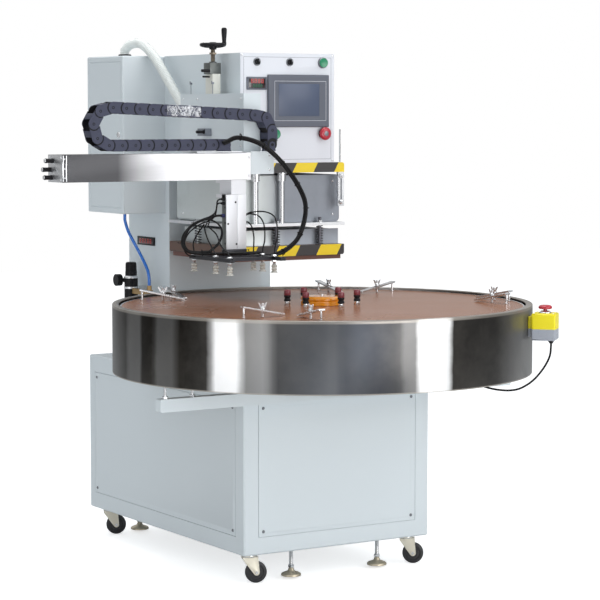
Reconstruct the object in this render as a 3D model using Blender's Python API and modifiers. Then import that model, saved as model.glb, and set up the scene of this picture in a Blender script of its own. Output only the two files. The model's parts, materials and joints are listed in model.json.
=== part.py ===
"""Blister sealing machine: a rotary table in a guard drum, a high-frequency press and a pick-up arm.

Lengths are metres. Pieces are placed in the cabinet frame, whose origin is the base cabinet's
front left bottom corner: +X runs right along the front, +Y to the rear, +Z up. The empty
"machine" carries that frame, so that the machine stands on z = 0 in the middle of its own box.
"""

import math

import bmesh
import bpy
from mathutils import Matrix, Vector

# Fits
SEAT_GAP = 0.0003
RUNNING_GAP = 0.0010
WELD = 0.0010  # how far joined shapes reach into each other

# Base cabinet
CABINET_WIDTH = 0.650
CABINET_DEPTH = 1.000
CABINET_HEIGHT = 0.500
CABINET_ROUNDING = 0.004
FLOOR_CLEARANCE = 0.090
PANEL_SIDE_BORDER = 0.050
PANEL_REAR_BORDER = 0.040
PANEL_BOTTOM_BORDER = 0.053
PANEL_TOP_BORDER = 0.055
PANEL_DEPTH = 0.003
PANEL_SEAM = 0.0015
SCREW_INSET = 0.015
SCREW_RADIUS = 0.0035
SCREW_PROUD = 0.0015

# Where the upper machine stands on the cabinet: its top, its middle and the column's front
COLUMN_DEPTH = 0.278
DECK = CABINET_HEIGHT
MIDLINE = CABINET_WIDTH / 2
COLUMN_FRONT = CABINET_DEPTH - COLUMN_DEPTH

# Front support arm under the drum
SUPPORT_INSIDE_RIM = 0.012
SUPPORT_HEIGHT = 0.037
SUPPORT_DEPTH = 0.030
SUPPORT_ROUNDING = 0.006
STANDOFF_RADIUS = 0.004
STANDOFF_NUT_RADIUS = 0.008
STANDOFF_NUT_HEIGHT = 0.006
STANDOFF_INSETS = (0.023, 0.110, 0.349)  # from each end of the arm

# Guard drum and turntable
DRUM_X = MIDLINE
DRUM_RADIUS = 0.625
DRUM_TO_COLUMN = 0.005
DRUM_Y = COLUMN_FRONT - DRUM_TO_COLUMN - DRUM_RADIUS
DRUM_BOTTOM = DECK + 0.018
DRUM_HEIGHT = 0.203
DRUM_WALL = 0.003
DRUM_ROLL = 0.002
DRUM_LIP = 0.020
DRUM_FLOOR_HOLE = 0.145
DRUM_STEPS = 72
TABLE_STEPS = 64
SPACER_RADIUS = 0.014
SPACER_X = 0.220
SPACER_Y = (-0.055, 0.250)
TABLE_GAP = 0.003
TABLE_THICKNESS = 0.010
TABLE_BELOW_LIP = 0.007
FLANGE_RADIUS = 0.090
FLANGE_THICKNESS = 0.016
SHAFT_RADIUS = 0.030
SHAFT_LENGTH = 0.130
DRIVE_SIDE = 0.176
DRIVE_HEIGHT = 0.130
DRIVE_BOSS_RADIUS = 0.070
DRIVE_BOSS_HEIGHT = 0.028
DISTRIBUTOR_RADIUS = 0.056
DISTRIBUTOR_HEIGHT = 0.025
DISTRIBUTOR_GROOVE = 0.003
KNOB_RING_RADIUS = 0.093
KNOB_COUNT = 6
KNOB_FOOT_RADIUS = 0.006
KNOB_NECK_RADIUS = 0.0075
KNOB_CAP_RADIUS = 0.010
KNOB_HEIGHT = 0.045

# Strap clamps: where each leg stands and where its far end points, each as the angle round the
# table in degrees and the distance in from the table's edge
CLAMP_ENDS = (
    ("clamp_left_front", (132.88, 0.0274), (130.91, 0.1561)),
    ("clamp_left_rear", (117.55, 0.029), (125.06, 0.139)),
    ("clamp_front_left", (-147.98, 0.089), (-137.22, 0.2192)),
    ("clamp_front_right", (-122.3, 0.0649), (-132.2, 0.1971)),
    ("clamp_rear_left", (59.27, 0.0657), (48.79, 0.1952)),
    ("clamp_rear_right", (33.08, 0.0542), (41.63, 0.1805)),
    ("clamp_right_front", (-31.14, 0.047), (-16.58, 0.122)),
    ("clamp_right_rear", (-20.8, 0.019), (-6.42, 0.0747)),
)
CLAMP_LENGTH = 0.140
CLAMP_WIDTH = 0.020
CLAMP_THICKNESS = 0.005
CLAMP_LEG_HEIGHT = 0.029
CLAMP_TIP_HEIGHT = 0.0025
CLAMP_LEG_RADIUS = 0.0035
CLAMP_SLOT_LENGTH = 0.044
CLAMP_SLOT_WIDTH = 0.010
STUD_RADIUS = 0.004
STUD_HEIGHT = 0.040
WING_BASE_RADIUS = 0.0075
WING_BASE_HEIGHT = 0.006
WING_SPAN = 0.030
WING_HEIGHT = 0.013
WING_THICKNESS = 0.003

# Column, head and generator cabinet
COLUMN_LEFT = MIDLINE - 0.1764
COLUMN_WIDTH = 0.338
COLUMN_WING_WIDTH = 0.058
COLUMN_WING_DEPTH = 0.240
SPINE_DEPTH = 0.026
HEAD_WIDTH = 0.332
HEAD_BOTTOM = DECK + 0.633
HEAD_HEIGHT = 0.330
HEAD_FRONT = COLUMN_FRONT - 0.448
GENERATOR_BOTTOM = DECK + 0.466
GENERATOR_DEPTH = 0.252
GENERATOR_ROUNDING = 0.003
DOOR_BORDER = 0.017
DOOR_GROOVE = 0.003
DOOR_GROOVE_DEPTH = 0.002
COUNTER_BOX = (COLUMN_FRONT + 0.096, COLUMN_FRONT + 0.214, DECK + 0.358, DECK + 0.385)
COUNTER_PROUD = 0.003
VENT_COUNT = 8
VENT_PITCH = 0.016
VENT_LENGTH = 0.180
VENT_HEIGHT = 0.005
VENT_DEPTH = 0.004

# Control panel on the head's front
PANEL_THICKNESS = 0.0027
PANEL_FRONT = HEAD_FRONT - PANEL_THICKNESS - SEAT_GAP
PANEL_CORNER_SCREW = 0.006
SELECTOR_PLACES = ((COLUMN_LEFT + 0.0574, HEAD_BOTTOM + 0.304), (COLUMN_LEFT + 0.1724, HEAD_BOTTOM + 0.304))
START_PLACE = (COLUMN_LEFT + 0.2894, HEAD_BOTTOM + 0.303)
RESET_PLACE = (COLUMN_LEFT + 0.1204, HEAD_BOTTOM + 0.087)
STOP_PLACE = (COLUMN_LEFT + 0.2924, HEAD_BOTTOM + 0.088)
BUTTON_RADIUS = 0.0117
BUTTON_PROUD = 0.011
BUTTON_TRAVEL = 0.003
BEZEL_RADIUS = 0.0155
BEZEL_PROUD = 0.007
SELECTOR_RADIUS = 0.009
SELECTOR_DEPTH = 0.007
SELECTOR_GRIP_DEPTH = 0.009
SELECTOR_GRIP_WIDTH = 0.005
MUSHROOM_RADIUS = 0.020
MUSHROOM_DEPTH = 0.012
MUSHROOM_STAND = 0.0085
STOP_TRAVEL = 0.004
STOP_BEZEL_PROUD = 0.004
DISPLAY_LOW = (COLUMN_LEFT + 0.0214, HEAD_BOTTOM + 0.221)
DISPLAY_SIZE = (0.068, 0.037)
DISPLAY_PROUD = 0.003
SCREEN_LOW = (COLUMN_LEFT + 0.0924, HEAD_BOTTOM + 0.108)
SCREEN_WIDTH = 0.217
SCREEN_HEIGHT = 0.158
SCREEN_PROUD = 0.009
SCREEN_ROUNDING = 0.002
GLASS_SIDE = 0.036
GLASS_BOTTOM = 0.033
GLASS_TOP = 0.027
GLASS_DEPTH = 0.0008

# Press
PLATE_LEFT = COLUMN_LEFT - 0.0166
PLATE_WIDTH = 0.386
PLATE_DEPTH = 0.419
PLATE_THICKNESS = 0.030
PLATE_ROUNDING = 0.007
ROD_RADIUS = 0.0085
ROD_BORE_GAP = 0.0005
ROD_PLACES = tuple((PLATE_LEFT + x, PANEL_FRONT + y) for x in (0.080, 0.172) for y in (0.019, 0.403))
ROD_ABOVE_HEAD_BOTTOM = 0.130
BUSHING_RADIUS = 0.0125
BUSHING_LENGTH = 0.026
PISTON_RADIUS = 0.020
PISTON_PLACE = (PLATE_LEFT + 0.193, PANEL_FRONT + 0.209)
MARKER_ROD_RADIUS = 0.0025
MARKER_ROD_HEIGHT = 0.102
GUIDE_STRIP_WIDTH = 0.022
GUIDE_STRIP_HEIGHT = 0.105
GUIDE_STRIP_THICKNESS = 0.008
GUIDE_SLOT_WIDTH = 0.006
HOUSING_LEFT = PLATE_LEFT + 0.008
HOUSING_WIDTH = 0.382
HOUSING_FRONT = PANEL_FRONT + 0.035
HOUSING_DEPTH = 0.349
HOUSING_TOP_GAP = 0.008
HOUSING_ROUNDING = 0.012
MID_LEFT = PLATE_LEFT - 0.002
MID_WIDTH = 0.390
MID_DEPTH = 0.424
MID_BOTTOM = DECK + 0.440
MID_THICKNESS = 0.009
PRESS_STROKE = 0.070
PLATEN_BOTTOM = DECK + 0.349
PLATEN_THICKNESS = 0.032
PLATEN_FLOAT = 0.010
UPSTAND_LEFT = PLATE_LEFT + 0.036
UPSTAND_WIDTH = 0.318
UPSTAND_TOP_GAP = 0.012
SHIELD_THICKNESS = 0.003
SHIELD_INSET = 0.002
SHEET_THICKNESS = 0.013
SHEET_INSET = 0.008
SPRING_PLACES = tuple((name, PLATE_LEFT + x, PANEL_FRONT + y) for name, x, y in (
    ("spring_front_left", 0.153, 0.019), ("spring_front_right", 0.309, 0.019),
    ("spring_left", 0.020, 0.269), ("spring_right", 0.372, 0.269),
))
SPRING_RADIUS = 0.010
SPRING_WIRE = 0.0014
SPRING_TURNS = 6
SPRING_POINTS_PER_TURN = 8
SPRING_STUD_RADIUS = 0.005
SPRING_NUT_RADIUS = 0.008
SPRING_NUT_HEIGHT = 0.006
SPRING_STUD_TOP = 0.010

# Pick-up arm
BRACKET_LEFT = COLUMN_LEFT - 0.0586
BRACKET_FRONT = HEAD_FRONT - 0.122
BRACKET_REAR = HEAD_FRONT + 0.263
BRACKET_BOTTOM = DECK + 0.670
BRACKET_TOP = DECK + 0.841
BRACKET_WALL = 0.004
FOOT_FRONT = HEAD_FRONT - 0.174
FOOT_WIDTH = 0.078
FOOT_DEPTH = 0.090
FOOT_BOTTOM = DECK + 0.605
FOOT_TOP = DECK + 0.672
SENSOR_RADIUS = 0.004
SENSOR_LENGTH = 0.028
POST_WIDTH = 0.028
POST_DEPTH = 0.045
POST_BOTTOM = DECK + 0.680
POST_CENTRE_Y = HEAD_FRONT + 0.0935
NUT_BLOCK_BOTTOM = DECK + 0.900
NUT_BLOCK_HEIGHT = 0.034
NUT_BLOCK_LEFT = BRACKET_LEFT - 0.012
NUT_BLOCK_DEPTH = 0.062
ARM_TRAVEL = 0.025
LEAD_SCREW_RADIUS = 0.007
LEAD_SCREW_IN_BLOCK = 0.020
WHEEL_CENTRE_Z = DECK + 0.988
HANDWHEEL_RADIUS = 0.036
HANDWHEEL_RIM = 0.0045
HANDWHEEL_HUB_RADIUS = 0.013
GRIP_RADIUS = 0.0065
GRIP_TOP = DECK + 1.040
BEAM_LENGTH = 0.581
BEAM_RIGHT = BRACKET_LEFT - 0.019
BEAM_LEFT = BEAM_RIGHT - BEAM_LENGTH
BEAM_BOTTOM = DECK + 0.590
BEAM_HEIGHT = 0.077
BEAM_WALL = 0.003
BEAM_SLOT = 0.040
BEAM_END_PLATE = 0.013
END_PLATE_PROUD = 0.002
BEAM_FITTING_RADIUS = 0.006
BEAM_FITTING_LENGTH = 0.027
SHOE_LEFT = BEAM_RIGHT - 0.091
SHOE_LENGTH = 0.084
SHOE_SIDE_GAP = 0.008
BLOCK_LEFT = BEAM_RIGHT - 0.052
BLOCK_WIDTH = 0.049
BLOCK_FRONT = FOOT_FRONT + 0.002
BLOCK_DEPTH = 0.068
BLOCK_HEIGHT = 0.042
CHAIN_PLATE_LEFT = BEAM_RIGHT - 0.164
CHAIN_PLATE_LENGTH = 0.150
CHAIN_PLATE_THICKNESS = 0.0035
CARRIAGE_TRAVEL = 0.450
SLIDE_LEFT = BEAM_RIGHT - 0.070
SLIDE_WIDTH = 0.067
SLIDE_FRONT = FOOT_FRONT
SLIDE_DEPTH = 0.026
SLIDE_CAP_DEPTH = 0.061
SLIDE_CAP_HEIGHT = 0.010
SLIDE_BOTTOM = DECK + 0.388
LIFT_ROD_RADIUS = 0.004
LIFT_ROD_PLACES = tuple((BEAM_RIGHT - 0.025, FOOT_FRONT + y) for y in (0.037, 0.053))
LIFT_ROD_HEIGHT = 0.092
LIFT_TRAVEL = 0.050
FRAME_BOTTOM = DECK + 0.362
FRAME_THICKNESS = 0.010
FRAME_BAR = 0.016
FRAME_FRONT = FOOT_FRONT - 0.174
FRAME_REAR = FOOT_FRONT + 0.064
FRAME_BAR_X = (BEAM_RIGHT - 0.150, BEAM_RIGHT + 0.018)
FRAME_CROSS_Y = (FOOT_FRONT - 0.120, FOOT_FRONT - 0.040, FOOT_FRONT + 0.030)
CUP_PLACES = tuple((x, FOOT_FRONT + y) for x, ys in zip(FRAME_BAR_X, (
    (0.049, -0.078, -0.159), (-0.005, -0.057, -0.123))) for y in ys)
CUP_RADIUS = 0.011
CUP_STEM_RADIUS = 0.005
CUP_DROP = 0.037

# Drag chain
CHAIN_PITCH = 0.047
CHAIN_HEIGHT = 0.034
CHAIN_WIDTH = 0.045
CHAIN_FRONT = FOOT_FRONT + 0.003
CHAIN_PLATE = 0.004
CHAIN_LAP = 0.0005
CHAIN_INNER_LOWER = 0.0012
CHAIN_STEP = 0.002
CHAIN_BAR = 0.0035
CHAIN_PIN_RADIUS = 0.005
CHAIN_LOOP_RADIUS = 0.0535
CHAIN_LOOP_X = BEAM_RIGHT - 0.440
CHAIN_LOWER_Z = DECK + 0.6915
CHAIN_END_X = BEAM_RIGHT - 0.037
CHAIN_TURN_RADIUS = 0.042
CHAIN_TURN_X = BEAM_RIGHT + 0.047
CHAIN_TURN_Z = DECK + 0.735
CHAIN_START_Z = DECK + 0.691

# Routes of the hoses and leads that the machine holds
CONDUIT_RADIUS = 0.015
CONDUIT_ROUTE = tuple((COLUMN_LEFT + x, COLUMN_FRONT + y, DECK + z) for x, y, z in (
    (-0.0886, 0.128, 0.9705), (-0.0886, 0.128, 0.982), (-0.0816, 0.098, 1.001), (-0.0686, 0.048, 1),
    (-0.0546, -0.012, 0.956), (-0.0426, -0.067, 0.893), (-0.0336, -0.12, 0.834), (-0.0296, -0.162, 0.797),
    (-0.0296, -0.1845, 0.797),
))
GLAND_RADIUS = 0.020
GLAND_HEIGHT = 0.007
BLUE_HOSE_RADIUS = 0.005
BLUE_HOSE_ROUTE = tuple((COLUMN_LEFT + x, COLUMN_FRONT + y, DECK + z) for x, y, z in (
    (-0.1146, 0.085, 0.4655), (-0.1146, 0.085, 0.446), (-0.1056, 0.08, 0.41), (-0.0876, 0.074, 0.372),
    (-0.0636, 0.064, 0.322), (-0.0496, 0.054, 0.282), (-0.0466, 0.05, 0.252), (-0.0466, 0.05, 0.2355),
))
LOOM_RADIUS = 0.008
LOOM_ROUTE = tuple((BEAM_RIGHT + x, FOOT_FRONT + y, DECK + z) for x, y, z in (
    (-0.087, -0.012, 0.696), (-0.075, -0.013, 0.701), (-0.038, -0.02, 0.713), (0.036, -0.025, 0.691),
    (0.107, -0.028, 0.632), (0.165, -0.03, 0.557), (0.182, -0.032, 0.498), (0.158, -0.034, 0.425),
    (0.111, -0.037, 0.384), (0.059, -0.04, 0.367), (0.041, -0.04, 0.367), (0.0265, -0.04, 0.367),
))
STOP_LEAD_RADIUS = 0.003
STOP_LEAD_ROUTE = tuple((DRUM_X + x, DRUM_Y + y, DRUM_BOTTOM + z) for x, y, z in (
    (0.47, -0.502, 0.1085), (0.47, -0.502, 0.092), (0.472, -0.493, 0.058), (0.457, -0.482, 0.022),
    (0.432, -0.467, -0.012), (0.403, -0.449, -0.034), (0.378, -0.433, -0.041), (0.351, -0.416, -0.04),
    (0.323, -0.399, -0.034), (0.299, -0.384, -0.024), (0.292, -0.379, -0.012), (0.292, -0.379, -0.0005),
))

# Filter regulator on the column's left side
REGULATOR_X = COLUMN_LEFT - 0.0486
REGULATOR_Y = COLUMN_FRONT + 0.172
REGULATOR_TOP = DECK + 0.260
REGULATOR_HEIGHT = 0.105
REGULATOR_RADIUS = 0.022
BOWL_RADIUS = 0.019
BOWL_HEIGHT = 0.055
REGULATOR_KNOB_RADIUS = 0.019
REGULATOR_KNOB_HEIGHT = 0.044
GAUGE_RADIUS = 0.019
GAUGE_DEPTH = 0.018
OUTLET_RADIUS = 0.009
OUTLET_Z = DECK + 0.212

# Remote stop on the drum's right
STOP_ANGLE = math.radians(-48)
STOP_GAP = 0.012
STOP_BOX_DEPTH = 0.070
STOP_BOX_WIDTH = 0.067
STOP_BOX_BOTTOM = DRUM_BOTTOM + 0.109
STOP_BOX_HEIGHT = 0.079
STOP_BOX_ROUNDING = 0.003
STOP_COLLAR_RADIUS = 0.017
STOP_COLLAR_HEIGHT = 0.006
STOP_STEM_RADIUS = 0.0055

# Casters and levelling feet
CASTER_INSET_X = 0.046
CASTER_INSET_Y = 0.050
CASTER_PLATE = 0.060
CASTER_PLATE_THICKNESS = 0.003
CASTER_TRAIL = 0.020
CASTER_TURNS = (("front_left", -20), ("front_right", -35), ("rear_left", -25), ("rear_right", -40))
WHEEL_RADIUS = 0.0325
WHEEL_WIDTH = 0.022
WHEEL_SHOULDER = 0.004
AXLE_RADIUS = 0.004
CHEEK_THICKNESS = 0.0025
CHEEK_CLEARANCE = 0.0008
RACE_RADIUS = 0.021
RACE_HEIGHT = 0.009
FOOT_PLACES = (
    ("front_left", 0.187, 0.045), ("front_right", CABINET_WIDTH - 0.158, 0.045),
    ("rear_left", 0.150, CABINET_DEPTH - 0.060), ("rear_right", CABINET_WIDTH - 0.150, CABINET_DEPTH - 0.060),
)
FOOT_PAD_RADIUS = 0.030
FOOT_PAD_HEIGHT = 0.009
FOOT_ABOVE_FLOOR = 0.008
FOOT_STUD_RADIUS = 0.006
FOOT_STUD_IN_CABINET = 0.035
FOOT_BORE_DEPTH = 0.060
FOOT_NUT_RADIUS = 0.010
FOOT_NUT_HEIGHT = 0.008

# Places worked out from the sizes above
DRUM_TOP = DRUM_BOTTOM + DRUM_HEIGHT
TABLE_TOP = DRUM_TOP - TABLE_BELOW_LIP
TABLE_RADIUS = DRUM_RADIUS - DRUM_LIP - TABLE_GAP
PLATE_BOTTOM = HEAD_BOTTOM - PLATE_THICKNESS
PLATE_FRONT = PANEL_FRONT
MID_TOP = MID_BOTTOM + MID_THICKNESS
PLATEN_TOP = PLATEN_BOTTOM + PLATEN_THICKNESS
GENERATOR_FRONT = CABINET_DEPTH - GENERATOR_DEPTH
HEAD_TOP = HEAD_BOTTOM + HEAD_HEIGHT
HEAD_REAR = GENERATOR_FRONT - SEAT_GAP
POST_X = BRACKET_LEFT + BRACKET_WALL + RUNNING_GAP + POST_WIDTH / 2
BEAM_REAR = FOOT_FRONT + FOOT_DEPTH
BEAM_TOP = BEAM_BOTTOM + BEAM_HEIGHT
BEAM_CENTRE_Y = (FOOT_FRONT + BEAM_REAR) / 2
FOOT_LEFT = BEAM_RIGHT + BEAM_END_PLATE + SEAT_GAP
SLIDE_TOP = BEAM_BOTTOM - SEAT_GAP - BLOCK_HEIGHT - SEAT_GAP
ARM_RIGHT = COLUMN_LEFT - SEAT_GAP
AXLE_Z = WHEEL_RADIUS - FLOOR_CLEARANCE
STOP_CENTRE_RADIUS = DRUM_RADIUS + STOP_GAP + STOP_BOX_DEPTH / 2
STOP_CENTRE = (
    DRUM_X + STOP_CENTRE_RADIUS * math.cos(STOP_ANGLE),
    DRUM_Y + STOP_CENTRE_RADIUS * math.sin(STOP_ANGLE),
)
BOX_LEFT = BEAM_LEFT - BEAM_END_PLATE - BEAM_FITTING_LENGTH
BOX_MIDDLE_X = (BOX_LEFT + DRUM_X + DRUM_RADIUS) / 2
BOX_MIDDLE_Y = (DRUM_Y - DRUM_RADIUS + CABINET_DEPTH) / 2

FINISHES = {
    "light_paint": ((0.78, 0.80, 0.81), 0.45, 0.0),
    "stainless_steel": ((0.62, 0.61, 0.59), 0.25, 1.0),
    "table_laminate": ((0.42, 0.25, 0.18), 0.50, 0.0),
    "amber_plastic": ((0.80, 0.35, 0.03), 0.20, 0.0),
    "zinc_plated": ((0.70, 0.71, 0.73), 0.35, 1.0),
    "galvanised": ((0.45, 0.47, 0.50), 0.40, 0.8),
    "aluminium": ((0.75, 0.76, 0.78), 0.40, 1.0),
    "chain_plastic": ((0.10, 0.10, 0.15), 0.50, 0.0),
    "black_plastic": ((0.03, 0.03, 0.035), 0.40, 0.0),
    "screen_plastic": ((0.13, 0.14, 0.17), 0.35, 0.0),
    "hazard_paint": ((0.75, 0.60, 0.03), 0.50, 0.0),
    "green_plastic": ((0.02, 0.35, 0.12), 0.35, 0.0),
    "red_plastic": ((0.55, 0.03, 0.04), 0.35, 0.0),
    "yellow_plastic": ((0.80, 0.68, 0.02), 0.40, 0.0),
    "black_rubber": ((0.03, 0.03, 0.035), 0.70, 0.0),
    "white_hose": ((0.82, 0.84, 0.83), 0.50, 0.0),
    "blue_hose": ((0.02, 0.15, 0.50), 0.35, 0.0),
    "spring_steel": ((0.25, 0.25, 0.28), 0.40, 1.0),
}


def clear_scene():
    """Empties the scene and returns the collections for the parts and for their cutters."""
    for obj in list(bpy.data.objects):
        bpy.data.objects.remove(obj, do_unlink=True)
    found = []
    for name in ("blister_sealing_machine", "cutters"):
        collection = bpy.data.collections.new(name)
        bpy.context.scene.collection.children.link(collection)
        found.append(collection)
    return found


def finish_material(name):
    """The Principled material of that name, made at its first use."""
    material = bpy.data.materials.get(name)
    if material:
        return material
    colour, roughness, metallic = FINISHES[name]
    material = bpy.data.materials.new(name)
    material.use_nodes = True
    shader = material.node_tree.nodes["Principled BSDF"]
    shader.inputs["Base Color"].default_value = (*colour, 1.0)
    shader.inputs["Roughness"].default_value = roughness
    shader.inputs["Metallic"].default_value = metallic
    material.diffuse_color = (*colour, 1.0)
    return material


def from_bmesh(shape):
    """A new object in the parts collection with this bmesh, which is freed."""
    mesh = bpy.data.meshes.new("shape")
    shape.to_mesh(mesh)
    shape.free()
    obj = bpy.data.objects.new("shape", mesh)
    PARTS.objects.link(obj)
    return obj


def box(low, high, rounding=0.0, along=None):
    """A block between two corners. Rounding takes all edges, or those along one axis, 0, 1 or 2."""
    shape = bmesh.new()
    bmesh.ops.create_cube(shape, size=1.0)
    size = Vector(high) - Vector(low)
    bmesh.ops.scale(shape, vec=size, verts=shape.verts)
    bmesh.ops.translate(shape, vec=(Vector(low) + Vector(high)) / 2, verts=shape.verts)
    if rounding:
        edges = shape.edges[:]
        if along is not None:
            edges = [e for e in edges if abs((e.verts[0].co - e.verts[1].co)[along]) > rounding]
        segments = 1 if along is None else 3
        bmesh.ops.bevel(shape, geom=edges, offset=rounding, segments=segments,
                        profile=0.5, affect="EDGES")
    return from_bmesh(shape)


def rod(start, axis, length, radius, end_radius=None, sides=20):
    """A round bar or a cone from a point along axis "x", "y" or "z"; the length may be negative."""
    shape = bmesh.new()
    end_radius = radius if end_radius is None else end_radius
    radii = (radius, end_radius) if length > 0 else (end_radius, radius)
    bmesh.ops.create_cone(shape, cap_ends=True, segments=sides, radius1=radii[0],
                          radius2=radii[1], depth=abs(length))
    about, angle = {"x": ("Y", 90), "y": ("X", -90), "z": ("Z", 0)}[axis]
    bmesh.ops.rotate(shape, cent=(0, 0, 0), verts=shape.verts,
                     matrix=Matrix.Rotation(math.radians(angle), 3, about))
    middle = Vector(start)
    middle["xyz".index(axis)] += length / 2
    bmesh.ops.translate(shape, vec=middle, verts=shape.verts)
    for face in shape.faces:
        face.smooth = len(face.verts) == 4
    return from_bmesh(shape)


def turned(profile, steps=32, closed=False):
    """A body turned about Z from (radius, height) points, which run down its outer side."""
    mesh = bpy.data.meshes.new("profile")
    points = [(radius, 0.0, height) for radius, height in profile]
    edges = [(i, i + 1) for i in range(len(points) - 1)]
    if closed:
        edges.append((len(points) - 1, 0))
    mesh.from_pydata(points, edges, [])
    obj = bpy.data.objects.new("shape", mesh)
    PARTS.objects.link(obj)
    screw = obj.modifiers.new("turn", "SCREW")
    screw.steps = steps
    screw.render_steps = steps
    screw.use_merge_vertices = True
    screw.merge_threshold = 0.00001
    screw.use_smooth_shade = True
    return as_mesh(obj)


def as_mesh(obj):
    """The object again as a plain welded mesh with its modifiers carried out."""
    bpy.context.view_layer.update()
    graph = bpy.context.evaluated_depsgraph_get()
    mesh = bpy.data.meshes.new_from_object(obj.evaluated_get(graph))
    made = bpy.data.objects.new(obj.name, mesh)
    made.matrix_world = obj.matrix_world
    PARTS.objects.link(made)
    bpy.data.objects.remove(obj, do_unlink=True)
    shape = bmesh.new()
    shape.from_mesh(mesh)
    bmesh.ops.remove_doubles(shape, verts=shape.verts, dist=0.00001)
    bmesh.ops.recalc_face_normals(shape, faces=shape.faces)
    shape.to_mesh(mesh)
    shape.free()
    return made


def flat(points, start, thickness, facing="y"):
    """A plate with a flat outline. Facing "y", points are (x, z); "x", (y, z); "z", (x, y)."""
    curve = bpy.data.curves.new("outline", "CURVE")
    curve.dimensions = "2D"
    curve.fill_mode = "BOTH"
    curve.extrude = thickness / 2
    spline = curve.splines.new("POLY")
    spline.points.add(len(points) - 1)
    for slot, (u, v) in zip(spline.points, points):
        slot.co = (u, v, 0.0, 1.0)
    spline.use_cyclic_u = True
    obj = bpy.data.objects.new("shape", curve)
    PARTS.objects.link(obj)
    obj = as_mesh(obj)
    shape = bmesh.new()
    shape.from_mesh(obj.data)
    for vertex in shape.verts:
        u, v, w = vertex.co
        depth = start + thickness / 2 + w
        vertex.co = {"y": (u, depth, v), "x": (depth, u, v), "z": (u, v, depth)}[facing]
    shape.normal_update()
    bmesh.ops.recalc_face_normals(shape, faces=shape.faces)
    shape.to_mesh(obj.data)
    shape.free()
    return obj


def arc(centre, radius, start, end, steps):
    """Points round a centre from one angle to another, in degrees."""
    angles = [math.radians(start + (end - start) * i / steps) for i in range(steps + 1)]
    return [(centre[0] + radius * math.cos(a), centre[1] + radius * math.sin(a)) for a in angles]


def smooth_route(knots, spacing):
    """Points about that far apart on a smooth curve, straight between the first two and last two knots."""
    points = [Vector(knot) for knot in knots]
    route = [points[0]]
    for before, first, second, after in zip(points, points[1:], points[2:], points[3:]):
        steps = max(2, round((second - first).length / spacing))
        for step in range(steps):
            t = step / steps
            route.append(0.5 * (
                2 * first + (second - before) * t
                + (2 * before - 5 * first + 4 * second - after) * t ** 2
                + (3 * first - before - 3 * second + after) * t ** 3
            ))
    return [*route, points[-2], points[-1]]


def tube(points, radius, resolution=2):
    """A round tube along the points, as a curve with filled caps."""
    curve = bpy.data.curves.new("route", "CURVE")
    curve.dimensions = "3D"
    curve.bevel_depth = radius
    curve.bevel_resolution = resolution
    curve.use_fill_caps = True
    spline = curve.splines.new("POLY")
    spline.points.add(len(points) - 1)
    for slot, point in zip(spline.points, points):
        slot.co = (*point, 1.0)
    obj = bpy.data.objects.new("shape", curve)
    PARTS.objects.link(obj)
    return obj


def shift(obj, move):
    """Moves the object's mesh, and not its origin."""
    for vertex in obj.data.vertices:
        vertex.co += Vector(move)
    return obj


def combine(base, tools, operation):
    """Adds a Boolean for each tool, which becomes a hidden child of the base."""
    for tool in tools:
        PARTS.objects.unlink(tool)
        CUTTERS.objects.link(tool)
        tool.hide_render = True
        tool.display_type = "WIRE"
        tool.parent = base
        modifier = base.modifiers.new(operation.lower(), "BOOLEAN")
        modifier.operation = operation
        modifier.solver = "EXACT"
        modifier.object = tool
    return base


def gathered(pieces):
    """Several pieces as one object, so that one Boolean serves them all."""
    shape = bmesh.new()
    for piece in pieces:
        shape.from_mesh(piece.data)
        bpy.data.objects.remove(piece, do_unlink=True)
    return from_bmesh(shape)


def join(base, *tools):
    return combine(base, tools, "UNION")


def cut(base, *tools):
    return combine(base, tools, "DIFFERENCE")


def place(obj, name, finish, at=(0.0, 0.0, 0.0), turn=(0.0, 0.0, 0.0), parent=None):
    """Names the finished piece, gives it its material and sets it in the cabinet frame."""
    obj.name = name
    obj.data.name = name
    obj.data.materials.clear()
    obj.data.materials.append(finish_material(finish))
    obj.parent = parent or ROOT
    obj.location = at
    obj.rotation_euler = [math.radians(angle) for angle in turn]
    if obj.type == "MESH":
        obj.data.shade_smooth()
        obj.data.set_sharp_from_angle(angle=math.radians(35))
    return obj


def screw_heads(width, height):
    """Four screw heads at the corners of a panel whose lower left corner is the origin."""
    places = [(x, z) for x in (SCREW_INSET, width - SCREW_INSET)
              for z in (SCREW_INSET, height - SCREW_INSET)]
    return [rod((x, WELD, z), "y", -(WELD + SCREW_PROUD), SCREW_RADIUS, sides=10) for x, z in places]


def screwed_panel(name, width, height, at, turn):
    """A flush sheet panel with four screws, its outer face on its own y = 0."""
    sheet = box((0, 0, 0), (width, PANEL_DEPTH - SEAT_GAP, height))
    return place(join(sheet, *screw_heads(width, height)), name, "light_paint", at, turn)


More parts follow.
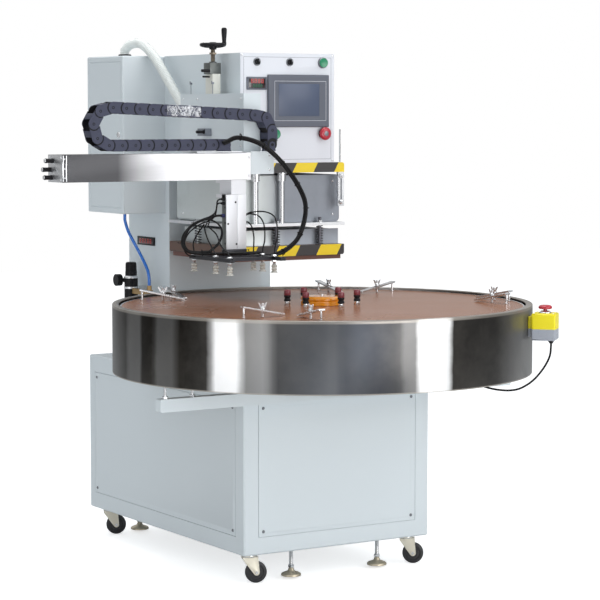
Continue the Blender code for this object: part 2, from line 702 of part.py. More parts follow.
def add_base_cabinet():
    """The cabinet with its recesses for two panels, caster plates and nuts for the feet."""
    body = box((0, 0, 0), (CABINET_WIDTH, CABINET_DEPTH, CABINET_HEIGHT), CABINET_ROUNDING)
    panel_height = CABINET_HEIGHT - PANEL_BOTTOM_BORDER - PANEL_TOP_BORDER
    front_width = CABINET_WIDTH - 2 * PANEL_SIDE_BORDER
    side_width = CABINET_DEPTH - PANEL_SIDE_BORDER - PANEL_REAR_BORDER
    low = PANEL_BOTTOM_BORDER - PANEL_SEAM
    high = CABINET_HEIGHT - PANEL_TOP_BORDER + PANEL_SEAM
    recesses = [
        box((PANEL_SIDE_BORDER - PANEL_SEAM, -WELD, low),
            (CABINET_WIDTH - PANEL_SIDE_BORDER + PANEL_SEAM, PANEL_DEPTH, high)),
        box((-WELD, PANEL_SIDE_BORDER - PANEL_SEAM, low),
            (PANEL_DEPTH, CABINET_DEPTH - PANEL_REAR_BORDER + PANEL_SEAM, high)),
    ]
    half = CASTER_PLATE / 2
    plates = [box((x - half, y - half, -CASTER_PLATE_THICKNESS), (x + half, y + half, WELD))
              for x, y in caster_places()]
    nuts = [rod((x, y, WELD), "z", -(WELD + FOOT_NUT_HEIGHT), FOOT_NUT_RADIUS, sides=6)
            for _, x, y in FOOT_PLACES]
    bores = [rod((x, y, -FOOT_NUT_HEIGHT - WELD), "z", FOOT_NUT_HEIGHT + WELD + FOOT_BORE_DEPTH,
                 FOOT_STUD_RADIUS + SEAT_GAP, sides=16) for _, x, y in FOOT_PLACES]
    cut(join(body, *plates, *nuts), *recesses, *bores)
    place(body, "base_cabinet", "light_paint")
    screwed_panel("front_panel", front_width, panel_height,
                  (PANEL_SIDE_BORDER, 0, PANEL_BOTTOM_BORDER), (0, 0, 0))
    screwed_panel("left_side_panel", side_width, panel_height,
                  (0, CABINET_DEPTH - PANEL_REAR_BORDER, PANEL_BOTTOM_BORDER), (0, 0, -90))


def caster_places():
    """The swivel axis of each caster, in the order of CASTER_TURNS."""
    right = CABINET_WIDTH - CASTER_INSET_X
    rear = CABINET_DEPTH - CASTER_INSET_Y
    return [(CASTER_INSET_X, CASTER_INSET_Y), (right, CASTER_INSET_Y),
            (CASTER_INSET_X, rear), (right, rear)]


def add_support_arm():
    """The square tube in front of the cabinet, with the standoffs that hold the drum's rim."""
    top = CABINET_HEIGHT - PANEL_TOP_BORDER + SUPPORT_HEIGHT
    half = DRUM_RADIUS - SUPPORT_INSIDE_RIM
    bar = box((MIDLINE - half, -SUPPORT_DEPTH, top - SUPPORT_HEIGHT),
              (MIDLINE + half, -SEAT_GAP, top), SUPPORT_ROUNDING, along=1)
    places = [MIDLINE + side * (half - inset) for side in (-1, 1) for inset in STANDOFF_INSETS]
    middle = -SUPPORT_DEPTH / 2
    length = DRUM_BOTTOM - SEAT_GAP - top + WELD
    studs = [rod((x, middle, top - WELD), "z", length, STANDOFF_RADIUS, sides=8)
             for x in places]
    nuts = [rod((x, middle, top - WELD), "z", WELD + STANDOFF_NUT_HEIGHT, STANDOFF_NUT_RADIUS, sides=6)
            for x in places]
    place(join(bar, *studs, *nuts), "front_support_arm", "light_paint")


def add_drum():
    """The fixed guard drum, turned from sheet, on four spacers that stand on the cabinet."""
    outer = DRUM_RADIUS
    inner = outer - DRUM_WALL
    lip = outer - DRUM_LIP
    floor = DRUM_BOTTOM + DRUM_WALL
    profile = [
        (lip, DRUM_TOP), (outer - DRUM_ROLL, DRUM_TOP), (outer, DRUM_TOP - DRUM_ROLL),
        (outer, DRUM_BOTTOM + DRUM_ROLL), (outer - DRUM_ROLL, DRUM_BOTTOM),
        (DRUM_FLOOR_HOLE, DRUM_BOTTOM), (DRUM_FLOOR_HOLE, floor), (inner, floor),
        (inner, DRUM_TOP - DRUM_WALL), (lip, DRUM_TOP - DRUM_WALL),
    ]
    drum = turned(profile, DRUM_STEPS, closed=True)
    spacers = [rod((x, y, CABINET_HEIGHT + SEAT_GAP), "z",
                   DRUM_BOTTOM - CABINET_HEIGHT - SEAT_GAP + WELD, SPACER_RADIUS, sides=12)
               for x in (-SPACER_X, SPACER_X) for y in SPACER_Y]
    place(join(drum, *spacers), "drum_shell", "stainless_steel", (DRUM_X, DRUM_Y, 0))


def add_index_drive():
    """The indexing gearbox on the cabinet's top, whose output boss carries the table's shaft."""
    half = DRIVE_SIDE / 2
    low = CABINET_HEIGHT + SEAT_GAP
    top = low + DRIVE_HEIGHT + DRIVE_BOSS_HEIGHT
    case = box((-half, -half, low), (half, half, low + DRIVE_HEIGHT), CABINET_ROUNDING)
    boss = rod((0, 0, low + DRIVE_HEIGHT - WELD), "z", DRIVE_BOSS_HEIGHT + WELD,
               DRIVE_BOSS_RADIUS, sides=32)
    bore_bottom = TABLE_TOP - TABLE_THICKNESS - SHAFT_LENGTH - RUNNING_GAP
    bore = rod((0, 0, bore_bottom), "z", top - bore_bottom + WELD, SHAFT_RADIUS + SEAT_GAP, sides=32)
    place(cut(join(case, boss), bore), "index_drive", "light_paint", (DRUM_X, DRUM_Y, 0))


def on_table(angle, inset):
    """The point at an angle round the table, in degrees, and that far in from its edge."""
    reach = TABLE_RADIUS - inset
    return Vector((DRUM_X + reach * math.cos(math.radians(angle)), DRUM_Y + reach * math.sin(math.radians(angle))))


def clamp_frame(leg, tip):
    """Where a clamp's stud stands, halfway, and which way the clamp points, in degrees."""
    leg, tip = on_table(*leg), on_table(*tip)
    run = tip - leg
    middle = leg + run.normalized() * CLAMP_LENGTH / 2
    return middle, math.degrees(math.atan2(run.y, run.x))


def add_turntable():
    """The laminate table on its shaft, with the knobs round the centre and the clamps' studs."""
    under = TABLE_TOP - TABLE_THICKNESS
    profile = [
        (0, TABLE_TOP), (TABLE_RADIUS, TABLE_TOP), (TABLE_RADIUS, under), (FLANGE_RADIUS, under),
        (FLANGE_RADIUS, under - FLANGE_THICKNESS), (SHAFT_RADIUS, under - FLANGE_THICKNESS),
        (SHAFT_RADIUS, under - SHAFT_LENGTH), (0, under - SHAFT_LENGTH),
    ]
    table = turned(profile, TABLE_STEPS)
    knobs = []
    for i in range(KNOB_COUNT):
        angle = 2 * math.pi * (i + 0.5) / KNOB_COUNT
        knob = turned([
            (0, KNOB_HEIGHT), (KNOB_CAP_RADIUS, KNOB_HEIGHT * 0.93),
            (KNOB_CAP_RADIUS, KNOB_HEIGHT * 0.50), (KNOB_NECK_RADIUS, KNOB_HEIGHT * 0.43),
            (KNOB_CAP_RADIUS, KNOB_HEIGHT * 0.34), (KNOB_CAP_RADIUS, KNOB_HEIGHT * 0.22),
            (KNOB_FOOT_RADIUS, KNOB_HEIGHT * 0.20), (KNOB_FOOT_RADIUS, -WELD), (0, -WELD),
        ], 8)
        knobs.append(shift(knob, (KNOB_RING_RADIUS * math.cos(angle),
                                  KNOB_RING_RADIUS * math.sin(angle), TABLE_TOP)))
    fastenings = []
    for _, leg, tip in CLAMP_ENDS:
        middle, _ = clamp_frame(leg, tip)
        fastenings.append(wing_nut_and_stud(middle.x - DRUM_X, middle.y - DRUM_Y))
    studs, nuts, wings = (gathered(pieces) for pieces in zip(*fastenings))
    place(join(table, gathered(knobs), studs, nuts, wings), "turntable_disc", "table_laminate",
          (DRUM_X, DRUM_Y, 0))


def clamp_top_at_stud():
    """How high the strap's upper face is above the table at its middle."""
    return (CLAMP_LEG_HEIGHT + CLAMP_TIP_HEIGHT) / 2 + CLAMP_THICKNESS


def wing_nut_and_stud(x, y):
    """A stud in the table with the wing nut that holds a clamp down."""
    nut = TABLE_TOP + clamp_top_at_stud() + 2 * RUNNING_GAP
    top = nut + WING_BASE_HEIGHT
    wings = [(-WING_SPAN / 2, top + WING_HEIGHT * 0.9), (-WING_SPAN * 0.30, top + WING_HEIGHT),
             (0, top), (WING_SPAN * 0.30, top + WING_HEIGHT), (WING_SPAN / 2, top + WING_HEIGHT * 0.9),
             (WING_SPAN * 0.25, top - WING_BASE_HEIGHT * 0.7),
             (-WING_SPAN * 0.25, top - WING_BASE_HEIGHT * 0.7)]
    return [
        rod((x, y, TABLE_TOP - WELD), "z", STUD_HEIGHT, STUD_RADIUS, sides=8),
        rod((x, y, nut), "z", WING_BASE_HEIGHT, WING_BASE_RADIUS, sides=8),
        shift(flat(wings, -WING_THICKNESS / 2, WING_THICKNESS), (x, y, 0)),
    ]


def add_distributor():
    """The amber air distributor in the middle of the table, with one groove round it."""
    groove = DISTRIBUTOR_GROOVE
    middle = DISTRIBUTOR_HEIGHT * 0.55
    profile = [
        (0, DISTRIBUTOR_HEIGHT), (DISTRIBUTOR_RADIUS - groove, DISTRIBUTOR_HEIGHT),
        (DISTRIBUTOR_RADIUS, DISTRIBUTOR_HEIGHT - groove), (DISTRIBUTOR_RADIUS, middle + groove),
        (DISTRIBUTOR_RADIUS - groove, middle), (DISTRIBUTOR_RADIUS, middle - groove),
        (DISTRIBUTOR_RADIUS, 0), (0, 0),
    ]
    place(turned(profile, 32), "distributor_hub", "amber_plastic",
          (DRUM_X, DRUM_Y, TABLE_TOP + SEAT_GAP))


def add_clamp(name, leg, tip):
    """A slotted strap that slopes from its leg down to its tip; its origin is on the stud's axis."""
    half = CLAMP_LENGTH / 2
    outline = [
        (-half, CLAMP_LEG_HEIGHT), (half, CLAMP_TIP_HEIGHT),
        (half, CLAMP_TIP_HEIGHT + CLAMP_THICKNESS), (-half, CLAMP_LEG_HEIGHT + CLAMP_THICKNESS),
    ]
    strap = flat(outline, -CLAMP_WIDTH / 2, CLAMP_WIDTH)
    leg_x = CLAMP_LEG_RADIUS * 1.6 - half
    pin = rod((leg_x, 0, SEAT_GAP), "z", CLAMP_LEG_HEIGHT, CLAMP_LEG_RADIUS, sides=8)
    shoe = rod((leg_x, 0, SEAT_GAP), "z", CLAMP_LEG_RADIUS, CLAMP_LEG_RADIUS * 1.5, sides=8)
    reach = CLAMP_SLOT_LENGTH / 2 - CLAMP_SLOT_WIDTH / 2
    slot_outline = (arc((reach, 0), CLAMP_SLOT_WIDTH / 2, -90, 90, 4)
                    + arc((-reach, 0), CLAMP_SLOT_WIDTH / 2, 90, 270, 4))
    slot = flat(slot_outline, 0, CLAMP_LEG_HEIGHT + 2 * CLAMP_THICKNESS, facing="z")
    middle, heading = clamp_frame(leg, tip)
    place(cut(join(strap, pin, shoe), slot), name, "zinc_plated",
          (middle.x, middle.y, TABLE_TOP), (0, 0, heading))


def rod_bores(bottom, height):
    """Cutters for the guide rods' and the piston's bores."""
    bores = [rod((x, y, bottom), "z", height, ROD_RADIUS + ROD_BORE_GAP, sides=16)
             for x, y in ROD_PLACES]
    piston = rod((*PISTON_PLACE, bottom), "z", height, PISTON_RADIUS + ROD_BORE_GAP, sides=24)
    return [*bores, piston]


def add_frame_and_head():
    """The welded column, its spine behind the generator's front, and the press head above."""
    left, right = COLUMN_LEFT, COLUMN_LEFT + COLUMN_WIDTH
    low, high = CABINET_HEIGHT + SEAT_GAP, GENERATOR_BOTTOM - SEAT_GAP
    column = box((left, COLUMN_FRONT, low), (right, CABINET_DEPTH, high))
    wing = box((right - WELD, CABINET_DEPTH - COLUMN_WING_DEPTH, low),
               (right + COLUMN_WING_WIDTH, CABINET_DEPTH - SEAT_GAP, high - SEAT_GAP))
    spine = box((left + SEAT_GAP, COLUMN_FRONT + SEAT_GAP, low + WELD),
                (left + HEAD_WIDTH - SEAT_GAP, HEAD_REAR - SEAT_GAP, HEAD_TOP - SEAT_GAP))
    head = box((left, HEAD_FRONT, HEAD_BOTTOM), (left + HEAD_WIDTH, HEAD_REAR, HEAD_TOP))
    y0, y1, z0, z1 = COUNTER_BOX
    counter = box((left - COUNTER_PROUD, y0, z0), (left + WELD, y1, z1))
    bores = rod_bores(HEAD_BOTTOM - WELD, ROD_ABOVE_HEAD_BOTTOM + 2 * WELD + RUNNING_GAP)
    place(cut(join(column, wing, spine, head, counter), *bores), "press_frame", "light_paint")


def door_groove(low, high):
    """A cutter for the groove round a door in the face x = 0, between two (y, z) corners."""
    ring = box((-WELD, low[0], low[1]), (DOOR_GROOVE_DEPTH, high[0], high[1]))
    inner = box((-2 * WELD, low[0] + DOOR_GROOVE, low[1] + DOOR_GROOVE),
                (2 * DOOR_GROOVE_DEPTH, high[0] - DOOR_GROOVE, high[1] - DOOR_GROOVE))
    return as_mesh(cut(ring, inner))


def add_generator_cabinet():
    """The high-frequency generator's cabinet at the rear, with a door seam and rear vents."""
    body = box((0, GENERATOR_FRONT, GENERATOR_BOTTOM), (CABINET_WIDTH, CABINET_DEPTH, HEAD_TOP),
               GENERATOR_ROUNDING)
    groove = door_groove((GENERATOR_FRONT + DOOR_BORDER, GENERATOR_BOTTOM + DOOR_BORDER),
                         (CABINET_DEPTH - DOOR_BORDER, HEAD_TOP - DOOR_BORDER))
    middle = CABINET_WIDTH / 2
    centre_z = (GENERATOR_BOTTOM + HEAD_TOP) / 2
    vents = []
    for i in range(VENT_COUNT):
        z = centre_z + (i - (VENT_COUNT - 1) / 2) * VENT_PITCH
        vents.append(box((middle - VENT_LENGTH / 2, CABINET_DEPTH - VENT_DEPTH, z),
                         (middle + VENT_LENGTH / 2, CABINET_DEPTH + WELD, z + VENT_HEIGHT)))
    x, y, _ = CONDUIT_ROUTE[0]
    gland = rod((x, y, HEAD_TOP - WELD), "z", WELD + GLAND_HEIGHT, GLAND_RADIUS, sides=6)
    place(cut(join(body, gland), groove, *vents), "generator_cabinet", "light_paint")


def bezel(place_xz, proud, bore):
    """A ring round a button on the panel, and the cutter for its bore."""
    x, z = place_xz
    ring = rod((x, PANEL_FRONT + WELD, z), "y", -(WELD + proud), BEZEL_RADIUS, sides=20)
    hole = rod((x, PANEL_FRONT - proud - WELD, z), "y", proud + PANEL_THICKNESS + 2 * WELD,
               bore, sides=20)
    return ring, hole


def add_control_panel():
    """The panel sheet with its bezels and counter, the touch screen and every control on it."""
    left = COLUMN_LEFT
    sheet = box((left, PANEL_FRONT, HEAD_BOTTOM),
                (left + HEAD_WIDTH, PANEL_FRONT + PANEL_THICKNESS, HEAD_TOP))
    bore = BUTTON_RADIUS + SEAT_GAP
    rings, holes = zip(bezel(START_PLACE, BEZEL_PROUD, bore), bezel(RESET_PLACE, BEZEL_PROUD, bore),
                       bezel(STOP_PLACE, STOP_BEZEL_PROUD, bore))
    x, z = DISPLAY_LOW
    display = box((x, PANEL_FRONT - DISPLAY_PROUD, z),
                  (x + DISPLAY_SIZE[0], PANEL_FRONT + WELD, z + DISPLAY_SIZE[1]))
    inset = PANEL_CORNER_SCREW
    screws = [rod((x, PANEL_FRONT + WELD, z), "y", -(WELD + SCREW_PROUD), SCREW_RADIUS * 0.8, sides=8)
              for x in (left + inset, left + HEAD_WIDTH - inset)
              for z in (HEAD_BOTTOM + inset, HEAD_TOP - inset)]
    place(cut(join(sheet, *rings, display, *screws), *holes), "control_panel", "light_paint")
    add_touch_screen()
    for name, spot in (("start_button", START_PLACE), ("reset_button", RESET_PLACE)):
        cap = rod((0, -BUTTON_PROUD, 0), "y", BUTTON_PROUD - SEAT_GAP, BUTTON_RADIUS, sides=20)
        place(cap, name, "green_plastic", (spot[0], PANEL_FRONT, spot[1]))
    for side, spot in zip(("left", "right"), SELECTOR_PLACES):
        add_selector(f"selector_{side}", spot)
    x, z = STOP_PLACE
    mushroom = stop_button(BUTTON_RADIUS, MUSHROOM_STAND - STOP_TRAVEL + PANEL_THICKNESS - SEAT_GAP)
    place(mushroom, "panel_stop_button", "red_plastic", (x, PANEL_FRONT, z), (90, 0, 0))


def stop_button(stem_radius, stem_length):
    """A mushroom button that faces its own +Z, its origin where its stem meets the panel."""
    radius, depth, stand = MUSHROOM_RADIUS, MUSHROOM_DEPTH, MUSHROOM_STAND
    low = stand - stem_length
    profile = [
        (0, stand + depth), (radius * 0.80, stand + depth), (radius, stand + depth * 0.7),
        (radius, stand + depth * 0.25), (radius * 0.75, stand), (stem_radius, stand),
        (stem_radius, low), (0, low),
    ]
    return turned(profile, 20)


def add_touch_screen():
    """The operator screen: a frame that stands proud of the panel, with its glass let in."""
    x, z = SCREEN_LOW
    case = box((0, -SCREEN_PROUD, 0), (SCREEN_WIDTH, -SEAT_GAP, SCREEN_HEIGHT), SCREEN_ROUNDING)
    glass = box((GLASS_SIDE, -SCREEN_PROUD - WELD, GLASS_BOTTOM),
                (SCREEN_WIDTH - GLASS_SIDE, GLASS_DEPTH - SCREEN_PROUD, SCREEN_HEIGHT - GLASS_TOP))
    place(cut(case, glass), "touch_screen", "screen_plastic", (x, PANEL_FRONT, z))


def add_selector(name, spot):
    """A two-position selector that turns about its own Y axis."""
    knob = rod((0, -SEAT_GAP, 0), "y", -SELECTOR_DEPTH, SELECTOR_RADIUS, sides=16)
    half = SELECTOR_GRIP_WIDTH / 2
    reach = SELECTOR_RADIUS * 0.95
    grip = box((-half, -SELECTOR_DEPTH - SELECTOR_GRIP_DEPTH, -reach),
               (half, -SELECTOR_DEPTH + WELD, reach), half / 2, along=1)
    place(join(knob, grip), name, "black_plastic", (spot[0], PANEL_FRONT, spot[1]))


def rounded_plate(left, width, low, high, front, depth, corners):
    """A plate seen from the front, with the named corners rounded: any of "tl", "tr", "br", "bl"."""
    right = left + width
    radius = PLATE_ROUNDING
    spots = {
        "tr": ((right, high), (right - radius, high - radius), 0),
        "tl": ((left, high), (left + radius, high - radius), 90),
        "bl": ((left, low), (left + radius, low + radius), 180),
        "br": ((right, low), (right - radius, low + radius), 270),
    }
    outline = []
    for name, (corner, centre, start) in spots.items():
        outline += arc(centre, radius, start, start + 90, 3) if name in corners else [corner]
    return flat(outline, front, depth)


def add_upper_plate():
    """The fixed plate under the head, with bushings, the slotted guide strip and a marker rod."""
    plate = rounded_plate(PLATE_LEFT, PLATE_WIDTH, PLATE_BOTTOM, HEAD_BOTTOM - SEAT_GAP,
                          PLATE_FRONT, PLATE_DEPTH, ("tr",))
    bushings = [rod((x, y, PLATE_BOTTOM + WELD), "z", -(WELD + BUSHING_LENGTH), BUSHING_RADIUS, sides=16)
                for x, y in ROD_PLACES if y < HOUSING_FRONT]
    strip_left = PLATE_LEFT + PLATE_WIDTH - GUIDE_STRIP_WIDTH
    strip = box((strip_left, PLATE_FRONT + WELD, PLATE_BOTTOM - GUIDE_STRIP_HEIGHT),
                (strip_left + GUIDE_STRIP_WIDTH, PLATE_FRONT + WELD + GUIDE_STRIP_THICKNESS,
                 PLATE_BOTTOM + WELD))
    middle = strip_left + GUIDE_STRIP_WIDTH / 2
    bolt_z = [PLATE_BOTTOM - GUIDE_STRIP_HEIGHT + 0.012, PLATE_BOTTOM - 0.012]
    bolts = [rod((middle, PLATE_FRONT + 2 * WELD, z), "y", -0.005, 0.0055, sides=6) for z in bolt_z]
    slot = box((middle - GUIDE_SLOT_WIDTH / 2, PLATE_FRONT, bolt_z[0] + 0.008),
               (middle + GUIDE_SLOT_WIDTH / 2, PLATE_FRONT + 2 * GUIDE_STRIP_THICKNESS,
                bolt_z[1] - 0.008))
    marker = rod((middle, PLATE_FRONT + GUIDE_STRIP_THICKNESS, HEAD_BOTTOM - WELD), "z",
                 MARKER_ROD_HEIGHT, MARKER_ROD_RADIUS, sides=8)
    bottom = PLATE_BOTTOM - BUSHING_LENGTH - WELD
    bores = rod_bores(bottom, BUSHING_LENGTH + PLATE_THICKNESS + 2 * WELD)
    place(cut(join(plate, *bushings, strip, *bolts, marker), slot, *bores),
          "upper_press_plate", "hazard_paint")


def add_press_ram():
    """The moving part of the press: coupler housing, mid plate with its rods, springs and platen."""
    low = MID_TOP + SEAT_GAP
    high = PLATE_BOTTOM - HOUSING_TOP_GAP
    housing = box((HOUSING_LEFT, HOUSING_FRONT, low),
                  (HOUSING_LEFT + HOUSING_WIDTH, HOUSING_FRONT + HOUSING_DEPTH, high),
                  HOUSING_ROUNDING, along=1)
    piston_top = HEAD_BOTTOM + ROD_ABOVE_HEAD_BOTTOM
    piston = rod((*PISTON_PLACE, high - WELD), "z", piston_top - high + WELD, PISTON_RADIUS, sides=24)
    pocket = SPRING_NUT_RADIUS + 2 * RUNNING_GAP
    pocket_top = low + SPRING_NUT_HEIGHT + SPRING_STUD_TOP + PLATEN_FLOAT + RUNNING_GAP
    pockets = [rod((x, y, low - WELD), "z", pocket_top - low + WELD, pocket, sides=12)
               for _, x, y in SPRING_PLACES if y > HOUSING_FRONT]
    place(cut(join(housing, piston), *pockets), "coupler_housing", "galvanised")
    add_mid_plate(piston_top)
    for name, x, y in SPRING_PLACES:
        place(spring_coil(), name, "spring_steel", (x, y, PLATEN_TOP + SEAT_GAP))
    add_lower_platen()


def add_mid_plate(rod_top):
    """The plate between housing and springs, with the guide rods that run in the head."""
    plate = box((MID_LEFT, PLATE_FRONT, MID_BOTTOM), (MID_LEFT + MID_WIDTH, PLATE_FRONT + MID_DEPTH, MID_TOP))
    rods = [rod((x, y, MID_TOP - WELD), "z", rod_top - MID_TOP + WELD, ROD_RADIUS, sides=16)
            for x, y in ROD_PLACES]
    holes = [rod((x, y, MID_BOTTOM - WELD), "z", MID_THICKNESS + 2 * WELD,
                 SPRING_STUD_RADIUS + ROD_BORE_GAP, sides=12) for _, x, y in SPRING_PLACES]
    place(cut(join(plate, *rods), *holes), "mid_plate", "aluminium")


def spring_coil():
    """A coil that fills the height between the platen and the mid plate, from its own z = 0."""
    height = MID_BOTTOM - PLATEN_TOP - 2 * SEAT_GAP - 2 * SPRING_WIRE
    count = SPRING_TURNS * SPRING_POINTS_PER_TURN
    points = []
    for i in range(count + 1):
        angle = 2 * math.pi * i / SPRING_POINTS_PER_TURN
        points.append((SPRING_RADIUS * math.cos(angle), SPRING_RADIUS * math.sin(angle),
                       SPRING_WIRE + height * i / count))
    return tube(points, SPRING_WIRE, resolution=0)


def add_lower_platen():
    """The sealing platen that floats on the springs, with a front shield and its sheet underneath."""
    plate = rounded_plate(PLATE_LEFT, PLATE_WIDTH, PLATEN_BOTTOM, PLATEN_TOP,
                          PLATE_FRONT, PLATE_DEPTH, ("br", "bl"))
    upstand = box((UPSTAND_LEFT, HOUSING_FRONT, PLATEN_TOP - WELD),
                  (UPSTAND_LEFT + UPSTAND_WIDTH, HOUSING_FRONT + HOUSING_DEPTH,
                   MID_BOTTOM - UPSTAND_TOP_GAP))
    sheet = box((PLATE_LEFT + SHEET_INSET, PLATE_FRONT + SHEET_INSET, PLATEN_BOTTOM - SHEET_THICKNESS),
                (PLATE_LEFT + PLATE_WIDTH - SHEET_INSET, PLATE_FRONT + PLATE_DEPTH - SHEET_INSET,
                 PLATEN_BOTTOM + WELD))
    extras = []
    for _, x, y in SPRING_PLACES:
        nut = MID_TOP + SEAT_GAP
        extras += [
            rod((x, y, PLATEN_TOP - WELD), "z",
                nut + SPRING_NUT_HEIGHT + SPRING_STUD_TOP - PLATEN_TOP + WELD,
                SPRING_STUD_RADIUS, sides=10),
            rod((x, y, nut), "z", SPRING_NUT_HEIGHT, SPRING_NUT_RADIUS, sides=6),
        ]
    shield = box((PLATE_LEFT + SHIELD_INSET, HOUSING_FRONT - SHIELD_THICKNESS, PLATEN_TOP - WELD),
                 (PLATE_LEFT + PLATE_WIDTH - SHIELD_INSET, HOUSING_FRONT + WELD, MID_BOTTOM - UPSTAND_TOP_GAP))
    place(join(plate, upstand, shield, sheet, *extras), "lower_platen", "hazard_paint")


def add_arm_lift():
    """The bracket that slides up the head's left side, its post, and the handwheel on top."""
    body = box((BRACKET_LEFT, BRACKET_FRONT, BRACKET_BOTTOM), (ARM_RIGHT, BRACKET_REAR, BRACKET_TOP))
    foot = box((FOOT_LEFT, FOOT_FRONT, FOOT_BOTTOM),
               (FOOT_LEFT + FOOT_WIDTH, FOOT_FRONT + FOOT_DEPTH, FOOT_TOP))
    y = POST_CENTRE_Y
    half = POST_DEPTH / 2 + RUNNING_GAP
    block_z = BRACKET_BOTTOM + 0.045
    block = box((BRACKET_LEFT - 0.022, y - half, block_z), (BRACKET_LEFT + WELD, y + half, block_z + 0.022))
    sensor = rod((BRACKET_LEFT - 0.021, y - half + 0.006, block_z + 0.012), "x", -SENSOR_LENGTH,
                 SENSOR_RADIUS, sides=10)
    way = box((BRACKET_LEFT + BRACKET_WALL, y - half, BRACKET_BOTTOM - WELD),
              (ARM_RIGHT + WELD, y + half, BRACKET_TOP + WELD))
    place(cut(join(body, foot, block, sensor), way), "arm_bracket", "light_paint")

    left = POST_X - POST_WIDTH / 2
    post = box((left, y - POST_DEPTH / 2, POST_BOTTOM),
               (left + POST_WIDTH, y + POST_DEPTH / 2, NUT_BLOCK_BOTTOM + WELD), 0.002, along=2)
    top = NUT_BLOCK_BOTTOM + NUT_BLOCK_HEIGHT
    nut_block = box((NUT_BLOCK_LEFT, y - NUT_BLOCK_DEPTH / 2, NUT_BLOCK_BOTTOM),
                    (ARM_RIGHT, y + NUT_BLOCK_DEPTH / 2, top))
    stop = rod((NUT_BLOCK_LEFT + WELD, y - NUT_BLOCK_DEPTH / 4, NUT_BLOCK_BOTTOM + 0.010), "x",
               -SENSOR_LENGTH, SENSOR_RADIUS, sides=10)
    bore = rod((POST_X, y, top - LEAD_SCREW_IN_BLOCK - RUNNING_GAP), "z",
               LEAD_SCREW_IN_BLOCK + RUNNING_GAP + WELD, LEAD_SCREW_RADIUS + SEAT_GAP, sides=16)
    place(cut(join(post, nut_block, stop), bore), "adjust_post", "light_paint")
    add_handwheel(top)


def add_handwheel(block_top):
    """The handwheel with its lead screw and upright grip, turning about its own Z axis."""
    screw_low = block_top - LEAD_SCREW_IN_BLOCK - WHEEL_CENTRE_Z
    hub = turned([
        (0, 0.008), (HANDWHEEL_HUB_RADIUS * 0.7, 0.008), (HANDWHEEL_HUB_RADIUS, 0.003),
        (HANDWHEEL_HUB_RADIUS * 0.8, -0.014), (LEAD_SCREW_RADIUS, -0.016),
        (LEAD_SCREW_RADIUS, screw_low), (0, screw_low),
    ], 16)
    ring = [(HANDWHEEL_RADIUS + HANDWHEEL_RIM * math.cos(a), HANDWHEEL_RIM * math.sin(a))
            for a in (-2 * math.pi * i / 6 for i in range(6))]
    rim = turned(ring, 24, closed=True)
    spokes = []
    for angle in (90, 210, 330):
        along = Vector((math.cos(math.radians(angle)), math.sin(math.radians(angle)), 0))
        spoke = tube([along * HANDWHEEL_HUB_RADIUS * 0.6, along * HANDWHEEL_RADIUS], 0.004, 1)
        spokes.append(as_mesh(spoke))
    grip_x = HANDWHEEL_RADIUS - 0.002
    grip_height = GRIP_TOP - WHEEL_CENTRE_Z
    grip = shift(turned([
        (0, grip_height), (GRIP_RADIUS * 0.7, grip_height), (GRIP_RADIUS, grip_height * 0.9),
        (GRIP_RADIUS * 0.75, grip_height * 0.2), (GRIP_RADIUS * 0.6, 0), (0, 0),
    ], 12), (grip_x, 0, 0))
    place(join(hub, rim, *spokes, grip), "handwheel", "black_plastic",
          (POST_X, POST_CENTRE_Y, WHEEL_CENTRE_Z), (0, 0, -30))


def add_beam():
    """The arm's beam: a sheet cover open along its underside, with a plate at each end."""
    front, rear = FOOT_FRONT, BEAM_REAR
    low, high, wall = BEAM_BOTTOM, BEAM_TOP, BEAM_WALL
    slot_front = BEAM_CENTRE_Y - BEAM_SLOT / 2
    slot_rear = BEAM_CENTRE_Y + BEAM_SLOT / 2
    outline = [
        (slot_front, low), (slot_front, low + wall), (front + wall, low + wall),
        (front + wall, high - wall), (rear - wall, high - wall), (rear - wall, low + wall),
        (slot_rear, low + wall), (slot_rear, low), (rear, low), (rear, high), (front, high), (front, low),
    ]
    cover = flat(outline, BEAM_LEFT, BEAM_RIGHT - BEAM_LEFT, facing="x")
    plates = [
        box((BEAM_LEFT - BEAM_END_PLATE, front, low), (BEAM_LEFT + WELD, rear, high)),
        box((BEAM_RIGHT - WELD, front, low - 0.001), (BEAM_RIGHT + BEAM_END_PLATE, rear, high + END_PLATE_PROUD)),
    ]
    start = BEAM_LEFT - BEAM_END_PLATE + WELD
    fittings = [rod((start, BEAM_CENTRE_Y + offset, low + height), "x",
                    -(WELD + BEAM_FITTING_LENGTH), BEAM_FITTING_RADIUS, sides=10)
                for offset, height in ((0.020, 0.013), (0.030, 0.035), (0.012, 0.060))]
    place(join(cover, *plates, *fittings), "beam", "stainless_steel")


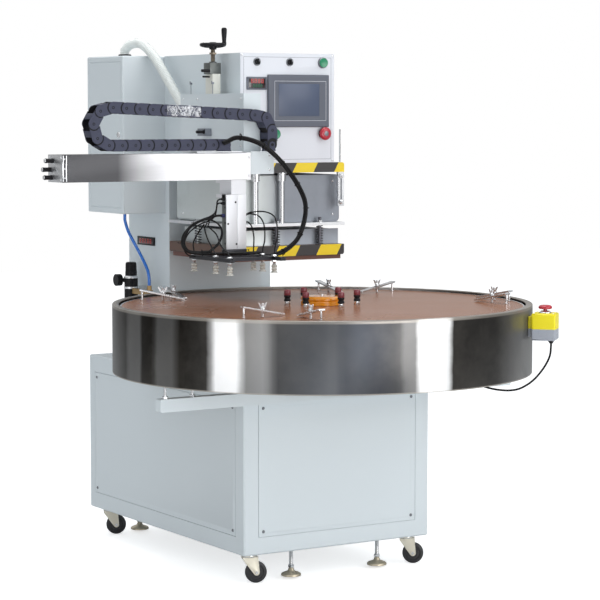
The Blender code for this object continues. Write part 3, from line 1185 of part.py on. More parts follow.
def add_carriage():
    """The carriage that runs in the beam, with its block below and the chain's plate above."""
    inside_low = BEAM_BOTTOM + BEAM_WALL
    shoe = box((SHOE_LEFT, FOOT_FRONT + BEAM_WALL + SHOE_SIDE_GAP, inside_low + SEAT_GAP),
               (SHOE_LEFT + SHOE_LENGTH, BEAM_REAR - BEAM_WALL - SHOE_SIDE_GAP,
                BEAM_TOP - BEAM_WALL - SHOE_SIDE_GAP))
    block_top = BEAM_BOTTOM - SEAT_GAP
    block = box((BLOCK_LEFT, BLOCK_FRONT, block_top - BLOCK_HEIGHT),
                (BLOCK_LEFT + BLOCK_WIDTH, BLOCK_FRONT + BLOCK_DEPTH, block_top))
    neck_half = BEAM_SLOT / 2 - 2 * RUNNING_GAP
    neck = box((BLOCK_LEFT + WELD, BEAM_CENTRE_Y - neck_half, block_top - WELD),
               (BLOCK_LEFT + BLOCK_WIDTH - WELD, BEAM_CENTRE_Y + neck_half, inside_low + 2 * WELD))
    thick = CHAIN_PLATE_THICKNESS
    rear = BEAM_REAR + 2 * RUNNING_GAP
    plate_low = BEAM_TOP + END_PLATE_PROUD + SEAT_GAP
    shelf = box((BLOCK_LEFT + WELD, BLOCK_FRONT + WELD, block_top - 3 * thick),
                (BLOCK_LEFT + BLOCK_WIDTH - WELD, rear + thick, block_top - WELD))
    back = box((BLOCK_LEFT + WELD, rear, block_top - 2 * thick),
               (BLOCK_LEFT + BLOCK_WIDTH - WELD, rear + thick, plate_low + thick / 2))
    plate = box((CHAIN_PLATE_LEFT, CHAIN_FRONT, plate_low),
                (CHAIN_PLATE_LEFT + CHAIN_PLATE_LENGTH, rear + thick + SEAT_GAP, plate_low + thick))
    bores = [rod((x, y, block_top - BLOCK_HEIGHT - WELD), "z",
                 WELD + SEAT_GAP + LIFT_ROD_HEIGHT + RUNNING_GAP,
                 LIFT_ROD_RADIUS + SEAT_GAP, sides=12) for x, y in LIFT_ROD_PLACES]
    place(cut(join(shoe, block, neck, shelf, back, plate), *bores), "carriage", "aluminium")


def add_suction_frame():
    """The pick-up slide with its two rods, the frame below it and six bellows cups."""
    slide = box((SLIDE_LEFT, SLIDE_FRONT, SLIDE_BOTTOM),
                (SLIDE_LEFT + SLIDE_WIDTH, SLIDE_FRONT + SLIDE_DEPTH, SLIDE_TOP), 0.0015, along=2)
    cap = box((SLIDE_LEFT, SLIDE_FRONT + SEAT_GAP, SLIDE_TOP - SLIDE_CAP_HEIGHT),
              (SLIDE_LEFT + SLIDE_WIDTH, SLIDE_FRONT + SLIDE_CAP_DEPTH, SLIDE_TOP))
    rods = [rod((x, y, SLIDE_TOP - WELD), "z", WELD + LIFT_ROD_HEIGHT, LIFT_ROD_RADIUS, sides=12)
            for x, y in LIFT_ROD_PLACES]
    low, high = FRAME_BOTTOM, FRAME_BOTTOM + FRAME_THICKNESS
    half = FRAME_BAR / 2
    bars = [box((x - half, FRAME_FRONT, low), (x + half, FRAME_REAR, high)) for x in FRAME_BAR_X]
    cross = [box((FRAME_BAR_X[0], y - half, low + SEAT_GAP), (FRAME_BAR_X[1], y + half, high - SEAT_GAP))
             for y in FRAME_CROSS_Y]
    mount = box((SLIDE_LEFT - WELD, SLIDE_FRONT - WELD, low + 2 * SEAT_GAP),
                (SLIDE_LEFT + SLIDE_WIDTH + WELD, SLIDE_FRONT + SLIDE_DEPTH + WELD, SLIDE_BOTTOM + WELD))
    cups = [shift(suction_cup(), (x, y, low)) for x, y in CUP_PLACES]
    place(join(slide, cap, *rods, *bars, *cross, mount, *cups), "suction_frame", "aluminium")


def suction_cup():
    """A bellows cup that hangs from its own z = 0, with its stem reaching up into the frame."""
    radius, stem, drop = CUP_RADIUS, CUP_STEM_RADIUS, CUP_DROP
    return turned([
        (0, FRAME_THICKNESS + 0.006), (stem, FRAME_THICKNESS + 0.006), (stem, -drop * 0.35),
        (radius * 0.75, -drop * 0.45), (radius * 0.55, -drop * 0.60), (radius * 0.80, -drop * 0.70),
        (radius * 0.60, -drop * 0.82), (radius, -drop), (0, -drop),
    ], 10)


def chain_path(step=CHAIN_STEP):
    """The chain's centreline as (x, z) points, from its fixed end round to its moving end."""
    upper_left = (CHAIN_LOOP_X, CHAIN_LOWER_Z + 2 * CHAIN_LOOP_RADIUS)
    turn_centre = (CHAIN_TURN_X, CHAIN_TURN_Z)
    corner = [(CHAIN_TURN_X + CHAIN_TURN_RADIUS, CHAIN_START_Z)]
    corner += arc(turn_centre, CHAIN_TURN_RADIUS, 0, 90, 16)
    loop = arc((CHAIN_LOOP_X, CHAIN_LOWER_Z + CHAIN_LOOP_RADIUS), CHAIN_LOOP_RADIUS, 90, 270, 48)
    knots = [*corner, upper_left, *loop, (CHAIN_END_X, CHAIN_LOWER_Z)]
    points = [Vector(knots[0])]
    for knot in knots[1:]:
        start, end = points[-1], Vector(knot)
        count = max(1, round((end - start).length / step))
        points += [start.lerp(end, i / count) for i in range(1, count + 1)]
    return points


def chain_pins():
    """Pin places one pitch apart along the path."""
    path = chain_path()
    pins = [path[0]]
    for point in path:
        if (point - pins[-1]).length >= CHAIN_PITCH:
            pins.append(point)
    return pins


def chain_sides(first, second, outer):
    """The two side plates of one link; outer and inner links take turns and overlap at the pins."""
    inset = 0.0 if outer else CHAIN_PLATE - CHAIN_LAP
    run = second - first
    angle = math.degrees(math.atan2(run.y, run.x))
    half = CHAIN_HEIGHT / 2 - (0.0 if outer else CHAIN_INNER_LOWER)
    outline = (arc(second, half, angle - 80, angle + 80, 3)
               + arc(first, half, angle + 100, angle + 260, 3))
    fronts = (CHAIN_FRONT + inset, CHAIN_FRONT + CHAIN_WIDTH - CHAIN_PLATE - inset)
    return [flat(outline, front, CHAIN_PLATE) for front in fronts]


def chain_bars(first, second):
    """The two cross bars of an outer link, which tie its side plates together."""
    along = (second - first).normalized()
    across = Vector((-along.y, along.x))
    middle = (first + second) / 2
    reach = CHAIN_PITCH * 0.22
    bars = []
    for offset in (CHAIN_HEIGHT / 2 - 0.004, 0.0005 - CHAIN_HEIGHT / 2):
        corners = [middle + along * a * reach + across * (offset + b * CHAIN_BAR)
                   for a, b in ((-1, 0), (1, 0), (1, 1), (-1, 1))]
        bars.append(flat(corners, CHAIN_FRONT + WELD, CHAIN_WIDTH - 2 * WELD))
    return bars


def add_drag_chain():
    """The cable chain: links joined at their pins, with a mounting foot at each end."""
    pins = chain_pins()
    links = [(first, second, i % 2 == 0) for i, (first, second) in enumerate(zip(pins, pins[1:]))]
    plates = [plate for link in links for plate in chain_sides(*link)]
    bars = [bar for first, second, outer in links if outer for bar in chain_bars(first, second)]
    heads = (CHAIN_FRONT - WELD, CHAIN_FRONT + CHAIN_WIDTH - CHAIN_PLATE)
    rivets = [rod((x, front, z), "y", CHAIN_PLATE + WELD, CHAIN_PIN_RADIUS, sides=6)
              for x, z in pins for front in heads]
    start, end = pins[0], pins[-1]
    y0, y1 = CHAIN_FRONT + 0.002, CHAIN_FRONT + CHAIN_WIDTH - 0.002
    plate_top = BEAM_TOP + END_PLATE_PROUD + SEAT_GAP + CHAIN_PLATE_THICKNESS
    foot = box((start.x - 0.012, y0, FOOT_TOP + SEAT_GAP), (start.x + 0.012, y1, start.y))
    heel = box((end.x - 0.010, y0, plate_top + SEAT_GAP), (end.x + 0.018, y1, end.y))
    chain = join(foot, gathered([*plates, *bars, *rivets, heel]))
    chain.modifiers[0].use_self = True
    place(chain, "drag_chain", "chain_plastic")


def add_hoses_and_leads():
    """The conduit, the air hose, the pick-up loom and the remote stop's lead."""
    routes = (
        ("white_conduit", "white_hose", CONDUIT_ROUTE, CONDUIT_RADIUS),
        ("blue_air_hose", "blue_hose", BLUE_HOSE_ROUTE, BLUE_HOSE_RADIUS),
        ("cable_loom", "black_rubber", LOOM_ROUTE, LOOM_RADIUS),
        ("remote_stop_lead", "black_rubber", STOP_LEAD_ROUTE, STOP_LEAD_RADIUS),
    )
    for name, finish, knots, radius in routes:
        route = smooth_route(knots, max(2.5 * radius, 0.012))
        place(tube(route, radius), name, finish)


def add_regulator():
    """The filter regulator on the column's left side: body, bowl, gauge, outlet and its knob."""
    body = turned([
        (0, REGULATOR_TOP), (REGULATOR_RADIUS * 0.9, REGULATOR_TOP),
        (REGULATOR_RADIUS, REGULATOR_TOP - 0.004), (REGULATOR_RADIUS, REGULATOR_TOP - REGULATOR_HEIGHT),
        (BOWL_RADIUS, REGULATOR_TOP - REGULATOR_HEIGHT),
        (BOWL_RADIUS, REGULATOR_TOP - REGULATOR_HEIGHT - BOWL_HEIGHT * 0.75),
        (BOWL_RADIUS * 0.6, REGULATOR_TOP - REGULATOR_HEIGHT - BOWL_HEIGHT),
        (0, REGULATOR_TOP - REGULATOR_HEIGHT - BOWL_HEIGHT),
    ], 24)
    gauge_y, gauge_z = 0.031, REGULATOR_TOP - 0.015
    gauge_x = -REGULATOR_RADIUS
    gauge = rod((gauge_x, gauge_y, gauge_z), "x", -GAUGE_DEPTH, GAUGE_RADIUS, sides=24)
    stem = box((gauge_x - WELD, 0, gauge_z - 0.006), (0, gauge_y, gauge_z + 0.006))
    hose_x, hose_y, hose_z = BLUE_HOSE_ROUTE[-1]
    reach = hose_y - REGULATOR_Y
    side = hose_x - REGULATOR_X
    outlet = box((side - OUTLET_RADIUS, reach - OUTLET_RADIUS, OUTLET_Z - OUTLET_RADIUS),
                 (side + OUTLET_RADIUS, 0, OUTLET_Z + OUTLET_RADIUS), 0.002, along=1)
    elbow = rod((side, reach, OUTLET_Z), "z", hose_z - SEAT_GAP - OUTLET_Z, OUTLET_RADIUS * 0.85, sides=12)
    mount = box((0, -0.010, OUTLET_Z - 0.012), (ARM_RIGHT - REGULATOR_X, 0.010, OUTLET_Z + 0.014))
    place(join(body, gauge, stem, outlet, elbow, mount), "regulator_body", "aluminium",
          (REGULATOR_X, REGULATOR_Y, 0))
    knob = turned([
        (0, REGULATOR_KNOB_HEIGHT), (REGULATOR_KNOB_RADIUS * 0.85, REGULATOR_KNOB_HEIGHT),
        (REGULATOR_KNOB_RADIUS * 0.92, REGULATOR_KNOB_HEIGHT * 0.95),
        (REGULATOR_KNOB_RADIUS, 0), (0, 0),
    ], 20)
    place(knob, "regulator_knob", "black_plastic", (REGULATOR_X, REGULATOR_Y, REGULATOR_TOP + SEAT_GAP))


def add_remote_stop():
    """The stop box on the drum's right side, turned to face outwards, and its mushroom button."""
    depth, width = STOP_BOX_DEPTH / 2, STOP_BOX_WIDTH / 2
    top = STOP_BOX_BOTTOM + STOP_BOX_HEIGHT
    case = box((-depth, -width, STOP_BOX_BOTTOM), (depth, width, top), STOP_BOX_ROUNDING)
    collar = rod((0, 0, top - WELD), "z", WELD + STOP_COLLAR_HEIGHT, STOP_COLLAR_RADIUS,
                 STOP_COLLAR_RADIUS * 0.8, sides=20)
    gap = STOP_CENTRE_RADIUS - STOP_BOX_DEPTH / 2 - DRUM_RADIUS
    bracket = box((-depth - gap + SEAT_GAP, -width * 0.5, STOP_BOX_BOTTOM + 0.010),
                  (-depth + WELD, width * 0.5, top - 0.010))
    stem_low = top + STOP_COLLAR_HEIGHT - 0.012
    bore = rod((0, 0, stem_low - STOP_TRAVEL - RUNNING_GAP), "z", 0.040, STOP_STEM_RADIUS + SEAT_GAP, sides=16)
    at = (*STOP_CENTRE, 0)
    turn = (0, 0, math.degrees(STOP_ANGLE))
    place(cut(join(case, collar, bracket), bore), "remote_stop_box", "yellow_plastic", at, turn)
    button_z = top + STOP_COLLAR_HEIGHT - MUSHROOM_STAND + STOP_TRAVEL + RUNNING_GAP
    place(stop_button(STOP_STEM_RADIUS, 0.012 + STOP_TRAVEL + RUNNING_GAP), "remote_stop_button",
          "red_plastic", (*STOP_CENTRE, button_z), turn)


def add_caster(side, x, y, heading):
    """A swivel caster: the fork turns about its own Z, and its wheel about the axle."""
    top = -CASTER_PLATE_THICKNESS - SEAT_GAP
    race = rod((0, 0, top), "z", -RACE_HEIGHT, RACE_RADIUS, sides=20)
    inner = WHEEL_WIDTH / 2 + CHEEK_CLEARANCE
    crown_top = top - RACE_HEIGHT + WELD
    crown = box((-RACE_RADIUS, -inner - CHEEK_THICKNESS, crown_top - 0.004),
                (RACE_RADIUS + 0.004, inner + CHEEK_THICKNESS, crown_top))
    axle = (CASTER_TRAIL, AXLE_Z)
    outline = [(-RACE_RADIUS, crown_top), (-RACE_RADIUS, crown_top - 0.006),
               *arc(axle, 0.009, -150, 0, 5), (RACE_RADIUS + 0.004, crown_top)]
    cheeks = [flat(outline, start, CHEEK_THICKNESS) for start in (-inner - CHEEK_THICKNESS, inner)]
    pin_reach = inner + CHEEK_THICKNESS + 0.003
    pin = rod((CASTER_TRAIL, -pin_reach, AXLE_Z), "y", 2 * pin_reach, AXLE_RADIUS, sides=10)
    fork = place(join(race, crown, *cheeks, pin), f"caster_fork_{side}", "zinc_plated",
                 (x, y, 0), (0, 0, heading))
    half = WHEEL_WIDTH / 2
    bore = AXLE_RADIUS + SEAT_GAP
    profile = [
        (bore, half), (WHEEL_RADIUS * 0.45, half), (WHEEL_RADIUS * 0.50, half - 0.003),
        (WHEEL_RADIUS - WHEEL_SHOULDER, half - 0.002), (WHEEL_RADIUS, half - 0.002 - WHEEL_SHOULDER),
        (WHEEL_RADIUS, 0.002 + WHEEL_SHOULDER - half), (WHEEL_RADIUS - WHEEL_SHOULDER, 0.002 - half),
        (WHEEL_RADIUS * 0.50, 0.003 - half), (WHEEL_RADIUS * 0.45, -half), (bore, -half),
    ]
    wheel = turned(profile, 20, closed=True)
    place(wheel, f"caster_wheel_{side}", "black_rubber", (CASTER_TRAIL, 0, AXLE_Z), (90, 0, 0), fork)


def add_levelling_foot(side, x, y):
    """A foot whose stud screws into the cabinet's underside."""
    bottom = FOOT_ABOVE_FLOOR - FLOOR_CLEARANCE
    profile = [
        (0, FOOT_STUD_IN_CABINET), (FOOT_STUD_RADIUS, FOOT_STUD_IN_CABINET),
        (FOOT_STUD_RADIUS, bottom + FOOT_PAD_HEIGHT * 3.6), (FOOT_NUT_RADIUS, bottom + FOOT_PAD_HEIGHT * 3.6),
        (FOOT_NUT_RADIUS, bottom + FOOT_PAD_HEIGHT * 2.7), (FOOT_NUT_RADIUS * 0.8, bottom + FOOT_PAD_HEIGHT * 2.2),
        (FOOT_NUT_RADIUS * 1.2, bottom + FOOT_PAD_HEIGHT * 1.6),
        (FOOT_PAD_RADIUS * 0.85, bottom + FOOT_PAD_HEIGHT), (FOOT_PAD_RADIUS, bottom + FOOT_PAD_HEIGHT * 0.6),
        (FOOT_PAD_RADIUS, bottom + 0.001), (FOOT_PAD_RADIUS - 0.001, bottom), (0, bottom),
    ]
    place(turned(profile, 16), f"levelling_foot_{side}", "zinc_plated", (x, y, 0))


def main():
    add_base_cabinet()
    add_support_arm()
    add_drum()
    add_index_drive()
    add_turntable()
    add_distributor()
    for name, leg, tip in CLAMP_ENDS:
        add_clamp(name, leg, tip)
    add_frame_and_head()
    add_generator_cabinet()
    add_control_panel()
    add_upper_plate()
    add_press_ram()
    add_arm_lift()
    add_beam()
    add_carriage()
    add_suction_frame()
    add_drag_chain()
    add_hoses_and_leads()
    add_regulator()
    add_remote_stop()
    for (side, heading), (x, y) in zip(CASTER_TURNS, caster_places()):
        add_caster(side, x, y, heading)
    for side, x, y in FOOT_PLACES:
        add_levelling_foot(side, x, y)


PARTS, CUTTERS = clear_scene()
ROOT = bpy.data.objects.new("machine", None)
PARTS.objects.link(ROOT)
ROOT.location = (-BOX_MIDDLE_X, -BOX_MIDDLE_Y, FLOOR_CLEARANCE)
main()
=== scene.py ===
"""Looks for the blister sealing machine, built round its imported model.

Lengths are metres. Sizes are given in the cabinet's own frame, whose origin is the base cabinet's
front left bottom corner: +X to the operator's right, +Y to the rear, +Z up. placed() moves a point
from there to the row frame, and every finished piece has its place in its mesh.
"""

import json
import logging
import math
from collections.abc import Callable, Iterable, Sequence
from dataclasses import dataclass, field
from enum import Enum

import bmesh
import bpy
from mathutils import Matrix, Vector

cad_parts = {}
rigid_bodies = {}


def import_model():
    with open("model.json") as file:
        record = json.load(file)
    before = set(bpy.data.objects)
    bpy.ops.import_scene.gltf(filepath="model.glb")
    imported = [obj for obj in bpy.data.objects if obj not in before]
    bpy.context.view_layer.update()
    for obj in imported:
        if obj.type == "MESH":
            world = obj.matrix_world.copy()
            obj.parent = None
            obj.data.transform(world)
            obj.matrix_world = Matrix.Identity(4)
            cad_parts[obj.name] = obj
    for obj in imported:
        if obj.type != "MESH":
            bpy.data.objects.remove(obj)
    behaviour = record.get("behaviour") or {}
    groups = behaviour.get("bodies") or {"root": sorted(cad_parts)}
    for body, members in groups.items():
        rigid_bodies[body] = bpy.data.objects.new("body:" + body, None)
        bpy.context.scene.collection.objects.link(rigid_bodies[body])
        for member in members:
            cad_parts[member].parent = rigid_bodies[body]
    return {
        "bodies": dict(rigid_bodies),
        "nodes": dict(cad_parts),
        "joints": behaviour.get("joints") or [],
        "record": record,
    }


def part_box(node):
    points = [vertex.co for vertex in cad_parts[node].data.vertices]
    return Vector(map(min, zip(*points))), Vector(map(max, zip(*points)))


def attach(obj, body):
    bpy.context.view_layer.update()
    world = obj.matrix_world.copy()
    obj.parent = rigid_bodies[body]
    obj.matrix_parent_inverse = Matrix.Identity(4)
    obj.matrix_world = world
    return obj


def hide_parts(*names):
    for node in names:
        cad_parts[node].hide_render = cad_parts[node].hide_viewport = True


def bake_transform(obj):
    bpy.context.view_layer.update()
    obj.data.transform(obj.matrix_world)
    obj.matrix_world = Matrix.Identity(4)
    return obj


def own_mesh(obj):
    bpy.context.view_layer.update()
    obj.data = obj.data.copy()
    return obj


LOG = logging.getLogger("blister_sealing_machine")
Point = Sequence[float]
TAU = 2 * math.pi
CABINET_HEIGHT = 0.500
DRUM_CENTRE = (0.325, 0.092)
FAR = 9.0
MERGE = 1e-6
SHARP = 35.0
COAT_ROUGHNESS = 0.08
SCRATCH_STRETCH = (1.0, 90.0, 90.0)
UNLIT = (0.0, 0.0, 0.0)
WHITE = (1.0, 1.0, 1.0)


class Axis(Enum):
    """A row axis, with its index in a point."""

    X = 0
    Y = 1
    Z = 2


class Grain(Enum):
    """How a metal's brushing runs."""

    NONE = "none"
    ALONG_X = "along_x"
    ALONG_Z = "along_z"


class Row:
    """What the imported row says: where the cabinet stands, and each node's body and material slot."""

    offset: Vector = Vector((0, 0, 0))
    body: dict[str, str] = {}
    slot: dict[str, str] = {}

    @classmethod
    def read(cls, frame: dict) -> None:
        """Takes the offset and the tables.
        """
        low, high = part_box("base_cabinet")
        cls.offset = Vector((low.x, low.y, high.z - CABINET_HEIGHT))
        record = frame["record"]
        cls.body = {node: body for body, nodes in record["behaviour"]["bodies"].items() for node in nodes}
        cls.slot = {part["node"]: part["material_slot"] for part in record["subparts"]}


def placed(x: float, y: float, z: float) -> Vector:
    """A cabinet-frame point in the row frame."""
    return Vector((x, y, z)) + Row.offset


# Shader node groups and finishes


class Shade:
    """A small builder for one shader tree, used for materials and for the shared groups."""

    def __init__(self, tree: bpy.types.NodeTree) -> None:
        """Starts on a tree.

        Args:
            tree: the material's node tree or a shader node group.
        """
        self.tree = tree

    def link(self, source: bpy.types.NodeSocket, target: bpy.types.NodeSocket) -> None:
        """Joins two sockets."""
        self.tree.links.new(source, target)

    def fill(self, slots: Iterable[bpy.types.NodeSocket], *values: object) -> None:
        """Gives inputs their values.

        Args:
            slots: the inputs, in order.
            values: a number, a colour, a vector or another node's socket for each.
        """
        for slot, value in zip(slots, values):
            if isinstance(value, bpy.types.NodeSocket):
                self.link(value, slot)
            elif slot.type == "RGBA":
                slot.default_value = (*value[:3], 1.0)
            else:
                slot.default_value = value

    def node(self, kind: str, **settings: object) -> bpy.types.Node:
        """Adds a node and sets its properties and inputs.

        Args:
            kind: the node's bl_idname without its ShaderNode.
            settings: properties, or values and sockets where the name is an input's.

        Returns:
            The new node.
        """
        made = self.tree.nodes.new(f"ShaderNode{kind}")
        for key, value in settings.items():
            if hasattr(made, key):
                setattr(made, key, value)
            else:
                self.fill([made.inputs[key.replace("_", " ")]], value)
        return made

    def math(self, operation: str, *values: object) -> bpy.types.NodeSocket:
        """A Math node's output.

        Args:
            operation: the operation's name.
            values: its numbers or sockets.

        Returns:
            The output socket.
        """
        made = self.node("Math", operation=operation)
        self.fill(made.inputs, *values)
        return made.outputs[0]

    def mix(self, factor: object, first: object, second: object) -> bpy.types.NodeSocket:
        """A colour Mix of two colours or sockets.

        Args:
            factor: number or socket, 0 for the first.
            first: colour tuple or socket.
            second: colour tuple or socket.

        Returns:
            The mixed colour's socket.
        """
        made = self.node("Mix", data_type="RGBA")
        self.fill([made.inputs[0], made.inputs[6], made.inputs[7]], factor, first, second)
        return made.outputs[2]

    def ramp(self, factor: bpy.types.NodeSocket, *stops: tuple[float, float]) -> bpy.types.NodeSocket:
        """A grey ramp through (position, value) stops.

        Args:
            factor: the value that is looked up.
            stops: positions and grey values.

        Returns:
            The grey colour's socket.
        """
        made = self.node("ValToRGB")
        elements = made.color_ramp.elements
        while len(elements) < len(stops):
            elements.new(0.5)
        for element, (position, value) in zip(elements, stops):
            element.position = position
            element.color = (value, value, value, 1.0)
        self.fill(made.inputs, factor)
        return made.outputs[0]

    def noise(self, vector: bpy.types.NodeSocket, **settings: object) -> bpy.types.NodeSocket:
        """A Noise texture's value at a vector."""
        return self.node("TexNoise", Vector=vector, **settings).outputs[0]

    def split(self, vector: bpy.types.NodeSocket) -> Sequence[bpy.types.NodeSocket]:
        """A vector's X, Y and Z sockets."""
        return self.node("SeparateXYZ", Vector=vector).outputs

    def object_coordinates(self) -> bpy.types.NodeSocket:
        """The Object coordinates' socket."""
        return self.node("TexCoord").outputs["Object"]


def shader_group(name: str, inputs: dict[str, float],
                 build: Callable[[Shade, dict], dict]) -> bpy.types.NodeTree:
    """Builds a shader node group once.

    Args:
        name: the group's name.
        inputs: names and defaults of its float inputs. A Vector input is always added.
        build: fills the group and returns its outputs' sockets by name.

    Returns:
        The node group.
    """
    found = bpy.data.node_groups.get(name)
    if found:
        return found
    tree = bpy.data.node_groups.new(name, "ShaderNodeTree")
    face = tree.interface
    face.new_socket(name="Vector", in_out="INPUT", socket_type="NodeSocketVector")
    for key, value in inputs.items():
        face.new_socket(name=key, in_out="INPUT", socket_type="NodeSocketFloat").default_value = value
    shade = Shade(tree)
    entry = tree.nodes.new("NodeGroupInput")
    made = build(shade, {s.name: s for s in entry.outputs if s.name})
    for key in made:
        face.new_socket(name=key, in_out="OUTPUT", socket_type="NodeSocketFloat")
    leave = tree.nodes.new("NodeGroupOutput")
    for key, socket in made.items():
        shade.link(socket, leave.inputs[key])
    return tree


def mottle_group() -> bpy.types.NodeTree:
    """Soft patches and fine grain, for paint, plastic and rubber."""

    def build(shade: Shade, given: dict) -> dict:
        """Fills the group: a broad patch mask and a fine height."""
        return {"Patches": shade.noise(given["Vector"], Scale=given["Patch"], Detail=3.0, Roughness=0.55),
                "Fine": shade.noise(given["Vector"], Scale=given["Grit"], Detail=2.0, Roughness=0.6)}

    return shader_group("mottle", {"Patch": 4.0, "Grit": 900.0}, build)


def brushing_group() -> bpy.types.NodeTree:
    """Long scratches along the first axis of the vector it is given."""

    def build(shade: Shade, given: dict) -> dict:
        """Fills the group: scratches, and slower streaks beside them."""
        drawn = shade.node("Mapping", vector_type="POINT", Vector=given["Vector"], Scale=SCRATCH_STRETCH)
        return {"Scratches": shade.noise(drawn.outputs[0], Scale=given["Scratches"],
                                         Detail=4.0, Roughness=0.7),
                "Streaks": shade.noise(given["Vector"], Scale=given["Streaks"], Detail=2.0, Roughness=0.5)}

    return shader_group("brushing", {"Scratches": 8.0, "Streaks": 6.0}, build)


def edge_group() -> bpy.types.NodeTree:
    """A mask that is bright along outward edges, where a finish wears."""

    def build(shade: Shade, given: dict) -> dict:
        """Fills the group: pointiness broken up by noise."""
        edge = shade.ramp(shade.node("NewGeometry").outputs["Pointiness"], (0.5, 0.0), (0.58, 1.0))
        noise = shade.noise(given["Vector"], Scale=given["Breaks"], Detail=4.0)
        return {"Wear": shade.math("MULTIPLY", edge, shade.ramp(noise, (0.42, 0.0), (0.62, 1.0)))}

    return shader_group("edge_wear", {"Breaks": 60.0}, build)


@dataclass(frozen=True)
class Finish:
    """One finish: a Principled material with grain, patches and bump in its nodes."""

    name: str
    colour: tuple[float, float, float]
    roughness: float = 0.4
    metallic: float = 0.0
    patch: float = 0.04
    patch_scale: float = 4.0
    grit: float = 900.0
    bump: float = 0.05
    wear: tuple[float, float, float] | None = None
    coat: float = 0.0
    transmission: float = 0.0
    ior: float = 1.5
    grain: Grain = Grain.NONE

    def start(self) -> tuple[bpy.types.Material, Shade, bpy.types.Node]:
        """Makes the material and sets the shader's plain sockets.

        Returns:
            The material, its builder and its Principled node.
        """
        material = bpy.data.materials.new(self.name)
        material.use_nodes = True
        shader = material.node_tree.nodes["Principled BSDF"]
        for key, value in (("Metallic", self.metallic), ("IOR", self.ior), ("Coat Weight", self.coat),
                           ("Coat Roughness", COAT_ROUGHNESS), ("Transmission Weight", self.transmission)):
            shader.inputs[key].default_value = value
        return material, Shade(material.node_tree), shader

    def tone(self, shade: Shade, vector: bpy.types.NodeSocket, colour: object) -> dict:
        """Adds the mottle group and what it changes.

        Args:
            shade: the material's builder.
            vector: Object coordinates.
            colour: the base colour, a tuple or a socket.

        Returns:
            The colour, roughness and height sockets.
        """
        group = shade.node("Group", node_tree=mottle_group(), Vector=vector, Patch=self.patch_scale,
                           Grit=self.grit).outputs
        spread = shade.math("MULTIPLY_ADD", group["Patches"], 2 * self.patch, 1 - self.patch)
        rough = shade.math("MULTIPLY_ADD", group["Patches"], 0.24, self.roughness - 0.12)
        return {"colour": shade.mix(spread, UNLIT, colour), "rough": rough, "height": group["Fine"]}

    def brushed(self, shade: Shade, vector: bpy.types.NodeSocket, parts: dict) -> dict:
        """Adds brushing along the finish's grain.

        Args:
            shade: the material's builder.
            vector: Object coordinates.
            parts: what tone() returned.

        Returns:
            The changed sockets.
        """
        x, y, z = shade.split(vector)
        joined = shade.node("CombineXYZ")
        shade.fill(joined.inputs, *((z, x, y) if self.grain is Grain.ALONG_Z else (x, y, z)))
        group = shade.node("Group", node_tree=brushing_group(), Vector=joined.outputs[0]).outputs
        spread = shade.math("MULTIPLY_ADD", group["Scratches"], 0.5, 0.74)
        rough = shade.math("MULTIPLY_ADD", group["Scratches"], 0.2, self.roughness - 0.1)
        return {"colour": shade.mix(spread, UNLIT, parts["colour"]),
                "rough": rough, "height": group["Scratches"]}

    def worn(self, shade: Shade, vector: bpy.types.NodeSocket, parts: dict) -> dict:
        """Shows the wear colour along edges."""
        wear = shade.node("Group", node_tree=edge_group(), Vector=vector).outputs["Wear"]
        return {**parts, "colour": shade.mix(wear, parts["colour"], self.wear)}

    def base(self, shade: Shade, vector: bpy.types.NodeSocket) -> object:
        """The base colour before grain: a plain colour here, a pattern in the classes below."""
        return self.colour

    def material(self) -> bpy.types.Material:
        """Returns the finish's material, made at its first use."""
        found = bpy.data.materials.get(self.name)
        if found and found.get("finished"):
            return found
        material, shade, shader = self.start()
        material["finished"] = True
        vector = shade.object_coordinates()
        parts = self.tone(shade, vector, self.base(shade, vector))
        if self.grain is not Grain.NONE:
            parts = self.brushed(shade, vector, parts)
        if self.wear:
            parts = self.worn(shade, vector, parts)
        shade.link(parts["colour"], shader.inputs["Base Color"])
        shade.link(parts["rough"], shader.inputs["Roughness"])
        if self.bump:
            bump = shade.node("Bump", Strength=self.bump, Distance=0.001, Height=parts["height"])
            shade.link(bump.outputs[0], shader.inputs["Normal"])
        return material


@dataclass(frozen=True)
class StripedFinish(Finish):
    """Slanted black and yellow stripes on the faces that look forwards, metal elsewhere."""

    stripe: tuple[float, float, float] = (0.030, 0.028, 0.030)
    metal: tuple[float, float, float] = (0.42, 0.43, 0.45)
    pitch: float = 0.150
    slant: float = 0.55
    shift: float = 0.0

    def base(self, shade: Shade, vector: bpy.types.NodeSocket) -> bpy.types.NodeSocket:
        """The striped colour."""
        x, _, z = shade.split(vector)
        leaning = shade.math("ADD", shade.math("MULTIPLY_ADD", z, -self.slant, x), self.shift)
        phase = shade.math("FRACT", shade.math("DIVIDE", leaning, self.pitch))
        striped = shade.mix(shade.math("GREATER_THAN", phase, 0.5), self.colour, self.stripe)
        normal = shade.split(shade.node("NewGeometry").outputs["Normal"])
        return shade.mix(shade.math("LESS_THAN", normal[1], -0.6), self.metal, striped)


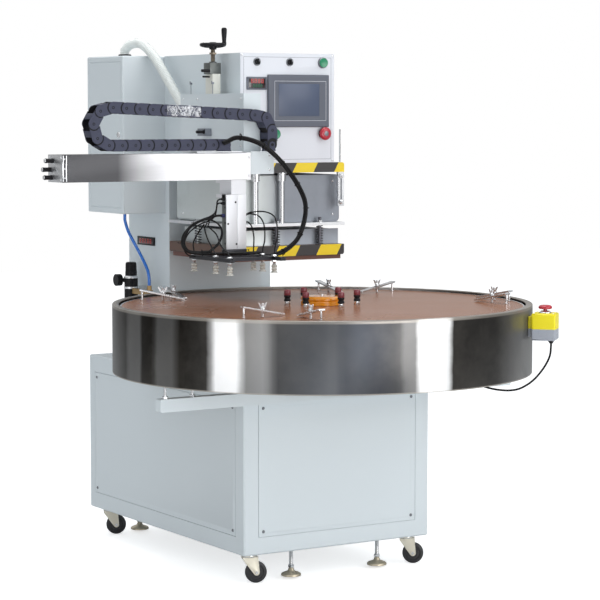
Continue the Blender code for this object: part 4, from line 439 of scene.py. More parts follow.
@dataclass(frozen=True)
class PaintedReflectionDrumFinish(Finish):
    """Sheet steel with painted reflections: long upright light and dark bands bound to the angle round the drum,
    and a painted highlight along both rims.
    """

    centre: tuple[float, float] = DRUM_CENTRE
    low: float = 0.518
    high: float = 0.721
    turn: float = 211.7
    # dark and cool colour the painted reflections' dark bands; rim colours the painted highlight along both rims.
    dark: tuple[float, float, float] = (0.010, 0.008, 0.006)
    cool: tuple[float, float, float] = (0.024, 0.030, 0.043)
    rim: tuple[float, float, float] = (0.50, 0.46, 0.41)
    # Painted reflection bands: brightness stops across the drum's face seen from the front, then a few for its
    # back.
    front: tuple[tuple[float, float], ...] = (
        (0.0, 0.04), (0.044, 0.0), (0.050, 0.10), (0.078, 0.12), (0.084, 0.0), (0.112, 0.0), (0.118, 0.11),
        (0.160, 0.10), (0.168, 0.0), (0.240, 0.03), (0.249, 1.0), (0.303, 1.0), (0.312, 0.22), (0.360, 0.30),
        (0.385, 0.05), (0.460, 0.08), (0.508, 0.13), (0.530, 0.06), (0.600, 0.03), (0.655, 0.05),
        (0.665, 0.14), (0.695, 0.20), (0.705, 1.0), (0.765, 1.0), (0.776, 0.02), (0.885, 0.03),
        (0.955, 0.18), (0.985, 0.16), (1.0, 0.03))
    back: tuple[tuple[float, float], ...] = ((0.62, 0.10), (0.70, 0.85), (0.78, 0.06))

    def base(self, shade: Shade, vector: bpy.types.NodeSocket) -> bpy.types.NodeSocket:
        """Painted reflection bands from the angle round the drum's axis, with a paler painted highlight along
        both rims.
        """
        corner = tuple(-placed(*self.centre, self.low))
        spot = shade.node("Mapping", vector_type="POINT", Vector=vector, Location=corner).outputs[0]
        x, y, z = shade.split(spot)
        noise = shade.noise(spot, Scale=7.0, Detail=4.0, Roughness=0.6)
        waver = shade.math("MULTIPLY_ADD", noise, 0.005, self.turn / 360 - 0.0055)
        phase = shade.math("FRACT", shade.math("MULTIPLY_ADD", shade.math("ARCTAN2", y, x), 1 / TAU, waver))
        front = [((math.pi - math.acos(2 * share - 1)) / TAU, value) for share, value in self.front]
        # Painted reflection: a cooler dark over one stretch of the bands.
        cool = shade.ramp(phase, (0.20, 0.0), (0.24, 1.0), (0.27, 1.0), (0.31, 0.0))
        dark = shade.mix(cool, self.dark, self.cool)
        reflection_bands = shade.mix(shade.ramp(phase, *front, *self.back), dark, self.colour)
        reflection_bands = shade.mix(shade.ramp(noise, (0.40, 0.0), (0.62, 0.045)), reflection_bands, self.rim)
        # Painted highlight along both rims, mixed in by height.
        height = shade.math("DIVIDE", z, self.high - self.low)
        rim = shade.ramp(height, (0.0, 0.6), (0.012, 0.6), (0.022, 0.0), (0.955, 0.0), (0.968, 0.45),
                         (1.0, 0.55))
        return shade.mix(rim, reflection_bands, self.rim)


@dataclass(frozen=True)
class ReflectionFadeFinish(Finish):
    """A painted reflection: a colour that turns into another along X over its fade, darker towards the beam's
    left end and paler towards the housing's.
    """

    # Painted reflection colour at the start of the fade: dark on the beam, pale on the housing.
    dull: tuple[float, float, float] = (0.055, 0.055, 0.060)
    fade: tuple[float, float] = (-0.350, -0.180)

    def base(self, shade: Shade, vector: bpy.types.NodeSocket) -> bpy.types.NodeSocket:
        """The painted reflection's start colour up to where the fade starts, the finish's own colour past its
        end.
        """
        start, end = (placed(x, 0, 0).x for x in self.fade)
        along = shade.math("DIVIDE", shade.math("SUBTRACT", shade.split(vector)[0], start), end - start)
        return shade.mix(shade.ramp(along, (0.0, 0.0), (0.45, 0.45), (1.0, 1.0)), self.dull, self.colour)


@dataclass(frozen=True)
class FilmFinish(Finish):
    """Thin creased film: clear between pale crease patches, partly the film's own whitening and partly painted
    highlights.
    """

    def material(self) -> bpy.types.Material:
        """Returns the finish with its alpha following a noise crease pattern, whose pale patches are partly
        painted highlights.
        """
        material = super().material()
        shade = Shade(material.node_tree)
        # Noise crease pattern: opaque pale patches that are partly painted highlights.
        creases_and_highlights = shade.noise(shade.object_coordinates(), Scale=48.0, Detail=3.0, Roughness=0.55,
                              Distortion=2.0)
        shader = material.node_tree.nodes["Principled BSDF"]
        shade.link(shade.ramp(creases_and_highlights, (0.40, 0.05), (0.50, 0.25), (0.64, 0.62)), shader.inputs["Alpha"])
        return material


@dataclass(frozen=True)
class TwoToneFinish(Finish):
    """One colour above a height and another below it."""

    lower: tuple[float, float, float] = (0.33, 0.35, 0.40)
    split_z: float = 0.660

    def base(self, shade: Shade, vector: bpy.types.NodeSocket) -> bpy.types.NodeSocket:
        """The upper or the lower colour."""
        above = shade.math("GREATER_THAN", shade.split(vector)[2], placed(0, 0, self.split_z).z)
        return shade.mix(above, self.lower, self.colour)


PAINT = Finish("pale_powder_coat", (0.62, 0.675, 0.705), 0.42, patch=0.012, bump=0.03)
PANEL = Finish("panel_powder_coat", (0.66, 0.68, 0.73), 0.38, patch=0.015, bump=0.03)
# Stainless drum with painted reflection bands and painted rim highlights.
DRUM = PaintedReflectionDrumFinish("drum_stainless", (0.97, 0.97, 0.97), 0.36, 0.75, patch=0.05, bump=0.02, ior=1.2)
LAMINATE = Finish("brown_laminate", (0.290, 0.122, 0.062), 0.26, patch=0.06, patch_scale=2.0, bump=0.01,
                  ior=1.28)
AMBER = Finish("amber_acrylic", (0.92, 0.34, 0.010), 0.12, patch=0.05, bump=0.0, coat=0.6, transmission=0.15)
ZINC = Finish("bright_zinc", (0.74, 0.75, 0.77), 0.26, 1.0, patch=0.10, patch_scale=30.0, bump=0.05)
CREAM_ZINC = Finish("yellow_zinc", (0.70, 0.66, 0.55), 0.38, 0.7, patch=0.12, patch_scale=40.0, bump=0.06,
                    wear=(0.82, 0.80, 0.74))
GALVANISED = Finish("galvanised_sheet", (0.245, 0.265, 0.30),
                    0.40, 0.65, patch=0.14, patch_scale=22.0, bump=0.05)
ALUMINIUM = Finish("clear_anodised", (0.80, 0.81, 0.83), 0.32, 0.9, patch=0.04, bump=0.02,
                   grain=Grain.ALONG_Z)
# Painted reflection on the beam: dark towards its left end, bright past the fade.
BEAM_STEEL = ReflectionFadeFinish("beam_stainless", (0.80, 0.80, 0.82), 0.38, 0.45, bump=0.03, grain=Grain.ALONG_X)
CHAIN = Finish("chain_nylon", (0.056, 0.060, 0.092), 0.42, patch=0.10, patch_scale=30.0, bump=0.08,
               grit=1800.0, ior=1.22)
BLACK = Finish("black_moulding", (0.012, 0.012, 0.014), 0.36, patch=0.10, bump=0.06, ior=1.25)
RUBBER = Finish("black_rubber_skin", (0.008, 0.008, 0.009), 0.40, patch=0.20, patch_scale=20.0, bump=0.12,
                ior=1.25)
BEZEL = Finish("screen_bezel", (0.090, 0.100, 0.130), 0.34, patch=0.05, bump=0.05, grit=1500.0)
GLASS = Finish("screen_glass", (0.062, 0.082, 0.138), 0.38, patch=0.08, patch_scale=8.0, bump=0.0, coat=0.08)
GREEN = Finish("green_cap", (0.006, 0.22, 0.10), 0.25, patch=0.05, bump=0.02, coat=0.4)
RED = Finish("red_cap", (0.42, 0.012, 0.030), 0.30, patch=0.05, bump=0.02, coat=0.3)
MAROON = Finish("maroon_cap", (0.20, 0.030, 0.045), 0.30, patch=0.10, bump=0.05, coat=0.2)
YELLOW = TwoToneFinish("yellow_over_grey", (0.80, 0.68, 0.004), 0.36, patch=0.03, bump=0.04)
HAZARD = StripedFinish("hazard_stripes", (0.78, 0.58, 0.010),
                       0.40, patch=0.04, bump=0.03, metal=(0.105, 0.055, 0.036))
HAZARD_UPPER = StripedFinish("hazard_stripes_upper", (0.78, 0.58, 0.010),
                             0.40, patch=0.04, bump=0.03, shift=0.075)
# Painted reflection on the housing: pale on its left part, darker past the fade.
HOUSING = ReflectionFadeFinish("housing_sheet", (0.245, 0.265, 0.30), 0.40, 0.50, patch=0.14, patch_scale=22.0,
                     bump=0.05,
                     dull=(0.58, 0.62, 0.62), fade=(0.235, 0.325))
SHEET = Finish("insulating_sheet", (0.13, 0.050, 0.034), 0.45, patch=0.15, patch_scale=12.0, bump=0.05)
WHITE_HOSE = Finish("white_conduit_skin", (0.74, 0.77, 0.75), 0.45, patch=0.05, bump=0.03)
BLUE_HOSE = Finish("blue_tube_skin", (0.006, 0.150, 0.60), 0.22, patch=0.05, bump=0.0, coat=0.4)
SPRING = Finish("spring_wire", (0.10, 0.10, 0.115), 0.34, 0.9, patch=0.10, bump=0.04)
BRONZE = Finish("bronze", (0.40, 0.27, 0.13), 0.35, 0.9, patch=0.12, patch_scale=40.0, bump=0.05)
DISPLAY = Finish("counter_window", (0.020, 0.006, 0.008), 0.18, patch=0.05, bump=0.0, coat=0.5)
DIGIT = Finish("lit_digit", (0.60, 0.020, 0.016), 0.30, patch=0.02, bump=0.0)
GREEN_DIGIT = Finish("dim_digit", (0.020, 0.180, 0.100), 0.30, patch=0.02, bump=0.0)
POLISHED = Finish("ground_steel", (0.80, 0.81, 0.83), 0.12, 1.0, patch=0.03, bump=0.01)
CREAM = Finish("cream_paint", (0.66, 0.66, 0.60), 0.40, patch=0.04, bump=0.03)
SILICONE = Finish("cream_silicone", (0.64, 0.63, 0.58), 0.25, patch=0.08, bump=0.03, coat=0.3,
                  transmission=0.35, ior=1.42)
BOWL = Finish("smoked_bowl", (0.05, 0.05, 0.055), 0.15, patch=0.05, bump=0.0, coat=0.5)
DARK_BAR = Finish("black_anodised", (0.030, 0.030, 0.036), 0.34, 0.6, patch=0.10, bump=0.04)
SLIDE_COVER = Finish("pale_slide_cover", (0.72, 0.73, 0.76), 0.38, 0.15, patch=0.02, bump=0.02)
# On the slide's body this dark colour is painted shade on its shaded side; on the post's nut block it is the
# block's own colour.
SLIDE_SIDE = Finish("slide_side", (0.13, 0.14, 0.135), 0.38, 0.5, patch=0.08, patch_scale=20.0, bump=0.03)
DARK_BLUE = Finish("dark_blue_fitting", (0.010, 0.014, 0.090), 0.35, patch=0.10, bump=0.03)
# Film whose pale crease patches are partly painted highlights.
FILM = FilmFinish("clear_film", (0.80, 0.82, 0.86), 0.10, patch=0.30, patch_scale=60.0, bump=0.9, grit=90.0,
                  coat=1.0)
OILED = Finish("oiled_steel", (0.24, 0.20, 0.155), 0.36, 0.8, patch=0.12, patch_scale=40.0, bump=0.05)
RING = Finish("button_ring", (0.20, 0.21, 0.23), 0.30, 0.8, patch=0.05, bump=0.02)
TYRE = Finish("caster_tyre", (0.020, 0.020, 0.022), 0.50, patch=0.15, patch_scale=30.0, bump=0.10)
BRONZE_ZINC = Finish("foot_zinc", (0.56, 0.50, 0.38), 0.36, 0.75, patch=0.12, patch_scale=40.0, bump=0.05)


# Mesh helpers


def linked(name: str, data: bpy.types.ID) -> bpy.types.Object:
    """Makes an object from its data and links it to the scene."""
    obj = bpy.data.objects.new(name, data)
    bpy.context.scene.collection.objects.link(obj)
    return obj


def mesh_of(name: str, shape: bmesh.types.BMesh) -> bpy.types.Mesh:
    """Makes a mesh from a bmesh, and frees the bmesh."""
    mesh = bpy.data.meshes.new(name)
    shape.to_mesh(mesh)
    shape.free()
    return mesh


def evaluated(obj: bpy.types.Object) -> bpy.types.Mesh:
    """Returns the mesh that an object's modifiers make of it."""
    bpy.context.view_layer.update()
    graph = bpy.context.evaluated_depsgraph_get()
    return bpy.data.meshes.new_from_object(obj.evaluated_get(graph), preserve_all_data_layers=True,
                                           depsgraph=graph)


def object_of(name: str, shape: bmesh.types.BMesh, finish: Finish, sharp: float = SHARP) -> bpy.types.Object:
    """Makes a linked object from a bmesh in cabinet coordinates.

    Args:
        name: the object's name.
        shape: the mesh, freed here.
        finish: its finish.
        sharp: edges steeper than this many degrees stay sharp.

    Returns:
        The object, with its place in its mesh in the row frame.
    """
    bmesh.ops.translate(shape, vec=Row.offset, verts=shape.verts)
    return dress(linked(name, mesh_of(name, shape)), finish, sharp)


def dress(obj: bpy.types.Object, finish: Finish, sharp: float = SHARP) -> bpy.types.Object:
    """Gives an object its first finish and smooth shading with sharp edges, and returns it."""
    if obj.data.materials:
        obj.data.materials[0] = finish.material()
    else:
        obj.data.materials.append(finish.material())
    obj.data.shade_smooth()
    obj.data.set_sharp_from_angle(angle=math.radians(sharp))
    return obj


def block(shape: bmesh.types.BMesh, low: Point, high: Point, bevel: float = 0.0, segments: int = 2) -> None:
    """Adds a box with rounded edges to a bmesh.

    Args:
        shape: the bmesh.
        low: lowest corner.
        high: highest corner.
        bevel: edge radius.
        segments: facets across an edge.
    """
    made = bmesh.ops.create_cube(shape, size=1.0)["verts"]
    bmesh.ops.scale(shape, vec=[b - a for a, b in zip(low, high)], verts=made)
    bmesh.ops.translate(shape, vec=[(a + b) / 2 for a, b in zip(low, high)], verts=made)
    if bevel:
        edges = list({edge for vert in made for edge in vert.link_edges})
        bmesh.ops.bevel(shape, geom=edges, offset=bevel, segments=segments, profile=0.5, affect="EDGES")


def turn_to(axis: Axis, u: float, v: float, w: float) -> tuple[float, float, float]:
    """Turns a point that stands along Z so that it stands along another axis."""
    return {Axis.X: (w, u, v), Axis.Y: (v, w, u), Axis.Z: (u, v, w)}[axis]


def bridge(shape: bmesh.types.BMesh, rings: Sequence[list]) -> list[bmesh.types.BMFace]:
    """Joins each ring of vertices to the next, which has as many, and returns the faces."""
    return [shape.faces.new((a, b, d, c)) for first, second in zip(rings, rings[1:])
            for a, b, c, d in zip(first, first[1:] + first[:1], second, second[1:] + second[:1])]


def circle(at: Vector, across: Vector, up: Vector, radius: float, count: int) -> list[Vector]:
    """Points round a circle, from across towards up."""
    return [at + radius * (across * math.cos(TAU * k / count) + up * math.sin(TAU * k / count))
            for k in range(count)]


def thread(crest: float, root: float, start: float, end: float, turns: int) -> list[tuple[float, float]]:
    """A thread's profile, root and crest in turn from one height to the other."""
    return [(crest if i % 2 else root, start + (end - start) * i / turns) for i in range(turns + 1)]


def lathe(shape: bmesh.types.BMesh, profile: Sequence[tuple[float, float]], steps: int,
          at: Point = (0, 0, 0), axis: Axis = Axis.Z, flip: bool = False) -> None:
    """Adds a turned body to a bmesh. Points on the axis close it into a pole.

    A profile that ends where it starts makes a closed ring.

    Args:
        shape: the bmesh.
        profile: (radius, height) points, from one end to the other.
        steps: facets round.
        at: the axis's start.
        axis: which way the heights run.
        flip: heights run down the axis instead.
    """
    rings = []
    sign = -1.0 if flip else 1.0
    closed = math.dist(profile[0], profile[-1]) < MERGE
    for radius, height in profile[:-1] if closed else profile:
        angles = [TAU * i / steps for i in range(1 if radius < MERGE else steps)]
        spots = [turn_to(axis, radius * math.cos(a), radius * math.sin(a), sign * height) for a in angles]
        rings.append([shape.verts.new([a + b for a, b in zip(at, spot)]) for spot in spots])
    if closed:
        rings.append(rings[0])
    made = []
    for first, second in zip(rings, rings[1:]):
        for i in range(steps):
            a, b = first[i % len(first)], first[(i + 1) % len(first)]
            c, d = second[(i + 1) % len(second)], second[i % len(second)]
            corners = list(dict.fromkeys((a, b, c, d)))
            if len(corners) > 2:
                made.append(shape.faces.new(corners))
    bmesh.ops.recalc_face_normals(shape, faces=made)


def prism(shape: bmesh.types.BMesh, outline: Sequence[tuple[float, float]], start: float, depth: float,
          axis: Axis, bevel: float = 0.0) -> None:
    """Adds a plate with a flat outline to a bmesh.

    Args:
        shape: the bmesh.
        outline: (x, z) points for Axis.Y, (y, z) for Axis.X, (x, y) for Axis.Z.
        start: where the plate starts along the axis.
        depth: its thickness.
        axis: the axis it faces.
        bevel: edge radius.
    """
    order = slice(None, None, -1) if axis is Axis.Y else slice(None)
    near, far = ([shape.verts.new(turn_to(axis, *spot[order], w)) for spot in outline]
                 for w in (start, start + depth))
    faces = [shape.faces.new(near), shape.faces.new(far[::-1]), *bridge(shape, (near, far))]
    bmesh.ops.recalc_face_normals(shape, faces=faces)
    if bevel:
        edges = list({edge for face in faces[:2] for edge in face.edges})
        bmesh.ops.bevel(shape, geom=edges, offset=bevel, segments=1, profile=0.5, affect="EDGES")


def smooth_route(knots: Sequence[Point], spacing: float) -> list[Vector]:
    """Points about that far apart on a smooth curve, straight at its first and last stretch.

    Args:
        knots: the points it passes through.
        spacing: the distance between its points.

    Returns:
        The route's points.
    """
    points = [Vector(knot) for knot in knots]
    route = [points[0]]
    for before, first, second, after in zip(points, points[1:], points[2:], points[3:]):
        steps = max(2, round((second - first).length / spacing))
        for step in range(steps):
            t = step / steps
            route.append(0.5 * (2 * first + (second - before) * t
                                + (2 * before - 5 * first + 4 * second - after) * t**2
                                + (3 * first - before - 3 * second + after) * t**3))
    return [*route, points[-2], points[-1]]


def tube(shape: bmesh.types.BMesh, route: Sequence[Vector], radius: float | Callable[[float], float],
         sides: int = 12) -> None:
    """Adds a closed tube along a route to a bmesh.

    Args:
        shape: the bmesh.
        route: its centreline.
        radius: a radius, or a function of the share of the length from 0 to 1.
        sides: facets round.
    """
    size = radius if callable(radius) else lambda share: radius
    rings = []
    side = None
    for i, point in enumerate(route):
        ahead = route[min(i + 1, len(route) - 1)] - route[max(i - 1, 0)]
        ahead.normalize()
        if side is None:
            side = ahead.orthogonal().normalized()
        side = (side - ahead * side.dot(ahead)).normalized()
        spots = circle(point, side, ahead.cross(side), size(i / (len(route) - 1)), sides)
        rings.append([shape.verts.new(spot) for spot in spots])
    faces = [shape.faces.new(rings[0][::-1]), shape.faces.new(rings[-1]), *bridge(shape, rings)]
    bmesh.ops.recalc_face_normals(shape, faces=faces)


@dataclass(frozen=True)
class Region:
    """A box in the cabinet frame whose faces on a refined node take another finish."""

    finish: Finish
    low: tuple[float, float, float] = (-FAR, -FAR, -FAR)
    high: tuple[float, float, float] = (FAR, FAR, FAR)

    def holds(self, point: Vector) -> bool:
        """Whether a row-frame point lies in the region."""
        spot = point - Row.offset
        return all(a <= c <= b for a, b, c in zip(self.low, self.high, spot))


def above(finish: Finish, z: float) -> Region:
    """The region over a height."""
    return Region(finish, low=(-FAR, -FAR, z))


def below(finish: Finish, z: float) -> Region:
    """The region under a height."""
    return Region(finish, high=(FAR, FAR, z))


def piece(name: str, shape: bmesh.types.BMesh, finish: Finish, node: str, *nodes: str,
          sharp: float = SHARP) -> bpy.types.Object:
    """Makes a finished piece that moves with a CAD node.

    Args:
        name: the piece's name.
        shape: its mesh, in cabinet coordinates.
        finish: its finish.
        node: the CAD node whose body it takes.
        nodes: CAD nodes that it stands for.
        sharp: edges steeper than this many degrees stay sharp.

    Returns:
        The piece.
    """
    return settle(object_of(name, shape, finish, sharp), node, *nodes)


def solid(name: str, finish: Finish, nodes: Sequence[str], add: Callable[..., None],
          *how: object) -> bpy.types.Object:
    """Makes a finished piece of one body.

    Args:
        name: the piece's name.
        finish: its finish.
        nodes: the CAD node that it goes with, then those that it stands for.
        add: lathe or block.
        how: what that function takes after the bmesh.

    Returns:
        The piece.
    """
    shape = bmesh.new()
    add(shape, *how)
    return piece(name, shape, finish, *nodes)


def settle(obj: bpy.types.Object, node: str, *nodes: str) -> bpy.types.Object:
    """Rides a ready object on a CAD node's body and names what it replaces."""
    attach(obj, Row.body[node])
    return declare(obj, node, *nodes)


def declare(obj: bpy.types.Object, node: str, *nodes: str) -> bpy.types.Object:
    """Hides what a piece replaces and logs the node it goes with."""
    if nodes:
        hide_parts(*nodes)
    LOG.info("%s goes with %s", obj.name, node)
    return obj


def refined(node: str, finish: Finish, *regions: Region, width: float = 0.0012) -> bpy.types.Object:
    """Makes a copy of a CAD node with its corners softened, which stands for the node.

    Args:
        node: the CAD node.
        finish: its finish.
        regions: parts of it that take another finish.
        width: the bevel's width.

    Returns:
        The piece.
    """
    shape = bmesh.new()
    shape.from_mesh(bpy.data.objects[node].data)
    bmesh.ops.remove_doubles(shape, verts=shape.verts, dist=10 * MERGE)
    for face in shape.faces:
        face.material_index = 0
        for i, region in enumerate(regions):
            if region.holds(face.calc_center_median()):
                face.material_index = i + 1
    bmesh.ops.dissolve_limit(shape, angle_limit=math.radians(1.0), verts=shape.verts, edges=shape.edges,
                             delimit={"MATERIAL"})
    bmesh.ops.recalc_face_normals(shape, faces=shape.faces)
    obj = dress(linked(f"{node}_refined", mesh_of(f"{node}_refined", shape)), finish)
    for region in regions:
        obj.data.materials.append(region.finish.material())
    bevel = obj.modifiers.new("soft_corners", "BEVEL")
    bevel.width = width
    bevel.segments = 2
    bevel.limit_method = "ANGLE"
    bevel.angle_limit = math.radians(40)
    bevel.harden_normals = True
    bake_modifiers(obj)
    return settle(obj, node, node)


def bake_modifiers(obj: bpy.types.Object) -> None:
    """Replaces an object's mesh by its evaluated one, and removes the modifiers."""
    mesh = evaluated(obj)
    obj.modifiers.clear()
    obj.data = mesh


# Geometry Nodes


class Grower:
    """Builds one Geometry Nodes tree with named inputs, and grows plain meshes from it."""

    def __init__(self, name: str) -> None:
        """Starts a tree whose first input and output are geometry."""
        self.tree = bpy.data.node_groups.new(name, "GeometryNodeTree")
        self.tree.interface.new_socket(name="Geometry", in_out="INPUT", socket_type="NodeSocketGeometry")
        self.tree.interface.new_socket(name="Geometry", in_out="OUTPUT", socket_type="NodeSocketGeometry")
        self.entry = self.tree.nodes.new("NodeGroupInput")
        self.names: dict[str, str] = {}

    def input(self, name: str, kind: str) -> bpy.types.NodeSocket:
        """Adds a named input.

        Args:
            name: its name.
            kind: Float, Int, Vector, Object or Material.

        Returns:
            Its socket inside the tree.
        """
        made = self.tree.interface.new_socket(name=name, in_out="INPUT", socket_type=f"NodeSocket{kind}")
        self.names[name] = made.identifier
        return self.entry.outputs[name]

    def node(self, kind: str, links: dict[str, object] | None = None, **settings: object) -> bpy.types.Node:
        """Adds a node.

        Args:
            kind: the node's bl_idname.
            links: input names with the socket or value each takes.
            settings: the node's properties.

        Returns:
            The node.
        """
        made = self.tree.nodes.new(kind)
        for key, value in settings.items():
            setattr(made, key, value)
        for key, value in (links or {}).items():
            slot = made.inputs[key]
            if isinstance(value, bpy.types.NodeSocket):
                self.tree.links.new(value, slot)
            else:
                slot.default_value = value
        return made

    def instances(self, points: bpy.types.NodeSocket, **inputs: object) -> bpy.types.NodeSocket:
        """Sets the object that the Template input names on points.

        Args:
            points: the places.
            inputs: the instances' Rotation and Scale.

        Returns:
            The instances' socket.
        """
        pattern = self.node("GeometryNodeObjectInfo", {"Object": self.input("Template", "Object")})
        given = {"Points": points, "Instance": pattern.outputs["Geometry"], **inputs}
        return self.node("GeometryNodeInstanceOnPoints", given).outputs[0]

    def close(self, geometry: bpy.types.NodeSocket) -> "Grower":
        """Ends the tree in Realize Instances and Set Material."""
        real = self.node("GeometryNodeRealizeInstances", {"Geometry": geometry})
        painted = self.node("GeometryNodeSetMaterial", {"Geometry": real.outputs[0],
                                                        "Material": self.input("Finish", "Material")})
        leave = self.tree.nodes.new("NodeGroupOutput")
        self.tree.links.new(painted.outputs[0], leave.inputs[0])
        return self

    def grow(self, name: str, carrier: bpy.types.ID, finish: Finish, sharp: float = SHARP,
             **values: object) -> bpy.types.Object:
        """Runs the tree on a mesh or curve and returns the result as a plain mesh object.

        Args:
            name: the new object's name.
            carrier: mesh or curve data that the tree is given.
            finish: the finish set on the result.
            sharp: edges steeper than this many degrees stay sharp.
            values: the tree's inputs, with _ for a space.

        Returns:
            The object, in row coordinates if the carrier is.
        """
        holder = linked(f"{name}_carrier", carrier)
        modifier = holder.modifiers.new("grow", "NODES")
        modifier.node_group = self.tree
        modifier[self.names["Finish"]] = finish.material()
        for key, value in values.items():
            modifier[self.names[key.replace("_", " ")]] = value
        mesh = evaluated(holder)
        bpy.data.objects.remove(holder)
        mesh.name = name
        return dress(linked(name, mesh), finish, sharp)


def scatter_tree() -> Grower:
    """Sets a template on each vertex, its Z turned to the vertex's "facing" and spun by "spin"."""
    tree = Grower("set_on_points")
    facing = tree.node("GeometryNodeInputNamedAttribute", {"Name": "facing"}, data_type="FLOAT_VECTOR")
    spin = tree.node("GeometryNodeInputNamedAttribute", {"Name": "spin"}, data_type="FLOAT")
    aligned = tree.node("FunctionNodeAlignRotationToVector", {"Vector": facing.outputs[0]}, axis="Z")
    about = tree.node("FunctionNodeAxisAngleToRotation", {"Axis": (0, 0, 1), "Angle": spin.outputs[0]})
    turned = tree.node("FunctionNodeRotateRotation", {
        "Rotation": aligned.outputs[0], "Rotate By": about.outputs[0]}, rotation_space="LOCAL")
    points = tree.node("GeometryNodeMeshToPoints", {"Mesh": tree.entry.outputs["Geometry"]})
    size = tree.input("Scale", "Float")
    return tree.close(tree.instances(points.outputs[0], Rotation=turned.outputs[0], Scale=size))


def ring_tree() -> Grower:
    """Sets a template round a circle about the carrier's origin, each turned with its angle."""
    tree = Grower("set_round_ring")
    circle_node = tree.node("GeometryNodeMeshCircle", {
        "Vertices": tree.input("Count", "Int"), "Radius": tree.input("Radius", "Float")})
    place = tree.node("GeometryNodeInputPosition")
    aligned = tree.node("FunctionNodeAlignRotationToVector", {"Vector": place.outputs[0]}, axis="X",
                        pivot_axis="Z")
    made = tree.instances(circle_node.outputs[0], Rotation=aligned.outputs[0])
    turn = tree.node("ShaderNodeCombineXYZ", {"Z": tree.input("Turn", "Float")})
    moved = tree.node("GeometryNodeTransform", {
        "Geometry": made, "Translation": tree.input("Centre", "Vector"), "Rotation": turn.outputs[0]})
    return tree.close(moved.outputs[0])


def link_tree() -> Grower:
    """Sets a template on each vertex, turned about Y by the vertex's "heading"."""
    tree = Grower("set_chain_links")
    heading = tree.node("GeometryNodeInputNamedAttribute", {"Name": "heading"}, data_type="FLOAT")
    turn = tree.node("FunctionNodeAxisAngleToRotation", {"Axis": (0, 1, 0), "Angle": heading.outputs[0]})
    points = tree.node("GeometryNodeMeshToPoints", {"Mesh": tree.entry.outputs["Geometry"]})
    return tree.close(tree.instances(points.outputs[0], Rotation=turn.outputs[0]))


def coil_tree() -> Grower:
    """A wound wire: a spiral swept with a round section."""
    tree = Grower("wound_spring")
    spiral = tree.node("GeometryNodeCurveSpiral", {
        "Resolution": tree.input("Points per turn", "Int"), "Rotations": tree.input("Turns", "Float"),
        "Start Radius": tree.input("Radius", "Float"), "Height": tree.input("Height", "Float")})
    tree.tree.links.new(tree.entry.outputs["Radius"], spiral.inputs["End Radius"])
    section = tree.node("GeometryNodeCurvePrimitiveCircle",
                        {"Resolution": 8, "Radius": tree.input("Wire", "Float")})
    swept = tree.node("GeometryNodeCurveToMesh", {"Curve": spiral.outputs[0],
                                                  "Profile Curve": section.outputs[0], "Fill Caps": True})
    moved = tree.node("GeometryNodeTransform", {"Geometry": swept.outputs[0],
                                                "Translation": tree.input("Base", "Vector")})
    return tree.close(moved.outputs[0])


@dataclass
class Spot:
    """One place for a repeated small part."""

    at: Point
    facing: Point = (0, 0, 1)
    spin: float = 0.0


class Growers:
    """The trees, each built at its first use."""

    made: dict[str, Grower] = {}

    @classmethod
    def of(cls, build: Callable[[], Grower]) -> Grower:
        """Returns the tree that this function builds."""
        if build.__name__ not in cls.made:
            cls.made[build.__name__] = build()
        return cls.made[build.__name__]


def template(name: str, build: Callable[[bmesh.types.BMesh], None]) -> bpy.types.Object:
    """Makes an unlinked template object about its own origin, for the trees to repeat.

    Args:
        name: its name.
        build: adds its shape to a bmesh.

    Returns:
        The template.
    """
    found = bpy.data.objects.get(name)
    if found:
        return found
    shape = bmesh.new()
    build(shape)
    mesh = mesh_of(name, shape)
    mesh.shade_smooth()
    mesh.set_sharp_from_angle(angle=math.radians(SHARP))
    return bpy.data.objects.new(name, mesh)


def scatter(name: str, pattern: bpy.types.Object, spots: Iterable[Spot], finish: Finish, node: str,
            scale: float = 1.0) -> bpy.types.Object:
    """Sets a template on each spot, as one piece that moves with a CAD node.

    Args:
        name: the piece's name.
        pattern: the template.
        spots: the places, in cabinet coordinates.
        finish: the finish.
        node: the CAD node whose body it takes.
        scale: the template's scale.

    Returns:
        The piece.
    """
    spots = list(spots)
    mesh = bpy.data.meshes.new(f"{name}_spots")
    mesh.from_pydata([placed(*s.at) for s in spots], [], [])
    facing = mesh.attributes.new("facing", "FLOAT_VECTOR", "POINT")
    for row, spot in zip(facing.data, spots):
        row.vector = Vector(spot.facing).normalized()
    spin = mesh.attributes.new("spin", "FLOAT", "POINT")
    for row, spot in zip(spin.data, spots):
        row.value = spot.spin
    obj = Growers.of(scatter_tree).grow(name, mesh, finish, Template=pattern, Scale=scale)
    return settle(obj, node)


def screw_pattern() -> bpy.types.Object:
    """A domed cross-recess screw head of 3.5 mm radius, its seat at z = 0."""

    def build(shape: bmesh.types.BMesh) -> None:
        """Turns the dome and cuts the recess as two low bars."""
        lathe(shape, [(0, 0.0021), (0.0016, 0.0020), (0.0028, 0.0014), (0.0035, 0.0003), (0.0035, -0.0004),
                      (0, -0.0004)], 16)
        block(shape, (-0.0017, -0.0003, 0.0017), (0.0017, 0.0003, 0.00225))
        block(shape, (-0.0003, -0.0017, 0.0017), (0.0003, 0.0017, 0.00225))

    return template("pattern_screw", build)


def hex_pattern() -> bpy.types.Object:
    """A chamfered hexagon nut with a bolt end, 8 mm over its corners' radius, seat at z = 0."""

    def build(shape: bmesh.types.BMesh) -> None:
        """Turns six-sided chamfers and a round bolt end."""
        lathe(shape, [(0, 0.0062), (0.0066, 0.0062), (0.0076, 0.0055), (0.0076, 0.0007), (0.0070, 0.0),
                      (0, 0)], 6)
        lathe(shape, [(0, 0.0090), (0.0034, 0.0090), (0.0040, 0.0084), (0.0040, 0.0055), (0, 0.0055)], 12)
        lathe(shape, [(0, 0.0008), (0.0095, 0.0008), (0.0095, -0.0002), (0, -0.0002)], 16)

    return template("pattern_hexagon", build)


# Sub-assemblies


